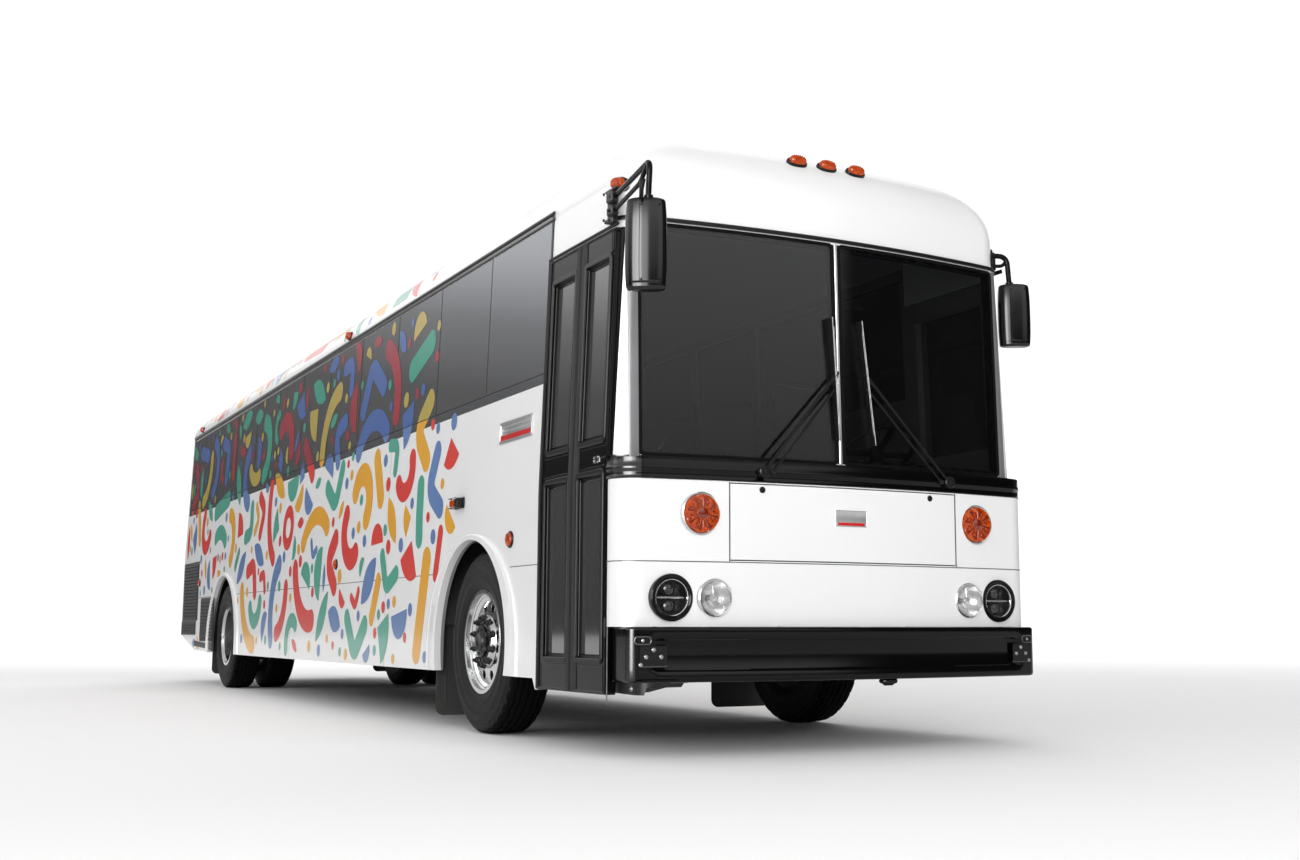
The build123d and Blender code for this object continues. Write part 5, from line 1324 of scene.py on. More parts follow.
    # wheel arch mouldings: a broad flat flange and an outer bead, with rivets
    fl, rv = Geo(), Geo()
    for (cx, cz, r, ea, eb, zlow) in ((3.708, 0.501, 0.604, 0.757, 0.637, 0.345), (-3.680, 0.430, 0.690, 0.820, 0.720, 0.345)):
        amax = math.asin(min(1.0, (zlow - cz) / r)) if abs(zlow - cz) < r else -pi / 2
        n = 60
        rows = [[] for _ in range(9)]
        inner, outer = [], []
        a_lo = math.asin((zlow - cz) / r)
        for j in range(n + 1):
            a = a_lo + (pi - 2 * a_lo) * j / n
            ix, iz = cx + r * math.cos(a), cz + r * math.sin(a)
            if math.sin(a) >= 0:
                ox, oz = cx + ea * math.cos(a), cz + eb * math.sin(a)
            else:
                ox, oz = cx + ea * (1 if math.cos(a) > 0 else -1), iz
                iz = iz
            inner.append((ix, iz))
            outer.append((ox, oz))
        for j in range(n + 1):
            (ix, iz), (ox, oz) = inner[j], outer[j]
            for q, (f, d) in enumerate(((-0.018, -0.030), (-0.018, 0.012), (0.02, 0.0155), (0.70, 0.0150), (0.74, 0.0120), (0.77, 0.0120), (0.80, 0.0165), (0.96, 0.0130), (1.0, -0.001))):
                rows[q].append(sp(ix + (ox - ix) * f, iz + (oz - iz) * f, d))
        fl.grid(rows)
        for j in range(4, n - 3, 5):
            (ix, iz), (ox, oz) = inner[j], outer[j]
            rv.rivet(sp(ix + (ox - ix) * 0.36, iz + (oz - iz) * 0.36, 0.0148), (0, s, 0), 0.0052, n=10)
    make("side_%s_arch_mouldings" % sd, fl, WHITE, angle=28)
    make("side_%s_arch_rivets" % sd, rv, WHITE)

    # marker lamps
    am, bs, rd = Geo(), Geo(), Geo()

    def round_lamp(gl, x, z, r, s=s):
        p = side_pt(x, z, s, 0.0)
        a = Vector((0, s, 0.02)).normalized()
        bs.lathe([(r * 1.12, -0.001), (r * 1.13, 0.006), (r * 1.05, 0.010), (r * 0.96, 0.0105), (r * 0.95, 0.004)], p, a, 32)
        gl.lathe([(r * 0.955, 0.004), (r * 0.94, 0.0145), (r * 0.86, 0.0185), (r * 0.62, 0.0215), (r * 0.3, 0.0232), (0, 0.0236)], p, a, 32)
        for k in range(5):
            w_ = math.sqrt(max(0, 0.78 ** 2 - ((k - 2) * 0.3) ** 2)) * r
            gl.box(p.x - w_, p.x + w_, *sorted((p.y + s * 0.0195, p.y + s * 0.0245)), z + (k - 2) * 0.3 * r - 0.0010, z + (k - 2) * 0.3 * r + 0.0010, 0.0004)

    round_lamp(am, 4.334, 1.076, 0.041)
    round_lamp(am, 0.700, 1.076, 0.036)
    round_lamp(rd, -5.047, 1.087, 0.036)
    # caged turn lamp ahead of the front wheel
    p = side_pt(3.495, 1.333, s, 0.0)
    b0, b1 = sorted((p.y, p.y + s * 0.010))
    bs.box(3.420, 3.575, b0, b1, 1.300, 1.366, 0.003)
    c0, c1 = sorted((p.y + s * 0.010, p.y + s * 0.046))
    am.box(3.428, 3.520, c0, c1, 1.308, 1.358, 0.009)
    for k in range(4):
        am.box(3.436 + k * 0.022, 3.4385 + k * 0.022, *sorted((c0 if s < 0 else c1, (c0 if s < 0 else c1) + s * 0.0015)), 1.314, 1.352, 0.0005)
    d0, d1 = sorted((p.y + s * 0.006, p.y + s * 0.050))
    bs.box(3.521, 3.566, d0, d1, 1.304, 1.362, 0.008)
    for zz in (1.3045, 1.3615):
        bs.tube([(3.424, p.y + s * 0.004, zz), (3.424, p.y + s * 0.051, zz), (3.566, p.y + s * 0.053, zz)], 0.0026, 6)
    make("side_%s_lamp_bases" % sd, bs, BLACK_TRIM)
    make("side_%s_amber_lamps" % sd, am, AMBER)
    make("side_%s_red_lamps" % sd, rd, RED)
    # blank plate by the first window
    if s < 0:
        b = Geo()
        x0, x1, z0, z1 = 4.115, 4.605, 1.617, 1.737
        rows = []
        for u, d in ((0, -0.001), (0, 0.003), (0.006, 0.0042), (0.994, 0.0042), (1, 0.003), (1, -0.001)):
            rows.append([sp(x0 + (x1 - x0) * u, z0 + (z1 - z0) * j / 4, d) for j in range(5)])
        b.grid(rows)
        ring_on(b, sp, x0 + 0.004, x1 - 0.004, z0 + 0.004, z1 - 0.004, 0.007, 0.012, 0.0062)
        for zz in (z0 + 0.064, z0 + 0.090):
            b.tube([sp(x0 + 0.025, zz, 0.0046), sp(x1 - 0.025, zz, 0.0046)], 0.0020, 6)
        for uu in (x0 + 0.018, x1 - 0.018):
            for zz in (z0 + 0.018, z1 - 0.018):
                b.rivet(sp(uu, zz, 0.004), (0, s, 0), 0.0045, n=10)
        make("side_blank_plate", b, BADGE)
        b = Geo()
        b.grid([[sp(x0 + 0.020 + (x1 - x0 - 0.040) * j / 8, z, d) for j in range(9)] for z, d in ((z0 + 0.016, 0.0030), (z0 + 0.0165, 0.0054), (z0 + 0.0445, 0.0054), (z0 + 0.045, 0.0030))])
        # the red lens material glows faintly, so this printed bar glows though it is no lamp: painted light
        make("side_plate_bar", b, RED)

# clearance lamps along the top of the nose
def dome(gl, bs_, M, a, b, h, n=28):
    """oval lamp: a dark rimmed base with a domed, ribbed lens; a and b are its half length and width"""
    def ring(k, z, ca=0.0):
        return [M @ Vector((a * k * abs(math.cos(t)) ** 0.82 * (1 if math.cos(t) > 0 else -1) + ca, b * k * abs(math.sin(t)) ** 0.82 * (1 if math.sin(t) > 0 else -1), z)) for t in [2 * pi * i / n for i in range(n)]]
    bs_.grid([ring(1.16, -0.022), ring(1.18, 0.004), ring(1.12, 0.009), ring(1.02, 0.010), ring(1.00, 0.004)], close_u=True)
    prof = ((1.0, 0.004), (0.985, h * 0.45), (0.93, h * 0.72), (0.82, h * 0.90), (0.62, h * 0.985), (0.35, h * 1.02), (0.02, h * 1.03))
    gl.grid([ring(k, z) for k, z in prof], close_u=True)
    for k in range(-3, 4):
        w_ = b * 0.74 * math.sqrt(max(0.05, 1 - (k / 4.2) ** 2))
        x_ = a * k / 4.2
        zz = h * (1.03 - 0.20 * (k / 4.2) ** 2)
        gl.box(x_ - a * 0.030, x_ + a * 0.030, -w_, w_, zz - 0.004, zz + 0.0014, 0.0005, M)


am, bs, rd = Geo(), Geo(), Geo()
for y in (-0.161, 0.022, 0.205):
    x = front_x(y, SETBACK + 0.130) - 0.003
    nrm = Vector((0.80, y * 0.12, 0.60)).normalized()
    u = Vector((0, 1, 0)) - nrm * nrm.y
    u.normalize()
    v = nrm.cross(u)
    M = Matrix((u, v, nrm)).transposed().to_4x4()
    M.translation = Vector((x, y, 2.999))
    dome(am, bs, M, 0.050, 0.029, 0.034)
for s in (-1, 1):
    for gl, x, z, nx_ in ((am, 0.688, 2.842, 0.0), (rd, -5.571, 2.842, -0.15), (am, 5.565 if s < 0 else 5.400, 2.745, 0.45 if s < 0 else 0.0)):
        yy, zz2, ny, nz = on_profile(t_of_z(z))
        inn = 0.012 if x > 5 else 0.0
        c = Vector((x, s * (yy - inn), zz2))
        nrm = Vector((nx_, s * ny, nz)).normalized()
        u = Vector((1, 0, 0)) - nrm * nrm.x
        u.normalize()
        v = nrm.cross(u)
        M = Matrix((u, v, nrm)).transposed().to_4x4()
        M.translation = c
        dome(gl, bs, M, 0.040, 0.030, 0.036)
make("roof_lamp_bases", bs, BLACK_TRIM)
make("roof_amber_lamps", am, AMBER)
make("roof_red_lamps", rd, RED)

# ------------------------------------------------------------------ printed pattern on the sides, glass and roof edge
def ink(name, col, gloss=False):
    if gloss:
        return surface(name, col, 0.14, var=0.07, scale=2.0, rough_var=0.05, bump=0.03, bump_scale=700, fine=0.10, ior=2.2, coat=0.0)
    return surface(name, col, 0.30, var=0.05, scale=2.5, rough_var=0.10, bump=0.05, bump_scale=300, coat=0.35, coat_rough=0.08, fine=0.04,
                   dirt=0.15, dirt_z=(0.25, 0.8), dirt_col=(0.45, 0.42, 0.38))


INKS = [ink("ink_red", (0.70, 0.040, 0.028)), ink("ink_yellow", (0.80, 0.385, 0.018)), ink("ink_teal", (0.075, 0.375, 0.275)), ink("ink_blue", (0.115, 0.215, 0.460)),
        ink("ink_glass_red", (0.380, 0.032, 0.050), True), ink("ink_glass_yellow", (0.520, 0.400, 0.090), True),
        ink("ink_glass_teal", (0.052, 0.360, 0.250), True), ink("ink_glass_blue", (0.075, 0.150, 0.420), True)]


def stroke_rows(line, w, nx=6):
    """rows across a thick round-ended line; line is a list of (u, v)"""
    P = [Vector((p[0], p[1])) for p in line]
    T = []
    for i in range(len(P)):
        a, b = P[max(0, i - 1)], P[min(len(P) - 1, i + 1)]
        T.append((b - a).normalized())
    rows = []
    h = w / 2

    def row(c, t, hw):
        nrm = Vector((-t.y, t.x))
        rows.append([c + nrm * (hw * (2 * k / nx - 1)) for k in range(nx + 1)])
    for j in range(5):
        a = pi / 2 * j / 5
        row(P[0] - T[0] * h * math.cos(a), T[0], h * math.sin(a) if j else 0.002)
    for p, t in zip(P, T):
        row(p, t, h)
    for j in range(1, 6):
        a = pi / 2 * j / 5
        row(P[-1] + T[-1] * h * math.sin(a), T[-1], h * math.cos(a) if j < 5 else 0.002)
    return rows


def arc_line(R, sweep, step=0.028):
    n = max(4, int(R * sweep / step))
    return [(R * math.cos(-sweep / 2 + sweep * i / n), R * math.sin(-sweep / 2 + sweep * i / n)) for i in range(n + 1)]


def motif(kind, rng, k=1.0):
    """returns (list of row grids, list of covering discs)"""
    if kind == "disc":
        r = rng.uniform(0.036, 0.060) * k
        rows = [[Vector((r * q / 3 * math.cos(2 * pi * i / 22), r * q / 3 * math.sin(2 * pi * i / 22))) for i in range(23)] for q in range(4)]
        rows[0] = [Vector((0.0008 * math.cos(2 * pi * i / 22), 0.0008 * math.sin(2 * pi * i / 22))) for i in range(23)]
        return [rows], [(0, 0, r)]
    if kind == "arc":
        R, sw, w = rng.uniform(0.105, 0.165) * k, rng.uniform(2.3, 3.5), rng.uniform(0.078, 0.098) * k
        ln = arc_line(R, sw)
        return [stroke_rows(ln, w)], [(p[0], p[1], w / 2) for p in ln[::2]] + [(ln[-1][0], ln[-1][1], w / 2)]
    if kind == "wide":
        R, sw, w = rng.uniform(0.22, 0.34) * k, rng.uniform(1.1, 1.8), rng.uniform(0.080, 0.100) * k
        ln = arc_line(R, sw)
        return [stroke_rows(ln, w)], [(p[0], p[1], w / 2) for p in ln[::2]] + [(ln[-1][0], ln[-1][1], w / 2)]
    if kind == "bar":
        L, w = rng.uniform(0.16, 0.36) * k, rng.uniform(0.078, 0.098) * k
        n = max(3, int(L / 0.03))
        ln = [(-L / 2 + L * i / n, 0.0) for i in range(n + 1)]
        return [stroke_rows(ln, w)], [(p[0], p[1], w / 2) for p in ln[::2]] + [(L / 2, 0, w / 2)]
    if kind == "chevron":
        L, w, r = rng.uniform(0.13, 0.20) * k, rng.uniform(0.072, 0.088) * k, 0.050 * k
        ang = rng.uniform(1.35, 1.75)
        a = (pi - ang)
        pts = []
        tlen = r * math.tan(a / 2)
        d1 = Vector((math.cos(ang / 2), math.sin(ang / 2)))
        d2 = Vector((math.cos(ang / 2), -math.sin(ang / 2)))
        n = max(2, int(L / 0.03))
        for i in range(n + 1):
            pts.append(d1 * (L - (L - tlen) * i / n))
        p1, p2 = d1 * tlen, d2 * tlen
        cen = Vector((r / math.sin(ang / 2), 0))
        q0 = math.atan2((p1 - cen).y, (p1 - cen).x)
        q1 = math.atan2((p2 - cen).y, (p2 - cen).x)
        if q1 < q0:
            q1 += 2 * pi
        for i in range(1, 6):
            q = q0 + (q1 - q0) * i / 6
            pts.append(cen + Vector((math.cos(q), math.sin(q))) * r)
        for i in range(n + 1):
            pts.append(d2 * (tlen + (L - tlen) * i / n))
        c = sum((Vector((p.x, p.y)) for p in pts), Vector((0, 0))) / len(pts)
        ln = [((p - c).x, (p - c).y) for p in pts]
        return [stroke_rows(ln, w)], [(p[0], p[1], w / 2) for p in ln[::2]] + [(ln[-1][0], ln[-1][1], w / 2)]
    if kind == "ring":
        R, w = rng.uniform(0.080, 0.115) * k, rng.uniform(0.050, 0.065) * k
        n = 30
        rows = [[Vector(((R - w / 2 + w * q / 4) * math.cos(2 * pi * i / n), (R - w / 2 + w * q / 4) * math.sin(2 * pi * i / n))) for i in range(n + 1)] for q in range(5)]
        return [rows], [(R * math.cos(2 * pi * i / 8), R * math.sin(2 * pi * i / 8), w / 2) for i in range(8)] + [(0, 0, R * 0.8)]
    if kind == "quarter":
        R = rng.uniform(0.13, 0.19) * k
        rows = []
        for q in range(6):
            rr = max(0.001, R * q / 5)
            rows.append([Vector((rr * math.cos(pi / 2 * i / 12) - R * 0.4, rr * math.sin(pi / 2 * i / 12) - R * 0.4)) for i in range(13)])
        return [rows], [(0.02 * k, 0.02 * k, R * 0.42), (-R * 0.25, -R * 0.25, R * 0.17), (R * 0.42, -R * 0.24, R * 0.17), (-R * 0.24, R * 0.42, R * 0.17), (R * 0.25, R * 0.2, R * 0.18)]
    if kind == "half":
        R = rng.uniform(0.085, 0.125) * k
        rows = []
        for q in range(6):
            rr = max(0.001, R * q / 5)
            rows.append([Vector((rr * math.cos(pi * i / 18), rr * math.sin(pi * i / 18) - R * 0.4)) for i in range(19)])
        return [rows], [(0, 0, R * 0.55), (-R * 0.6, -R * 0.2, R * 0.3), (R * 0.6, -R * 0.2, R * 0.3)]
    # petal: a lens-shaped leaf
    L, h = rng.uniform(0.14, 0.20) * k, rng.uniform(0.042, 0.056) * k
    rows = []
    for i in range(13):
        a = i / 12
        hw = h * math.sin(pi * a) ** 0.8 + 0.0008
        rows.append([Vector((L * (2 * a - 1) * 0.72, hw * (2 * q / 6 - 1))) for q in range(7)])
    return [rows], [(0, 0, h), (-L * 0.36, 0, h * 0.8), (L * 0.36, 0, h * 0.8), (-L * 0.62, 0, h * 0.4), (L * 0.62, 0, h * 0.4)]


def lay_out(seed, inside, x0, x1, t0, t1, feature, tries=5200, gap=0.030):
    rng = random.Random(seed)
    cell, placed, out = 0.25, {}, []

    def free(discs):
        for x, t, r in discs:
            if not inside(x, t, r):
                return False
            cx, cy = int(math.floor(x / cell)), int(math.floor(t / cell))
            for i in (-1, 0, 1):
                for j in (-1, 0, 1):
                    for (a, b, q) in placed.get((cx + i, cy + j), ()):
                        if (a - x) ** 2 + (b - t) ** 2 < (r + q + gap) ** 2:
                            return False
        return True

    def put(kind, x, t, rot, k, col):
        grids, discs = motif(kind, rng, k)
        ca, sa = math.cos(rot), math.sin(rot)
        dd = [(x + u * ca - v * sa, t + u * sa + v * ca, r) for u, v, r in discs]
        if not free(dd):
            return False
        for d in dd:
            placed.setdefault((int(math.floor(d[0] / cell)), int(math.floor(d[1] / cell))), []).append(d)
        out.append(([[[(x + p.x * ca - p.y * sa, t + p.x * sa + p.y * ca) for p in r] for r in gr] for gr in grids], col, (x, t)))
        return True
    for kind, x, t, rot, k, col in feature:
        put(kind, x, t, rot, k, col)
    kinds = ["arc"] * 8 + ["wide"] * 5 + ["bar"] * 3 + ["chevron"] * 5 + ["quarter"] * 2 + ["ring"] * 2 + ["half"] * 2 + ["petal"] * 2
    last = 0
    for i in range(tries):
        late = i > tries * 0.55
        k = 1.85 if i < tries * 0.14 else (1.50 if i < tries * 0.34 else (1.15 if not late else 0.90))
        kind = rng.choice(kinds) if not late else rng.choice(["disc", "disc", "bar", "petal", "half", "disc", "arc", "chevron"])
        x, t = rng.uniform(x0, x1), rng.uniform(t0, t1)
        # neighbours avoid the same colour
        near = sorted(((a - x) ** 2 + (b - t) ** 2, c) for _, c, (a, b) in out[-400:])[:2] if len(out) > 2 else []
        cols = [c for c in range(4) if c not in [q for _, q in near]]
        put(kind, x, t, rng.uniform(0, 2 * pi), k, rng.choice(cols))
    return out


def ink_mesh(name, shapes, side, proud=0.0014, to3=None, split=True, body=ROOT):
    g = Geo()
    fn = to3 or (lambda x, t: skin_pt(x, t, side, proud))
    for grids, col, _ in shapes:
        for rows in grids:
            g.grid([[fn(*p) for p in r] for r in rows], mi=col)
    me = bpy.data.meshes.new(name)
    me.from_pydata([tuple(p) for p in g.v], [], g.f)
    for m in INKS:
        me.materials.append(m)
    me.polygons.foreach_set("material_index", g.m)
    bm = bmesh.new()
    bm.from_mesh(me)
    if split:
        for z in (1.934, 2.752):
            bmesh.ops.bisect_plane(bm, geom=bm.verts[:] + bm.edges[:] + bm.faces[:], plane_co=(0, 0, z), plane_no=(0, 0, 1), dist=1e-5)
        for f in bm.faces:
            c = f.calc_center_median()
            if 1.934 < c.z < 2.752 and c.x < WIN_X0:
                f.material_index += 4
    for f in bm.faces:
        f.smooth = True
        if side and f.normal.y * side < 0 and abs(f.normal.y) > 0.2:
            f.normal_flip()
        elif side and abs(f.normal.y) <= 0.2 and f.normal.z < 0:
            f.normal_flip()
    bm.to_mesh(me)
    bm.free()
    o = bpy.data.objects.new(name, me)
    bpy.context.scene.collection.objects.link(o)
    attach(o, body)
    return o


T_TOP = t_of_z(3.030)
T_LOW = t_of_z(0.352)
T_GL0, T_GL1 = t_of_z(1.934), t_of_z(2.752)


def inside_side(side):
    lamps = [(4.334, 1.076, 0.07), (0.700, 1.076, 0.06), (-5.047, 1.087, 0.06), (3.495, 1.333, 0.12), (0.688, 2.842, 0.08), (-5.571, 2.842, 0.08)]
    boxes = [(-6.02, -5.10, 0.66, 1.34), (-6.06, -5.18, 0.49, 0.73), (-4.91, -4.40, 0.44, 0.93)]
    if side > 0:
        boxes += [(-1.70, -0.68, 0.90, 2.80)]

    def f(x, t, r):
        yy, z, _, _ = on_profile(t)
        lim = 3.47 - 0.10 * max(0.0, (z - 1.2)) if z < 1.93 else 3.02 - 0.12 * (z - 1.93)
        if x + r > lim or x - r < -6.03:
            return False
        if t + r > T_TOP or t - r < T_LOW:
            return False
        # rear skirt tapers upwards
        if x < -5.1:
            zl = 0.36 + (-5.21 - x) * 0.18 if x < -5.21 else 0.36
            if z - r < zl + 0.01:
                return False
        if ((x - 3.708) / (0.757 + r + 0.004)) ** 2 + ((z - 0.501) / (0.637 + r + 0.004)) ** 2 < 1 or (z < 0.52 and abs(x - 3.708) < 0.77 + r):
            return False
        if ((x + 3.680) / (0.820 + r + 0.004)) ** 2 + ((z - 0.430) / (0.720 + r + 0.004)) ** 2 < 1 or (z < 0.45 and abs(x + 3.68) < 0.83 + r):
            return False
        for a, b, q in lamps:
            if (a - x) ** 2 + (b - z) ** 2 < (q + r) ** 2:
                return False
        for a, b, c, d in boxes:
            if a - r < x < b + r and c - r < z < d + r:
                return False
        # the drip rail stands proud of the skin
        ta, tb = T_GL1 - 0.004, T_GL1 + 0.058
        if ta - r < t < tb + r and z > 2.6:
            return False
        return True
    return f


feature = [("wide", 1.65, 1.95, 0.5, 1.55, 0), ("wide", 0.55, 1.75, 2.4, 1.75, 1), ("arc", 1.10, 1.10, 3.9, 1.75, 0), ("wide", -0.35, 2.10, -0.9, 1.7, 0), ("ring", -0.95, 1.25, 0, 1.7, 0),
           ("arc", -1.30, 1.95, 1.1, 1.8, 0), ("wide", 0.05, 0.75, 1.7, 1.6, 1), ("chevron", -2.05, 1.45, 3.4, 1.8, 0), ("wide", -2.45, 2.15, 4.5, 1.55, 1), ("arc", 2.35, 1.45, 5.2, 1.5, 0),
           ("quarter", 0.35, 1.22, 0.8, 1.3, 0), ("half", -0.30, 1.42, 2.6, 1.5, 3), ("chevron", 2.05, 0.75, 1.2, 1.4, 2), ("wide", -1.35, 0.75, 5.6, 1.5, 0)]
for s, sd, seed in ((-1, "right", 11), (1, "left", 29)):
    fe = feature if s < 0 else [(k, -1.2 - x, t, pi - r, q, c) for k, x, t, r, q, c in feature]
    shapes = lay_out(seed, inside_side(s), -6.03, 3.50, T_LOW, T_TOP, fe, tries=15000)
    ink_mesh("pattern_%s" % sd, shapes, s)

# ------------------------------------------------------------------ mirrors: barrel heads, seams, screws, bent arms and clamp blocks
GLOSS = surface("black_gloss_moulding", (0.0030, 0.0030, 0.0033), 0.16, var=0.2, scale=8, bump=0.012, bump_scale=500, rough_var=0.04, coat=0.15, coat_rough=0.10, spec=0.32)
ARM = surface("black_powder_coat", (0.0026, 0.0026, 0.0028), 0.24, var=0.2, scale=11, bump=0.08, bump_scale=600, rough_var=0.05, spec=0.13)
MIRROR = surface("mirror_glass", (0.62, 0.64, 0.65), 0.03, metal=1.0, var=0.03, scale=6, rough_var=0.02)


def bend(pts, r=0.04, n=7):
    """round the corners of a line of points"""
    P = [Vector(p) for p in pts]
    out = [P[0]]
    for i in range(1, len(P) - 1):
        a, b, c = P[i - 1], P[i], P[i + 1]
        k = min(r, (a - b).length * 0.45, (c - b).length * 0.45)
        p0, p1 = b + (a - b).normalized() * k, b + (c - b).normalized() * k
        for j in range(n + 1):
            t = j / n
            out.append(p0 * (1 - t) ** 2 + b * 2 * t * (1 - t) + p1 * t * t)
    out.append(P[-1])
    return out


def mirror_head(nm, cx, cy, z0, z1, yaw, half_d=0.046, half_w=0.093):
    g, sc, mg = Geo(), Geo(), Geo()
    ca, sa = math.cos(yaw), math.sin(yaw)

    def P(a, t, k=1.0, push=0.0):
        s_ = 1.0 - 0.085 * abs(2 * t - 0.98) ** 3.2 - (0.10 * max(0, (0.035 - t) / 0.035) ** 2 if t < 0.035 else 0.0) - (0.16 * max(0, (t - 0.965) / 0.035) ** 2 if t > 0.965 else 0.0)
        c_, q_ = math.cos(a), math.sin(a)
        # rounder at the front, flat at the glass
        u = half_d * (abs(c_) ** (0.97 if c_ > 0 else 0.35)) * (1 if c_ > 0 else -1)
        v = half_w * (abs(q_) ** (0.90 if c_ > 0 else 0.72)) * (1 if q_ > 0 else -1)
        u, v = u * s_ * k + push * c_, v * s_ * k + push * q_
        return Vector((cx + u * ca - v * sa, cy + u * sa + v * ca, z0 + (z1 - z0) * t))
    ts = [0.0, 0.006, 0.016, 0.035, 0.06, 0.0705, 0.073, 0.0755, 0.10] + [0.10 + 0.84 * i / 18 for i in range(1, 19)] + [0.965, 0.982, 0.994, 1.0]
    n = 56
    rows = []
    for t in ts:
        k = 1.0
        if t == 0.073:
            k = 0.975
        if t in (0.0, 1.0):
            k = 0.80
        if t in (0.006, 0.994):
            k = 0.93
        rows.append([P(2 * pi * i / n, t, k) for i in range(n)])
    g.grid(rows, close_u=True)
    g.add(rows[0], [tuple(range(n))])
    g.add(rows[-1], [tuple(range(n))])
    # joints of the two shells and their screws
    for a in (-0.27, 1.05):
        pts = [P(a, t, 1.0, 0.0004) for t in [0.085 + 0.86 * i / 20 for i in range(21)]]
        sc.tube(pts, 0.0013, 6, mi=0)
        for t in (0.10, 0.915):
            p = P(a + (0.09 if a < 0 else -0.33), t, 1.0, 0.0)
            sc.lathe([(0.0062, 0), (0.0060, 0.0022), (0.0045, 0.0034), (0.0022, 0.0030), (0, 0.0018)], p, (math.cos(yaw + a), math.sin(yaw + a), 0), 12, mi=1)
    # glass on the rear face
    back = -half_d * 1.02
    for (t0_, t1_) in ((0.09, 0.66), (0.69, 0.93)):
        fr, bk = [], []
        for i in range(9):
            t = t0_ + (t1_ - t0_) * i / 8
            fr.append([Vector((cx + (back - 0.001) * ca - v * sa, cy + (back - 0.001) * sa + v * ca, z0 + (z1 - z0) * t)) for v in [half_w * 0.80 * (2 * j / 6 - 1) for j in range(7)]])
            bk.append([Vector((cx + (back + 0.006) * ca - v * sa, cy + (back + 0.006) * sa + v * ca, z0 + (z1 - z0) * t)) for v in [half_w * 0.80 * (2 * j / 6 - 1) for j in range(7)]])
        mg.slab(fr, bk)
    return g, sc, mg


# right-hand mirror
g, sc, mg = mirror_head("r", 6.180, -1.3175, 2.072, 2.490, math.radians(-29), half_d=0.044)
make("right_mirror_glass", mg, MIRROR)
o = make("right_mirror_head", g, GLOSS, angle=50)
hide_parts("right_mirror")
make("right_mirror_joints", sc, [MATT, BLACK_SATIN])
ar, ab = Geo(), Geo()
ar.tube(bend([(5.572, -1.195, 2.668), (6.205, -1.312, 2.660), (6.192, -1.314, 2.480)], 0.050), 0.0135, 14)
ar.tube(bend([(5.575, -1.196, 2.600), (6.060, -1.290, 2.598), (6.175, -1.310, 2.648)], 0.035), 0.0110, 12)
ar.tube([(6.090, -1.297, 2.610), (6.090, -1.299, 2.478)], 0.0105, 12)
ar.tube([(6.215, -1.345, 2.565), (6.232, -1.372, 2.470)], 0.0070, 10)
for p in ((6.205, -1.318, 2.490), (6.090, -1.299, 2.492)):
    ar.lathe([(0.019, -0.012), (0.021, -0.008), (0.021, 0.006), (0.016, 0.011), (0, 0.011)], p, (0, 0, 1), 18)
# clamp and bracket at the body corner
ab.box(5.520, 5.580, -1.206, -1.172, 2.545, 2.715, 0.006)
ab.box(5.512, 5.640, -1.214, -1.196, 2.700, 2.712, 0.003)
ab.box(5.560, 5.625, -1.232, -1.190, 2.635, 2.692, 0.007)
ab.box(5.555, 5.615, -1.226, -1.186, 2.575, 2.618, 0.006)
ab.box(5.500, 5.545, -1.212, -1.190, 2.552, 2.570, 0.003)
for x, z in ((5.600, 2.663), (5.585, 2.597), (5.536, 2.690), (5.536, 2.560)):
    ab.lathe([(0.0085, 0), (0.0080, 0.006), (0, 0.0075)], (x, -1.228, z), (0, -1, 0), 6)
make("right_mirror_arms", ar, ARM)
make("right_mirror_bracket", ab, BLACK_SATIN)

# left-hand mirror
g, sc, mg = mirror_head("l", 5.540, 1.3180, 2.168, 2.528, math.radians(-30), half_w=0.091)
make("left_mirror_glass", mg, MIRROR)
o = make("left_mirror_head", g, GLOSS, angle=50)
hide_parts("left_mirror")
make("left_mirror_joints", sc, [MATT, BLACK_SATIN])
ar, ab = Geo(), Geo()
ar.tube(bend([(5.485, 1.180, 2.692), (5.520, 1.292, 2.694), (5.532, 1.296, 2.520)], 0.070), 0.0150, 14)
ar.tube(bend([(5.487, 1.180, 2.632), (5.515, 1.262, 2.634), (5.522, 1.290, 2.668)], 0.025), 0.0105, 12)
ar.lathe([(0.021, -0.014), (0.023, -0.009), (0.023, 0.006), (0.017, 0.012), (0, 0.012)], (5.532, 1.296, 2.530), (0, 0, 1), 18)
ab.box(5.455, 5.510, 1.168, 1.206, 2.600, 2.728, 0.007)
ab.box(5.462, 5.502, 1.200, 1.235, 2.606, 2.716, 0.010)
for z in (2.622, 2.704):
    ab.lathe([(0.0080, 0), (0.0075, 0.006), (0, 0.0075)], (5.482, 1.234, z), (0, 1, 0), 6)
make("left_mirror_arm", ar, ARM)
make("left_mirror_bracket", ab, BLACK_SATIN)

# ------------------------------------------------------------------ gloss edge of the windshield round both corners; its pale grey is a painted reflection of the white side in the glass's curved edge
g, lf = Geo(), Geo()
for sy in (-1, 1):
    rows = []
    for j in range(19):
        z = 1.400 + 1.156 * j / 18
        s_ = ws_setback(z)
        h = half_width(z) + 0.0005
        pc = [p for p in plan_path(s_, h, 0.140, n_arc=60, n_cor=40, x_back=5.55) if 0.9 < sy * p[1] < h - 1e-4]
        pc.sort(key=lambda p: sy * p[1])

        def at(yy):
            i = 0
            while i < len(pc) - 2 and sy * pc[i + 1][1] < yy:
                i += 1
            a, b = pc[i], pc[i + 1]
            f_ = (yy - sy * a[1]) / (sy * b[1] - sy * a[1])
            return [a[k] + (b[k] - a[k]) * f_ for k in range(4)]
        row = []
        for yy, d in ((1.086, -0.003), (1.087, 0.0050), (1.089, 0.0062), (1.096, 0.0064), (1.103, 0.0064), (1.110, 0.0064), (1.117, 0.0064), (1.124, 0.0064), (1.130, 0.0062), (1.132, 0.0050), (1.132, -0.003)):
            q = at(yy)
            row.append(Vector((q[0] + q[2] * d, q[1] + q[3] * d, z)))
        rows.append(row)
    g.grid(rows)
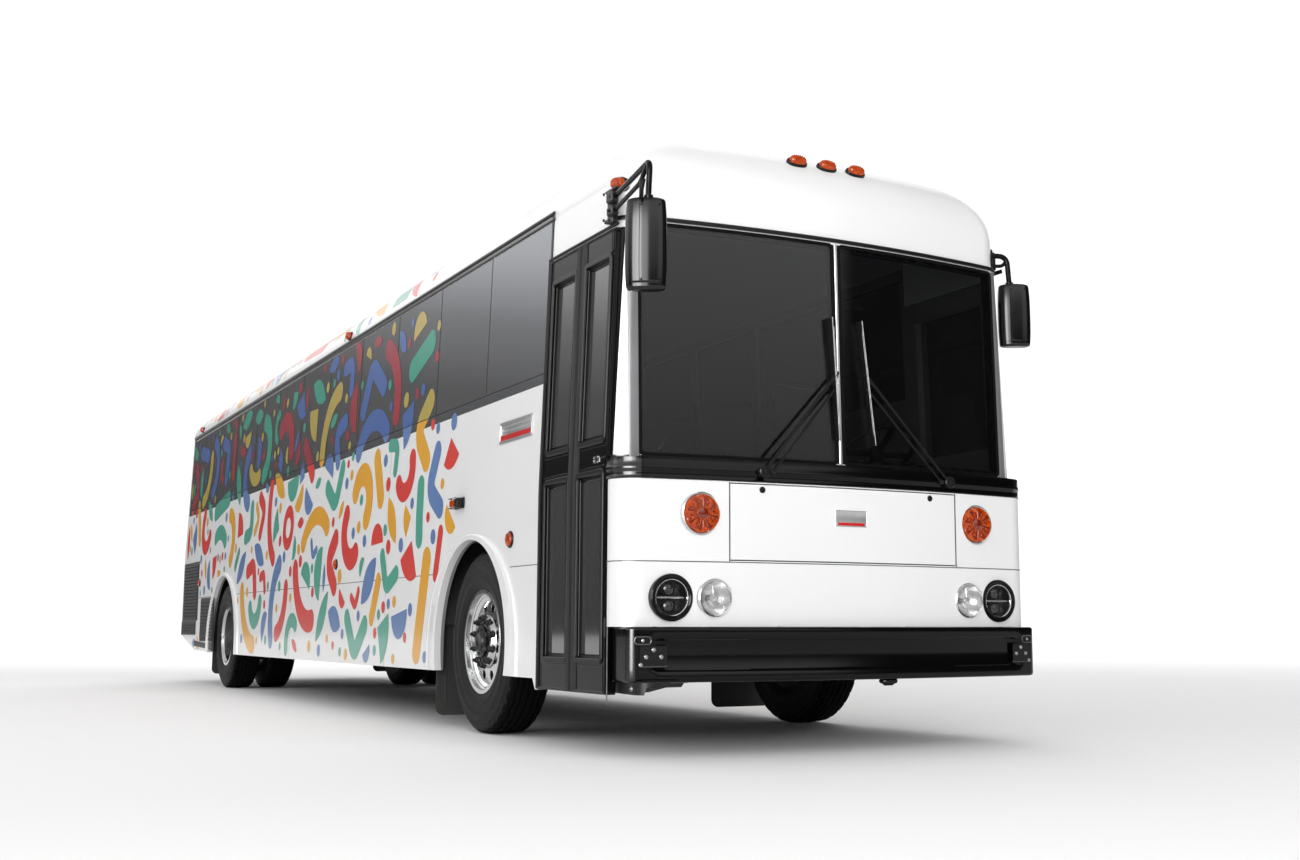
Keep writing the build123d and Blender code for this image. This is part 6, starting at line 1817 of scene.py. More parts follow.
# pale grey base colour: painted reflection of the white side, not the colour of a trim
WINDSHIELD_EDGE_PAINTED_REFLECTION = surface("windshield_edge_painted_reflection", (0.175, 0.177, 0.182), 0.30, var=0.10, scale=8, bump=0.03, bump_scale=400, rough_var=0.06, spec=0.5, coat=0.2, coat_rough=0.08)
o = make("windshield_side_edges_painted_reflection", g, WINDSHIELD_EDGE_PAINTED_REFLECTION, angle=30)

# ------------------------------------------------------------------ mud flaps with rounded corners and clamp bars
g, st = Geo(), Geo()
for sy in (-1, 1):
    for x, ya, yb, z0, z1 in ((3.040, 0.735, 1.190, 0.070, 0.700), (-4.440, 0.560, 1.165, 0.120, 0.700)):
        if x > 0 and sy < 0:
            ya = 0.780
        a, b = sorted((sy * ya, sy * yb))
        w, h, r = b - a, z1 - z0, 0.055
        pts = []
        for (px, pz, aa) in ((b - r, z0 + r, -pi / 2), (b - 0.004, z1 - 0.004, 0.0), (a + 0.004, z1 - 0.004, pi / 2), (a + r, z0 + r, pi)):
            rr = r if pz < z0 + 0.1 else 0.004
            for i in range(9):
                q = aa + pi / 2 * i / 8
                pts.append((px + rr * math.cos(q), pz + rr * math.sin(q)))
        g.prism(pts, lambda u, v, h_, x=x: Vector((x + h_ + 0.010 * math.sin((v - 0.1) * 5.0) * (0.7 - v), u, v)), 0.0, 0.009, c=0.002)
        for j in range(3):
            yy = a + 0.06 + (w - 0.12) * j / 2
            g.box(x + 0.006, x + 0.013, yy - 0.006, yy + 0.006, z0 + 0.09, z1 - 0.09, 0.002) if j != 1 else None
        st.box(x + 0.009, x + 0.015, a + 0.02, b - 0.02, 0.655, 0.690, 0.002)
        for j in range(5):
            st.lathe([(0.010, 0), (0.0095, 0.006), (0, 0.007)], (x + 0.015, a + 0.05 + (w - 0.10) * j / 4, 0.672), (1, 0, 0), 6)
o = make("mud_flap_sheets", g, FLAP)
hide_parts("mud_flaps")
make("mud_flap_clamps", st, STEEL)

# ------------------------------------------------------------------ seats: crowned pads, blown up once by a cloth run and repeated
VINYL = surface("seat_vinyl_grey", (0.060, 0.062, 0.068), 0.50, var=0.16, scale=9, bump=0.45, bump_scale=380, fine=0.18, rough_var=0.14, sheen=0.15)
VINYL_D = surface("driver_seat_cloth", (0.028, 0.029, 0.032), 0.72, var=0.20, scale=14, bump=0.6, bump_scale=620, fine=0.30, sheen=0.35)
PIPING = surface("seat_piping", (0.020, 0.020, 0.022), 0.5, var=0.2, scale=30, bump=0.2)


def pad_grid(L, W, H, step, r=0.035, crown=0.016, pinch=0.010):
    """rounded closed block of quads centred on the origin, crowned on its faces and drawn in between the corners"""
    bm = bmesh.new()
    nx, ny, nz = max(3, int(L / step)), max(3, int(W / step)), max(3, int(H / step))
    idx = {}

    def vert(i, j, k):
        key = (i, j, k)
        if key not in idx:
            u, v, w = 2 * i / nx - 1, 2 * j / ny - 1, 2 * k / nz - 1
            p = Vector((u * L / 2, v * W / 2, w * H / 2))
            q = Vector((max(-L / 2 + r, min(L / 2 - r, p.x)), max(-W / 2 + r, min(W / 2 - r, p.y)), max(-H / 2 + r, min(H / 2 - r, p.z))))
            d = p - q
            if d.length > 1e-9:
                p = q + d.normalized() * min(r, d.length)
            c = (1 - u * u) * (1 - v * v)
            p.z += (crown * c if w > 0 else 0.0) * abs(w)
            p.x -= math.copysign(pinch * (1 - v ** 2) * abs(u) ** 6, u) * 0.6
            p.y -= math.copysign(pinch * (1 - u ** 2) * abs(v) ** 6, v) * 0.6
            idx[key] = bm.verts.new(p)
        return idx[key]
    for i in range(nx):
        for j in range(ny):
            bm.faces.new((vert(i, j, 0), vert(i, j + 1, 0), vert(i + 1, j + 1, 0), vert(i + 1, j, 0)))
            bm.faces.new((vert(i, j, nz), vert(i + 1, j, nz), vert(i + 1, j + 1, nz), vert(i, j + 1, nz)))
    for i in range(nx):
        for k in range(nz):
            bm.faces.new((vert(i, 0, k), vert(i + 1, 0, k), vert(i + 1, 0, k + 1), vert(i, 0, k + 1)))
            bm.faces.new((vert(i, ny, k), vert(i, ny, k + 1), vert(i + 1, ny, k + 1), vert(i + 1, ny, k)))
    for j in range(ny):
        for k in range(nz):
            bm.faces.new((vert(0, j, k), vert(0, j, k + 1), vert(0, j + 1, k + 1), vert(0, j + 1, k)))
            bm.faces.new((vert(nx, j, k), vert(nx, j + 1, k), vert(nx, j + 1, k + 1), vert(nx, j, k + 1)))
    me = bpy.data.meshes.new("pad_base")
    bm.to_mesh(me)
    bm.free()
    return me


def blown(me, cap, pressure=4.0, channels=()):
    """the pad's points after a short cloth run with pressure, each moved no further than cap; sewn lines stay drawn in"""
    base = [v.co.copy() for v in me.vertices]
    faces = [tuple(p.vertices) for p in me.polygons]
    pts = base
    o = bpy.data.objects.new("pad_run", me)
    bpy.context.scene.collection.objects.link(o)
    zmin = min(p.z for p in base)
    vg = o.vertex_groups.new(name="pin")
    held = [i for i, p in enumerate(base) if p.z < zmin + 0.006]
    vg.add(held, 1.0, "REPLACE")
    md = o.modifiers.new("cloth", "CLOTH")
    md.settings.use_pressure = True
    md.settings.uniform_pressure_force = pressure
    md.settings.effector_weights.gravity = 0.0
    md.settings.vertex_group_mass = "pin"
    md.settings.quality = 5
    md.settings.mass = 0.3
    md.settings.tension_stiffness = 12
    md.settings.compression_stiffness = 12
    md.settings.bending_stiffness = 0.6
    sc_ = bpy.context.scene
    md.point_cache.frame_start, md.point_cache.frame_end = 1, 20
    for f_ in range(1, 21):
        sc_.frame_set(f_)
    dg = bpy.context.evaluated_depsgraph_get()
    ev = o.evaluated_get(dg)
    m2 = ev.to_mesh()
    pts = [v.co.copy() for v in m2.vertices]
    ev.to_mesh_clear()
    sc_.frame_set(1)
    bpy.data.objects.remove(o, do_unlink=True)
    out = []
    for p, q in zip(base, pts):
        d = q - p
        if d.length > cap:
            d = d.normalized() * cap
        out.append(p + d)
    for ax, at_, depth, width in channels:
        for p in out:
            t = (p[ax] - at_) / width
            if abs(t) < 3 and p.z > 0:
                p.z -= depth * math.exp(-t * t * 2.2)
    return out, faces


def place(g, pts, faces, M):
    g.add([M @ p for p in pts], faces)


seat_cu, seat_bk, pipe = Geo(), Geo(), Geo()
# slightly smaller than the space each pad has, because the run swells it
cw = 0.470
c_me = pad_grid(0.404, cw, 0.092, 0.027)
c_pts, c_faces = blown(c_me, 0.007, channels=((0, 0.115, 0.007, 0.016),))
b_me = pad_grid(0.590, cw, 0.066, 0.029, r=0.028, crown=0.012)
b_pts, b_faces = blown(b_me, 0.006, channels=((0, -0.10, 0.006, 0.016), (0, 0.16, 0.006, 0.016)))
tilt = math.atan2(0.095, 0.630)
for s in (-1, 1):
    for i in range(12):
        if s > 0 and i == 7:
            continue
        x = 3.950 - 0.735 * i
        for h in (0, 1):
            y = s * (0.170 + cw / 2 + 0.006 + h * (cw + 0.006))
            M = Matrix.Translation(Vector((x + 0.190, y, 1.3385)))
            place(seat_cu, c_pts, c_faces, M)
            R_ = Matrix(((-math.sin(tilt), 0, math.cos(tilt)), (0, 1, 0), (math.cos(tilt), 0, math.sin(tilt)))).to_4x4()
            M = Matrix.Translation(Vector((x - 0.093, y, 1.706))) @ R_
            place(seat_bk, b_pts, b_faces, M)
        # sewn piping round the top of the back and the cushion's front edge
        ya, yb = sorted((s * 0.176, s * 1.128))
        pipe.tube(bend([(x - 0.030, ya + 0.004, 1.46), (x - 0.112, ya + 0.006, 1.985), (x - 0.112, yb - 0.006, 1.985), (x - 0.030, yb - 0.004, 1.46)], 0.06), 0.0040, 6)
        pipe.tube([(x + 0.392, ya + 0.02, 1.372), (x + 0.392, yb - 0.02, 1.372)], 0.0038, 6)
o1 = make("passenger_seat_cushions", seat_cu, VINYL, angle=60)
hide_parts("passenger_seats")
o2 = make("passenger_seat_backs", seat_bk, VINYL, angle=60)
make("passenger_seat_piping", pipe, PIPING)
# driver's seat
g1, g2, p2 = Geo(), Geo(), Geo()
d_me = pad_grid(0.430, 0.464, 0.104, 0.022, r=0.040, crown=0.014)
d_pts, d_faces = blown(d_me, 0.007, channels=((1, 0.145, 0.008, 0.014), (1, -0.145, 0.008, 0.014)))
place(g1, d_pts, d_faces, Matrix.Translation(Vector((4.722, 0.640, 1.370))))
e_me = pad_grid(0.640, 0.444, 0.074, 0.024, r=0.034, crown=0.010, pinch=0.03)
e_pts, e_faces = blown(e_me, 0.006, channels=((1, 0.135, 0.008, 0.014), (1, -0.135, 0.008, 0.014), (0, 0.10, 0.006, 0.014)))
tl = math.atan2(0.095, 0.640)
R_ = Matrix(((-math.sin(tl), 0, math.cos(tl)), (0, 1, 0), (math.cos(tl), 0, math.sin(tl)))).to_4x4()
place(g2, e_pts, e_faces, Matrix.Translation(Vector((4.418, 0.640, 1.752))) @ R_)
p2.tube(bend([(4.475, 0.425, 1.46), (4.392, 0.425, 2.062), (4.392, 0.855, 2.062), (4.475, 0.855, 1.46)], 0.09), 0.0045, 6)
o3 = make("driver_seat_cushion", g1, VINYL_D, angle=60)
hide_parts("drivers_seat")
o4 = make("driver_seat_back", g2, VINYL_D, angle=60)
make("driver_seat_piping", p2, PIPING)

# ------------------------------------------------------------------ rear: window rubber, lamps, engine door dressing, plate recess, bumper
RXM = RX
CLEAR = surface("clear_lamp_lens", (0.62, 0.63, 0.64), 0.10, var=0.15, scale=60, coat=0.3, coat_rough=0.03)
GRILLE = surface("black_powder_coat", (0.012, 0.012, 0.013), 0.45, var=0.2, scale=12, bump=0.25, bump_scale=260, wear=0.25, rough_var=0.1)


def bk(y, z, d=0.0):
    return Vector((RXM - d, y, z))


def bk_lamp(lens, base, y, z, r, ribs=5):
    p = bk(y, z)
    a = Vector((-1, 0, 0))
    base.lathe([(r * 1.16, -0.001), (r * 1.17, 0.010), (r * 1.10, 0.015), (r * 1.0, 0.0155), (r * 0.985, 0.006)], p, a, 40)
    lens.lathe([(r * 0.99, 0.006), (r * 0.975, 0.022), (r * 0.90, 0.0275), (r * 0.86, 0.0270), (r * 0.84, 0.0250), (r * 0.55, 0.0290), (r * 0.25, 0.0305), (0, 0.031)], p, a, 44)
    for k in range(-ribs, ribs + 1):
        q = k * 0.78 / ribs
        w_ = math.sqrt(max(0.0, 0.80 ** 2 - q * q)) * r
        lens.box(p.x - 0.0312, p.x - 0.026, y + q * r - 0.0012, y + q * r + 0.0012, z - w_, z + w_, 0.0005)


g, tr = Geo(), Geo()
ring_on(g, bk, -0.806, 0.806, 1.944, 2.676, 0.034, 0.085, 0.0090, crown=0.003, n=10)
ring_on(g, bk, -0.770, 0.770, 1.980, 2.640, 0.006, 0.060, 0.0125, n=10)
make("rear_window_rubber", g, RUBBER)
lr, la, lc, bs = Geo(), Geo(), Geo(), Geo()
for s in (-1, 1):
    bk_lamp(lr, bs, s * 1.035, 1.780, 0.088)
    bk_lamp(la, bs, s * 1.035, 1.560, 0.088)
    bk_lamp(lr, bs, s * 1.050, 1.180, 0.052, 4)
    bk_lamp(lc, bs, s * 1.050, 1.035, 0.052, 4)
    # round reflectors
    lr.lathe([(0.037, -0.001), (0.037, 0.005), (0.034, 0.0075), (0.015, 0.0085), (0, 0.0087)], bk(s * 1.060, 0.800), (-1, 0, 0), 28)
    bs.lathe([(0.041, -0.001), (0.041, 0.004), (0.0375, 0.0055), (0.0365, 0.003)], bk(s * 1.060, 0.800), (-1, 0, 0), 28)
for y in (-0.19, 0.0, 0.19):
    M = Matrix((Vector((0, -1, 0)), Vector((0, 0, 1)), Vector((-1, 0, 0)))).transposed().to_4x4()
    M.translation = Vector((RXM, y, 2.960))
    dome(lr, bs, M, 0.050, 0.029, 0.034)
for s in (-1, 1):
    M = Matrix((Vector((0, -1, 0)), Vector((0, 0, 1)), Vector((-1, 0, 0)))).transposed().to_4x4()
    M.translation = Vector((RXM, s * 0.93, 2.860))
    dome(lr, bs, M, 0.050, 0.029, 0.034)
make("rear_red_lamps", lr, RED)
make("rear_amber_lamps", la, AMBER)
make("rear_reverse_lamps", lc, CLEAR)
make("rear_lamp_bases", bs, BLACK_TRIM)
# seams, a rub rail and rivets of the rear wall
g, rr, rv = Geo(), Geo(), Geo()
for za, zb in ((1.8640, 1.8665), (2.7530, 2.7555)):
    g.slab([[bk(-1.150 + 2.30 * j / 12, z, 0.0006) for j in range(13)] for z in (za, zb)], [[bk(-1.150 + 2.30 * j / 12, z, -0.002) for j in range(13)] for z in (za, zb)])
for s in (-1, 1):
    g.slab([[bk(s * (0.935 + 0.0011 * q), z, 0.0006) for q in (-1, 1)] for z in (0.70, 1.28, 1.864)], [[bk(s * (0.935 + 0.0011 * q), z, -0.002) for q in (-1, 1)] for z in (0.70, 1.28, 1.864)])
for zz, w_ in ((1.905, 1.165), (0.700, 0.0)):
    if w_:
        rows = []
        for dz, d in ((-0.024, -0.001), (-0.022, 0.008), (-0.012, 0.0125), (-0.006, 0.009), (0.006, 0.009), (0.012, 0.0125), (0.022, 0.008), (0.024, -0.001)):
            rows.append([bk(-w_ + 2 * w_ * j / 16, zz + dz, d) for j in range(17)])
        rr.grid(rows)
        for j in range(17):
            rv.rivet(bk(-w_ + 0.04 + (2 * w_ - 0.08) * j / 16, zz, 0.009), (-1, 0, 0), 0.0045, n=10)
for z in (2.7700, 2.0, 2.2, 2.4, 2.6):
    if z == 2.77:
        for j in range(25):
            rv.rivet(bk(-1.08 + 2.16 * j / 24, z, 0.0), (-1, 0, 0), 0.0042, n=10)
    else:
        for s in (-1, 1):
            for q in (0.86, 1.12):
                rv.rivet(bk(s * q, z, 0.0), (-1, 0, 0), 0.0042, n=10)
make("rear_panel_joints", g, SEAM)
make("rear_rub_rail", rr, BLACK)
make("rear_wall_rivets", rv, WHITE)

# engine bay door: pressed border, louvres, latches, top hinge, blank plate; all ride on the door
g, lv, dk, lt, pl = Geo(), Geo(), Geo(), Geo(), Geo()
ring_on(g, bk, -0.868, 0.868, 0.752, 1.618, 0.012, 0.050, 0.0050, crown=0.0012, n=8)
for ya, yb in ((-0.800, -0.060), (0.060, 0.800)):
    # black sheet flush with the door behind the slats: painted shade standing for the dark openings
    dk.box(RXM - 0.0030, RXM + 0.002, ya, yb, 1.080, 1.560, 0.001)
    ring_on(lv, bk, ya - 0.020, yb + 0.020, 1.060, 1.580, 0.022, 0.014, 0.0080, crown=0.001)
    n = 13
    for j in range(n):
        z0 = 1.088 + 0.462 * j / n
        rows = []
        for d, dz in ((0.001, 0.030), (0.0050, 0.026), (0.0165, 0.004), (0.0170, 0.001), (0.0155, 0.0), (0.0135, 0.003), (0.003, 0.0235), (0.0, 0.027)):
            rows.append([bk(ya + 0.004 + (yb - ya - 0.008) * q / 2, z0 + dz, d) for q in range(3)])
        lv.grid(rows)
    for yy in (ya + (yb - ya) / 3, ya + 2 * (yb - ya) / 3):
        lv.box(RXM - 0.0180, RXM - 0.002, yy - 0.006, yy + 0.006, 1.084, 1.556, 0.001)
for yy in (-0.660, 0.660):
    lt.lathe([(0.046, -0.001), (0.047, 0.004), (0.040, 0.0075), (0.036, 0.0040), (0.034, 0.0030), (0, 0.0030)], bk(yy, 0.880), (-1, 0, 0), 32)
    lt.box(RXM - 0.0150, RXM - 0.003, yy - 0.034, yy + 0.034, 0.872, 0.888, 0.0035)
    lt.lathe([(0.009, 0.003), (0.009, 0.017), (0, 0.019)], bk(yy, 0.880), (-1, 0, 0), 16)
for j in range(3):
    yy = (-0.60, 0.0, 0.60)[j]
    lt.box(RXM - 0.0060, RXM - 0.0005, yy - 0.060, yy + 0.060, 1.590, 1.638, 0.0015)
    for q in (-0.040, 0.0, 0.040):
        lt.rivet(bk(yy + q, 1.606, 0.006), (-1, 0, 0), 0.0055, n=10)
pl.box(RXM - 0.0040, RXM + 0.001, -0.156, 0.156, 0.822, 0.978, 0.002)
ring_on(pl, bk, -0.160, 0.160, 0.818, 0.982, 0.008, 0.012, 0.0075, crown=0.001)
for s in (-1, 1):
    for zz in (0.842, 0.958):
        lt.hexbolt(bk(s * 0.128, zz, 0.004), (-1, 0, 0), 0.0055, 0.006)
    # small lamps over the plate
    lt.box(RXM - 0.034, RXM - 0.0005, s * 0.105 - 0.030, s * 0.105 + 0.030, 0.990, 1.016, 0.006)
make("engine_door_border", g, WHITE, "engine_bay_door")
make("engine_door_louvres", lv, GRILLE, "engine_bay_door")
make("engine_door_louvre_painted_shade", dk, FRIT, "engine_bay_door")
make("engine_door_latches", lt, STEEL, "engine_bay_door")
make("rear_blank_plate", pl, BADGE, "engine_bay_door")

# rear bumper: rolled lips, tow hole rings and bolts; tailpipe under it
g, bl, tp = Geo(), Geo(), Geo()
XB = -6.270
for zz in (0.520, 0.6850):
    g.tube([(XB + 0.004, -1.188, zz), (XB + 0.004, 1.188, zz)], 0.0042, 8)
for s in (-1, 1):
    ring = [(Vector((XB + 0.0041, s * 0.650 + 0.026 * math.cos(a), 0.602 + 0.026 * math.sin(a)))) for a in [2 * pi * k / 28 for k in range(28)]]
    g.tube(ring, 0.0042, 8, closed=True)
    for yy in (0.30, 0.46):
        for zz in (0.560, 0.645):
            bl.lathe([(0.0125, -0.003), (0.0125, 0.0001), (0.0110, 0.0002), (0, 0.0002)], (XB, s * yy, zz), (-1, 0, 0), 20)
    for yy in (1.06, 1.14):
        bl.lathe([(0.0100, -0.003), (0.0100, 0.0001), (0.0088, 0.0002), (0, 0.0002)], (XB, s * yy, 0.602), (-1, 0, 0), 20)
# pressed step tread on the bumper top
for k in range(40):
    yy = -0.975 + 1.95 * k / 39
    g.box(-6.255, -6.125, yy - 0.004, yy + 0.004, 0.6895, 0.6935, 0.0012)
tp.tube(bend([(-5.30, 0.62, 0.500), (-5.75, 0.62, 0.455), (-6.250, 0.62, 0.440)], 0.10), 0.050, 22, caps=False)
tp.lathe([(0.050, 0.0), (0.0515, 0.002), (0.0505, 0.004), (0.0465, 0.003), (0.0455, -0.10), (0, -0.105)], (-6.250, 0.62, 0.440), (-1, 0, 0), 26)
tp.box(-5.70, -5.67, 0.60, 0.64, 0.455, 0.640, 0.004)
make("rear_bumper_trim", g, BLACK_SATIN)
make("rear_bumper_bolts", bl, STEEL)
make("tailpipe", tp, CAST)

# ------------------------------------------------------------------ engine louvres and access panels on the sides


def lou(frame_g, slat_g, dark_g, s, x0, x1, z0, z1, n):
    def sp(u, z, d=0.0):
        return side_pt(u, z, s, d)
    m = max(2, int((x1 - x0) / 0.25))
    # black sheet on the skin behind the slats: painted shade standing for the dark openings
    dark_g.slab([[sp(x0 + (x1 - x0) * j / m, z, 0.0020) for j in range(m + 1)] for z in (z0, (z0 + z1) / 2, z1)], [[sp(x0 + (x1 - x0) * j / m, z, -0.002) for j in range(m + 1)] for z in (z0, (z0 + z1) / 2, z1)])
    ring_on(frame_g, sp, x0 - 0.018, x1 + 0.018, z0 - 0.018, z1 + 0.018, 0.020, 0.014, 0.0070, crown=0.001)
    h = (z1 - z0) / n
    for j in range(n):
        z = z0 + h * j
        rows = []
        for d, f in ((0.0015, 0.96), (0.0045, 0.90), (0.0140, 0.16), (0.0145, 0.06), (0.0130, 0.02), (0.0110, 0.12), (0.0030, 0.80), (0.0005, 0.90)):
            rows.append([sp(x0 + 0.004 + (x1 - x0 - 0.008) * q / m, z + h * f, d) for q in range(m + 1)])
        slat_g.grid(rows)


for s, sd in ((-1, "right"), (1, "left")):
    fg, sg, dg, lt, sm = Geo(), Geo(), Geo(), Geo(), Geo()
    sets = ((-6.000, -5.130, 0.696, 1.307, 17), (-6.035, -5.210, 0.520, 0.700 - 0.040, 4), (-4.880, -4.190, 0.474, 0.900, 12)) if s < 0 else ((-6.000, -5.300, 0.760, 1.300, 15), (-4.880, -4.190, 0.500, 0.880, 11))
    for x0, x1, z0, z1, n in sets:
        if z0 < 0.6 and x0 < -5.5:
            z0 = 0.540
        lou(fg, sg, dg, s, x0, x1, z0, z1, n)

    def sp(u, z, d=0.0, s=s):
        return side_pt(u, z, s, d)
    # access doors let into the skirt, each with a fine joint, a hinge line and two latches
    doors = ((1.95, 2.75, 0.440, 0.860), (-1.95, -0.95, 0.440, 0.860)) if s > 0 else ((0.98, 1.30, 0.560, 0.820),)
    for x0, x1, z0, z1 in doors:
        if s > 0:
            ring_on(sm, sp, x0, x1, z0, z1, 0.003, 0.020, 0.0008)
            for xx in (x0 + 0.12, x1 - 0.12):
                lt.lathe([(0.030, -0.001), (0.031, 0.003), (0.026, 0.0060), (0.022, 0.0030), (0, 0.0030)], sp(xx, z0 + 0.07), (0, s, 0), 28)
                lt.box(xx - 0.020, xx + 0.020, *sorted((s * (half_width(z0) + 0.002), s * (half_width(z0) + 0.0105))), z0 + 0.064, z0 + 0.076, 0.002)
            lt.tube([sp(x0 + 0.03, z1 - 0.002, 0.0035), sp(x1 - 0.03, z1 - 0.002, 0.0035)], 0.0045, 8)
    if s > 0:
        # driver's window: sliding sash, rubber and latch
        ring_on(fg, sp, 4.820, 5.510, 1.550, 2.450, 0.030, 0.050, 0.0075, crown=0.002)
        fg.slab([[sp(5.150, z, 0.0060), sp(5.186, z, 0.0060)] for z in (1.575, 1.8, 2.1, 2.425)], [[sp(5.150, z, -0.004), sp(5.186, z, -0.004)] for z in (1.575, 1.8, 2.1, 2.425)])
        lt.box(5.158, 5.178, *sorted((s * (half_width(1.95) + 0.006), s * (half_width(1.95) + 0.016))), 1.93, 1.99, 0.003)
        make("side_left_access_joints", sm, SEAM)
    make("side_%s_louvre_frames" % sd, fg, GRILLE if s < 0 else BLACK_SATIN)
    make("side_%s_louvre_slats" % sd, sg, GRILLE)
    make("side_%s_louvre_recesses" % sd, dg, FRIT)
    if lt.v:
        make("side_%s_latches" % sd, lt, STEEL)

# dark bar along the bottom edge behind the rear wheel
g = Geo()
g.slab([[side_pt(-5.25 + 1.08 * j / 8, z + (0.004 * (8 - j)), -1, 0.0040) for j in range(9)] for z in (0.372, 0.430)], [[side_pt(-5.25 + 1.08 * j / 8, z + (0.004 * (8 - j)), -1, -0.004) for j in range(9)] for z in (0.372, 0.430)])
make("side_right_lower_bar", g, GRILLE)

# ------------------------------------------------------------------ emergency door: panes, rubbers, handle and hinges, all riding on it
ED = "emergency_door"
gl, rb, hd, tr = Geo(), Geo(), Geo(), Geo()


def lp(u, z, d=0.0):
    return side_pt(u, z, 1, d)


for x0, x1, z0, z1 in ((-1.535, -0.847, 1.980, 2.640), (-1.475, -0.907, 1.180, 1.700)):
    fr, bk_ = [], []
    for i in range(9):
        z = z0 - 0.003 + (z1 - z0 + 0.006) * i / 8
        fr.append([lp(x0 - 0.003 + (x1 - x0 + 0.006) * j / 4, z, -0.012) for j in range(5)])
        bk_.append([lp(x0 - 0.003 + (x1 - x0 + 0.006) * j / 4, z, -0.018) for j in range(5)])
    gl.slab(fr, bk_)
    ring_on(rb, lp, x0 - 0.020, x1 + 0.020, z0 - 0.020, z1 + 0.020, 0.026, 0.050, 0.0070, crown=0.002, under=-0.004)
    ring_on(rb, lp, x0 - 0.001, x1 + 0.001, z0 - 0.001, z1 + 0.001, 0.014, 0.030, -0.0070, under=-0.016, crown=0.002)
ring_on(tr, lp, -1.630, -0.752, 0.965, 2.700, 0.010, 0.030, 0.0022)
ring_on(tr, lp, -1.590, -0.792, 1.020, 1.140, 0.006, 0.020, 0.0025)
hd.box(-1.590, -1.470, *sorted((half_width(1.84) - 0.001, half_width(1.84) + 0.004)), 1.790, 1.890, 0.003)
hd.tube(bend([lp(-1.575, 1.840, 0.003), lp(-1.575, 1.840, 0.030), lp(-1.480, 1.840, 0.030)], 0.015), 0.0085, 12)
hd.lathe([(0.016, 0.0), (0.016, 0.012), (0.012, 0.016), (0, 0.016)], lp(-1.575, 1.840, 0.002), (0, 1, 0), 22)
for zz in (1.120, 1.840, 2.560):
    c = lp(-0.775, zz, 0.0)
    hd.box(-0.800, -0.742, *sorted((c.y - 0.001, c.y + 0.0050)), zz - 0.045, zz + 0.045, 0.0015)
    for q in (-0.028, 0.0, 0.028):
        hd.rivet(lp(-0.780, zz + q, 0.0050), (0, 1, 0), 0.0050, n=10)
make("emergency_door_panes", gl, GL_SIDE, ED)
make("emergency_door_rubbers", rb, BLACK_TRIM, ED)
make("emergency_door_pressings", tr, WHITE, ED)
make("emergency_door_handle", hd, STEEL, ED)

# ------------------------------------------------------------------ roof: seam straps with rivets, hatch lids with pressed ribs, hatch frames
st, rv = Geo(), Geo()
t_lo = t_of_z(2.842)
for k in range(11):
    x = 4.30 - 1.02 * k
    if k == 10:
        x = -5.96
    clash = any(abs(x - hx) < 0.36 for hx in (2.5, -2.9))
    for s in (-1, 1):
        n = 22
        tt = [t_lo + (ARC[-1] - 2e-3 - t_lo) * j / n for j in range(n + 1)]
        if clash:
            tt = [t for t in tt if on_profile(t)[0] > 0.37]
        rows = []
        for u, d in ((-0.019, -0.0005), (-0.0185, 0.0012), (0.0, 0.0018), (0.0185, 0.0012), (0.019, -0.0005)):
            rows.append([skin_pt(x + u, t, s, d) for t in tt])
        st.grid(rows)
        m = 30
        for j in range(m):
            t = t_lo + 0.01 + (ARC[-1] - 0.02 - t_lo) * j / m
            y_, z_, ny, nz = on_profile(t)
            if clash and y_ < 0.39:
                continue
            for u in (-0.012, 0.012):
                rv.rivet(skin_pt(x + u, t, s, 0.0012), (0, s * ny, nz), 0.0045, n=6)
make("roof_seam_straps", st, WHITE_ROOF)
make("roof_rivets", rv, WHITE_ROOF)


def roof_z(y):
    return 3.120 - (5.130 - math.sqrt(5.130 ** 2 - y * y))


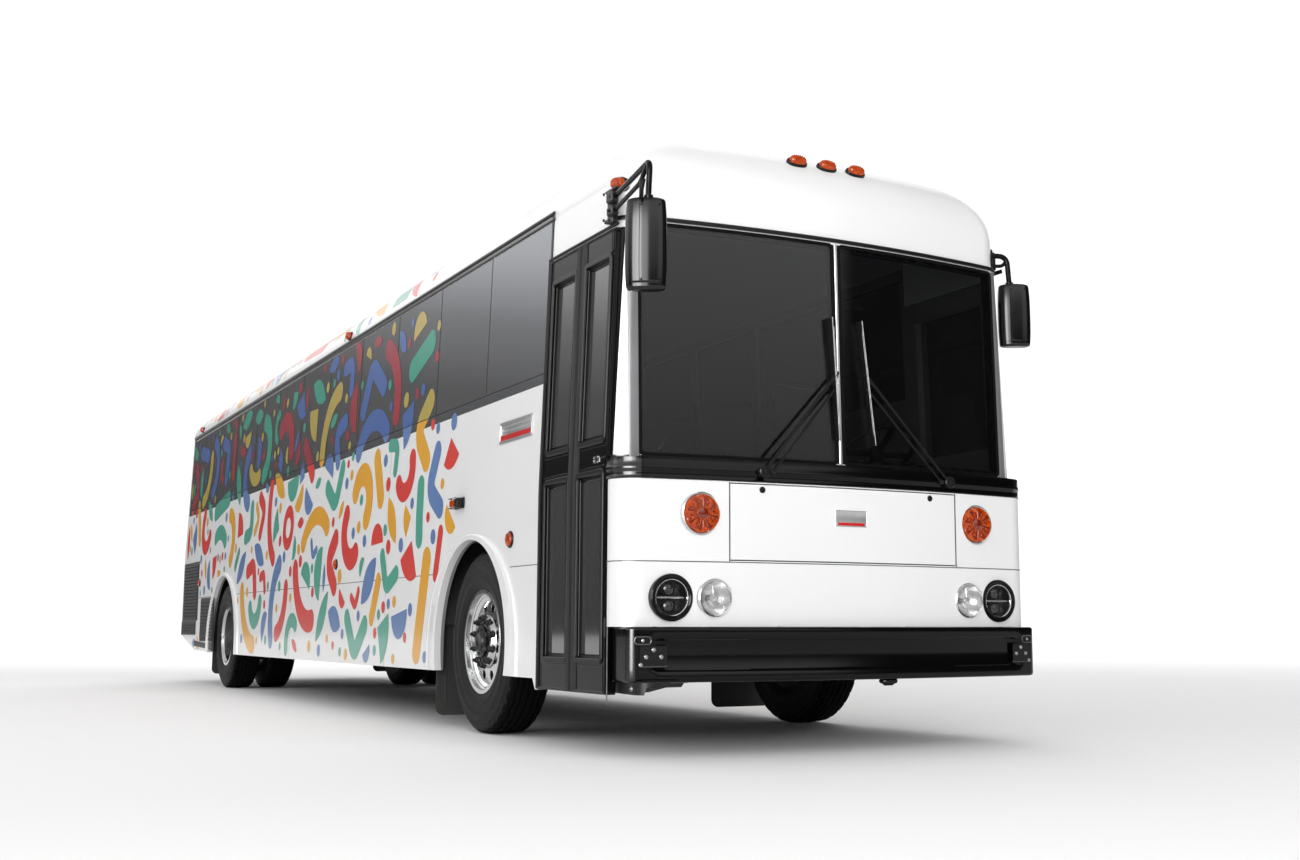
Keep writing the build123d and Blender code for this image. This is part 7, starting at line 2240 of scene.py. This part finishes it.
for hx, nm, body, node_ in ((2.5, "front", "front_hatch", "front_roof_hatch"), (-2.9, "rear", "rear_hatch", "rear_roof_hatch")):
    g, fr, lt = Geo(), Geo(), Geo()
    H, N = 0.311, 46

    def top(u, v):
        e = min(1.0, max(0.0, (1 - max(abs(u), abs(v))) / 0.16))
        e = e * e * (3 - 2 * e)
        z = 3.1290 + 0.0130 * e
        rib = 0.0
        if max(abs(u), abs(v)) < 0.80:
            w_ = min(1.0, (0.80 - max(abs(u), abs(v))) / 0.10)
            rib = w_ * (0.5 + 0.5 * math.cos(v * pi * 7.0))
            z += 0.0085 * rib - 0.002 * w_
        return z

    def sq(i, j, k=1.0):
        u, v = 2 * i / N - 1, 2 * j / N - 1
        # round the corners of the square
        x, y = u * H * k, v * H * k
        r = 0.045
        qx, qy = max(-H * k + r, min(H * k - r, x)), max(-H * k + r, min(H * k - r, y))
        dx, dy = x - qx, y - qy
        L = math.hypot(dx, dy)
        if L > r:
            x, y = qx + dx * r / L, qy + dy * r / L
        return hx + x, y, u, v
    rows = []
    for i in range(N + 1):
        row = []
        for j in range(N + 1):
            x, y, u, v = sq(i, j)
            row.append(Vector((x, y, top(u, v))))
        rows.append(row)
    rowb = []
    for i in range(N + 1):
        row = []
        for j in range(N + 1):
            x, y, u, v = sq(i, j, 0.985)
            row.append(Vector((x, y, top(u, v) - 0.006 if max(abs(u), abs(v)) < 0.999 else 3.082)))
        rowb.append(row)
    # outer skirt goes down from the rim
    g.add([p for r in rows for p in r], [(i * (N + 1) + j, i * (N + 1) + j + 1, (i + 1) * (N + 1) + j + 1, (i + 1) * (N + 1) + j) for i in range(N) for j in range(N)])
    rim = [(i, 0) for i in range(N)] + [(N, j) for j in range(N)] + [(i, N) for i in range(N, 0, -1)] + [(0, j) for j in range(N, 0, -1)]
    sk = []
    for dz, k in ((0.0, 1.0), (-0.004, 1.006), (-0.012, 1.006), (-0.046, 1.0)):
        row = []
        for i, j in rim:
            x, y, u, v = sq(i, j, k if k < 1.003 else 1.0)
            if k > 1.003:
                x, y = hx + (x - hx) * 1.003, y * 1.003
            row.append(Vector((x, y, 3.1290 + dz)))
        sk.append(row)
    g.grid(sk, close_u=True)
    inner = []
    for z, k in ((3.083, 0.985), (3.118, 0.985)):
        row = []
        for i, j in rim:
            x, y, u, v = sq(i, j, 1.0)
            row.append(Vector((hx + (x - hx) * k, y * k, z)))
        inner.append(row)
    g.grid([sk[-1], inner[0]], close_u=True)
    g.grid(inner, close_u=True)
    g.add(inner[1], [tuple(range(len(rim)))])
    o = make("%s_hatch_lid" % nm, g, WHITE_ROOF, body, angle=35)
    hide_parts(node_)
    ring_on(fr, lambda u, v, d: Vector((u, v, roof_z(v) + d)), hx - 0.372, hx + 0.372, -0.372, 0.372, 0.042, 0.060, 0.0055, crown=0.001, n=8)
    make("%s_hatch_frame" % nm, fr, BLACK_TRIM)
    for q in (-0.16, 0.16):
        lt.box(hx + 0.285, hx + 0.312, q - 0.03, q + 0.03, 3.132, 3.139, 0.0015)
    make("%s_hatch_hinge_plates" % nm, lt, STEEL, body)

# ------------------------------------------------------------------ doorway: ribbed treads, bright nosings, grab rails; cab: dials on a panel
tr, ns, gr = Geo(), Geo(), Geo()
for y, yb, z in ((-1.163, -0.940, 0.362), (-0.935, -0.712, 0.558), (-0.708, -0.485, 0.754)):
    tr.box(4.790, 5.555, y + 0.030, yb - 0.004, z - 0.0005, z + 0.0030, 0.0008)
    for k in range(9):
        yy = y + 0.042 + (yb - y - 0.062) * k / 8
        tr.box(4.796, 5.549, yy - 0.0035, yy + 0.0035, z + 0.0025, z + 0.0060, 0.0010)
    ns.box(4.782, 5.563, y - 0.003, y + 0.028, z - 0.0005, z + 0.0035, 0.0012)
    ns.box(4.782, 5.563, y - 0.0035, y - 0.0005, z - 0.030, z + 0.0030, 0.0008)
    for k in range(4):
        ns.box(4.790, 5.555, y + 0.003 + k * 0.006, y + 0.0055 + k * 0.006, z + 0.0030, z + 0.0050, 0.0006)
gr.tube(bend([(5.572, -1.060, 0.800), (5.540, -0.980, 0.880), (5.540, -0.560, 1.330), (5.570, -0.470, 1.400)], 0.06), 0.0150, 14)
gr.tube(bend([(4.772, -1.060, 0.860), (4.810, -0.990, 0.930), (4.810, -0.560, 1.560), (4.772, -0.500, 1.640)], 0.06), 0.0150, 14)
make("step_treads", tr, RUBBER)
make("step_nosings", ns, SILVER)
make("grab_rails", gr, SILVER)
dl, fc, nd = Geo(), Geo(), Geo()
ax_ = Vector((-0.82, 0, 0.57)).normalized()
uy = Vector((0, 1, 0))
ux = uy.cross(ax_)
for yy, r in ((0.50, 0.036), (0.585, 0.050), (0.700, 0.050), (0.785, 0.036)):
    c = Vector((5.525, yy, 1.420))
    dl.lathe([(r * 1.22, -0.030), (r * 1.22, 0.004), (r * 1.14, 0.009), (r * 1.02, 0.007), (r, 0.001)], c, ax_, 32)
    fc.lathe([(r, 0.0015), (0, 0.0015)], c, ax_, 32)
    for k in range(11):
        a = math.radians(-130 + 26 * k)
        p0 = c + ax_ * 0.0022 + (uy * math.sin(a) + ux * math.cos(a)) * r * 0.82
        p1 = c + ax_ * 0.0022 + (uy * math.sin(a) + ux * math.cos(a)) * r * 0.94
        nd.tube([p0, p1], 0.0008, 4)
    a = math.radians(-70)
    nd.tube([c + ax_ * 0.003, c + ax_ * 0.003 + (uy * math.sin(a) + ux * math.cos(a)) * r * 0.78], 0.0010, 5)
dl.box(5.500, 5.560, 0.44, 0.845, 1.385, 1.400, 0.004)
make("dash_dial_bezels", dl, BLACK_TRIM)
make("dash_dial_faces", fc, FRIT)
make("dash_dial_marks", nd, SILVER)

# wipers: bright blade spines and pivot caps
# the grey blade spines are painted highlight lines along the blades
sp_, nt_ = Geo(), Geo()
for (py, pz), (b0, b1) in (((-0.500, 1.345), ((-0.024, 1.538), (-0.059, 2.160))), ((0.620, 1.345), ((0.197, 1.520), (0.122, 2.157)))):
    pts = []
    for j in range(13):
        f = j / 12
        y, z = b0[0] + (b1[0] - b0[0]) * f, b0[1] + (b1[1] - b0[1]) * f
        pts.append(Vector((5.7635, y, z)))
    sp_.tube(pts, 0.0015, 6)
    sp_.tube([p + Vector((-0.001, 0.0060 if py < 0 else -0.0060, 0)) for p in pts[1:-1]], 0.0010, 6)
    xw = front_x(py)
    nt_.lathe([(0.030, 0.024), (0.031, 0.030), (0.026, 0.0345), (0.012, 0.0350), (0, 0.0350)], Vector((xw, py, pz)), (1, 0, 0), 24)
    nt_.hexbolt(Vector((xw + 0.033, py, pz)), (1, 0, 0), 0.0075, 0.008)
make("wiper_blade_painted_highlight_spines", sp_, BEAD_PAINTED_HIGHLIGHT)
make("wiper_pivot_caps", nt_, BLACK_SATIN)

# ------------------------------------------------------------------ floor, light, camera
YAW, PITCH = math.radians(151.3486), math.radians(7.7886)
fwd = Vector((math.cos(YAW) * math.cos(PITCH), math.sin(YAW) * math.cos(PITCH), math.sin(PITCH)))
rgt = Vector((math.sin(YAW), -math.cos(YAW), 0.0))
up_ = rgt.cross(fwd)
cam_data = bpy.data.cameras.new("camera")
cam = bpy.data.objects.new("camera", cam_data)
bpy.context.scene.collection.objects.link(cam)
rot = Matrix((rgt, up_, -fwd)).transposed().to_4x4()
cam.matrix_world = Matrix.Translation(Vector((11.883, -4.122, 0.601))) @ rot
cam_data.sensor_width = 36.0
cam_data.lens = 40.809
cam_data.shift_x = -0.04446
cam_data.shift_y = -0.00302
cam_data.clip_start = 0.05
cam_data.clip_end = 400.0
bpy.context.scene.camera = cam

# pale floor: a wide sheet with a very fine grain
FLOOR_MAT = surface("studio_floor", (0.955, 0.955, 0.955), 0.85, var=0.01, scale=0.4, bump=0.02, bump_scale=120, spec=0.1)
# the sheet far from the object is lit a little more, so that it meets the white backdrop with no edge
_nt = FLOOR_MAT.node_tree
_b = next(n for n in _nt.nodes if n.type == "BSDF_PRINCIPLED")
_tc = _nt.nodes.new("ShaderNodeTexCoord")
_ln = _nt.nodes.new("ShaderNodeVectorMath")
_ln.operation = "LENGTH"
_nt.links.new(_tc.outputs["Object"], _ln.inputs[0])
_mr = _nt.nodes.new("ShaderNodeMapRange")
_mr.interpolation_type = "SMOOTHSTEP"
_mr.inputs["From Min"].default_value = 7.0
_mr.inputs["From Max"].default_value = 22.0
_mr.inputs["To Max"].default_value = 0.30
_nt.links.new(_ln.outputs["Value"], _mr.inputs["Value"])
_nt.links.new(_mr.outputs[0], _b.inputs["Emission Strength"])
_b.inputs["Emission Color"].default_value = (1.0, 1.0, 1.0, 1.0)
me = bpy.data.meshes.new("studio_floor")
R = 90.0
me.from_pydata([(-R, -R, 0), (R, -R, 0), (R, R, 0), (-R, R, 0)], [], [(0, 1, 2, 3)])
me.materials.append(FLOOR_MAT)
floor_o = bpy.data.objects.new("studio_floor", me)
bpy.context.scene.collection.objects.link(floor_o)

world = bpy.data.worlds.new("studio")
bpy.context.scene.world = world
world.use_nodes = True
wn = world.node_tree
wn.nodes.clear()
wo = wn.nodes.new("ShaderNodeOutputWorld")
bg = wn.nodes.new("ShaderNodeBackground")
tcw = wn.nodes.new("ShaderNodeTexCoord")
sep = wn.nodes.new("ShaderNodeSeparateXYZ")
wn.links.new(tcw.outputs["Generated"], sep.inputs[0])
# reflections: dark at the horizon, bright overhead; dimmer towards the front left; plain white behind the bus
ramp = wn.nodes.new("ShaderNodeValToRGB")
els = ramp.color_ramp.elements
els[0].position, els[0].color = 0.0, (0.035, 0.035, 0.036, 1)
els[1].position, els[1].color = 1.0, (0.50, 0.50, 0.50, 1)
for pos, v in ((0.10, 0.07), (0.18, 0.15), (0.225, 0.44), (0.27, 1.15), (0.32, 1.62), (0.42, 1.40), (0.55, 0.98), (0.75, 0.62)):
    e = els.new(pos)
    e.color = (v, v, v, 1)
wn.links.new(sep.outputs["Z"], ramp.inputs["Fac"])


def toward(az, lo, hi):
    d = wn.nodes.new("ShaderNodeVectorMath")
    d.operation = "DOT_PRODUCT"
    wn.links.new(tcw.outputs["Generated"], d.inputs[0])
    d.inputs[1].default_value = (math.cos(az), math.sin(az), 0.0)
    m = wn.nodes.new("ShaderNodeMapRange")
    m.interpolation_type = "SMOOTHSTEP"
    m.inputs["From Min"].default_value = lo
    m.inputs["From Max"].default_value = hi
    wn.links.new(d.outputs["Value"], m.inputs["Value"])
    return m


def over(a_sock, col, fac):
    mx = wn.nodes.new("ShaderNodeMix")
    mx.data_type = "RGBA"
    wn.links.new(fac.outputs[0], mx.inputs["Factor"])
    wn.links.new(a_sock, mx.inputs["A"])
    mx.inputs["B"].default_value = col
    return mx.outputs["Result"]


# compass direction, for the darker front left, the veil that the right-hand pane picks up, and the white behind the bus
sepx = sep
azn = wn.nodes.new("ShaderNodeMath")
azn.operation = "ARCTAN2"
wn.links.new(sepx.outputs["Y"], azn.inputs[0])
wn.links.new(sepx.outputs["X"], azn.inputs[1])


def edge(a, b):
    m = wn.nodes.new("ShaderNodeMapRange")
    m.interpolation_type = "SMOOTHSTEP"
    m.inputs["From Min"].default_value = math.radians(a)
    m.inputs["From Max"].default_value = math.radians(b)
    wn.links.new(azn.outputs[0], m.inputs["Value"])
    return m.outputs[0]


def span(a0_, a1_, b0_, b1_):
    """1 between a1 and b0 degrees, falling to 0 at a0 and b1"""
    m = wn.nodes.new("ShaderNodeMath")
    m.operation = "MULTIPLY"
    wn.links.new(edge(a0_, a1_), m.inputs[0])
    wn.links.new(edge(b1_, b0_), m.inputs[1])
    return m


veil = wn.nodes.new("ShaderNodeValToRGB")
ve = veil.color_ramp.elements
ve[0].position, ve[0].color = 0.0, (0.035, 0.035, 0.036, 1)
ve[1].position, ve[1].color = 1.0, (1.30, 1.30, 1.30, 1)
for pos, v in ((0.06, 0.14), (0.11, 0.60), (0.17, 0.84), (0.25, 1.28), (0.34, 1.70), (0.45, 1.42)):
    e = ve.new(pos)
    e.color = (v, v, v, 1)
wn.links.new(sep.outputs["Z"], veil.inputs["Fac"])
c = over(ramp.outputs["Color"], (0.030, 0.030, 0.032, 1), span(33.0, 37.0, 105.0, 116.0))
mv = wn.nodes.new("ShaderNodeMix")
mv.data_type = "RGBA"
wn.links.new(span(2.0, 8.0, 32.0, 35.5).outputs[0], mv.inputs["Factor"])
wn.links.new(c, mv.inputs["A"])
wn.links.new(veil.outputs["Color"], mv.inputs["B"])
# the az window wraps no seam: 118 to 184 degrees is split at 180
up2 = span(117.0, 123.0, 181.0, 182.0)
c = over(mv.outputs["Result"], (1.06, 1.06, 1.06, 1), up2)
wn.links.new(c, bg.inputs["Color"])
bg.inputs["Strength"].default_value = 1.09
plain = wn.nodes.new("ShaderNodeBackground")
plain.inputs["Color"].default_value = (1.06, 1.06, 1.06, 1)
plain.inputs["Strength"].default_value = 1.085
lp = wn.nodes.new("ShaderNodeLightPath")
mxs = wn.nodes.new("ShaderNodeMixShader")
wn.links.new(lp.outputs["Is Camera Ray"], mxs.inputs[0])
wn.links.new(bg.outputs[0], mxs.inputs[1])
wn.links.new(plain.outputs[0], mxs.inputs[2])
wn.links.new(mxs.outputs[0], wo.inputs[0])


def area(name, loc, target, size, power, size_y=None):
    d = bpy.data.lights.new(name, "AREA")
    d.shape = "RECTANGLE"
    d.size = size
    d.size_y = size_y or size
    d.energy = power
    o = bpy.data.objects.new(name, d)
    bpy.context.scene.collection.objects.link(o)
    o.location = loc
    o.visible_camera = False
    v = Vector(target) - Vector(loc)
    o.rotation_euler = v.to_track_quat("-Z", "Y").to_euler()
    return o


def only(o, diffuse, glossy):
    o.visible_diffuse = diffuse
    o.visible_glossy = glossy


area("overhead", (0, 0, 11.0), (0, 0, 0), 16.0, 85.0, 12.0)
only(area("front_top", (13.5, -4.0, 8.0), (13.5, -4.0, 0.0), 8.0, 120.0, 9.0), True, False)
only(area("front_key", (17.9, -6.4, 3.6), (5.0, 0.0, 1.2), 5.0, 610.0, 4.0), True, False)
# a tall soft box off the right front corner, seen only in gloss, bright on its left and fading to its right
only(area("corner_box", (10.05, -9.52, 2.75), (5.9, -1.2, 2.75), 2.4, 560.0, 5.6), False, True)
only(area("corner_box_fade", (12.12, -8.11, 2.75), (5.9, -1.2, 2.75), 2.6, 760.0, 5.6), False, True)
only(area("corner_box_tail", (13.9, -6.52, 2.75), (6.0, -1.25, 2.75), 2.2, 250.0, 5.6), False, True)
area("side_fill", (-2.0, -15.0, 5.5), (-1.0, 0.0, 1.2), 10.0, 160.0, 5.0)
area("rear_fill", (-14.0, 6.0, 6.0), (-4.0, 0.0, 1.4), 8.0, 200.0)

bpy.context.scene.view_settings.view_transform = "Standard"
bpy.context.scene.view_settings.exposure = 0.0
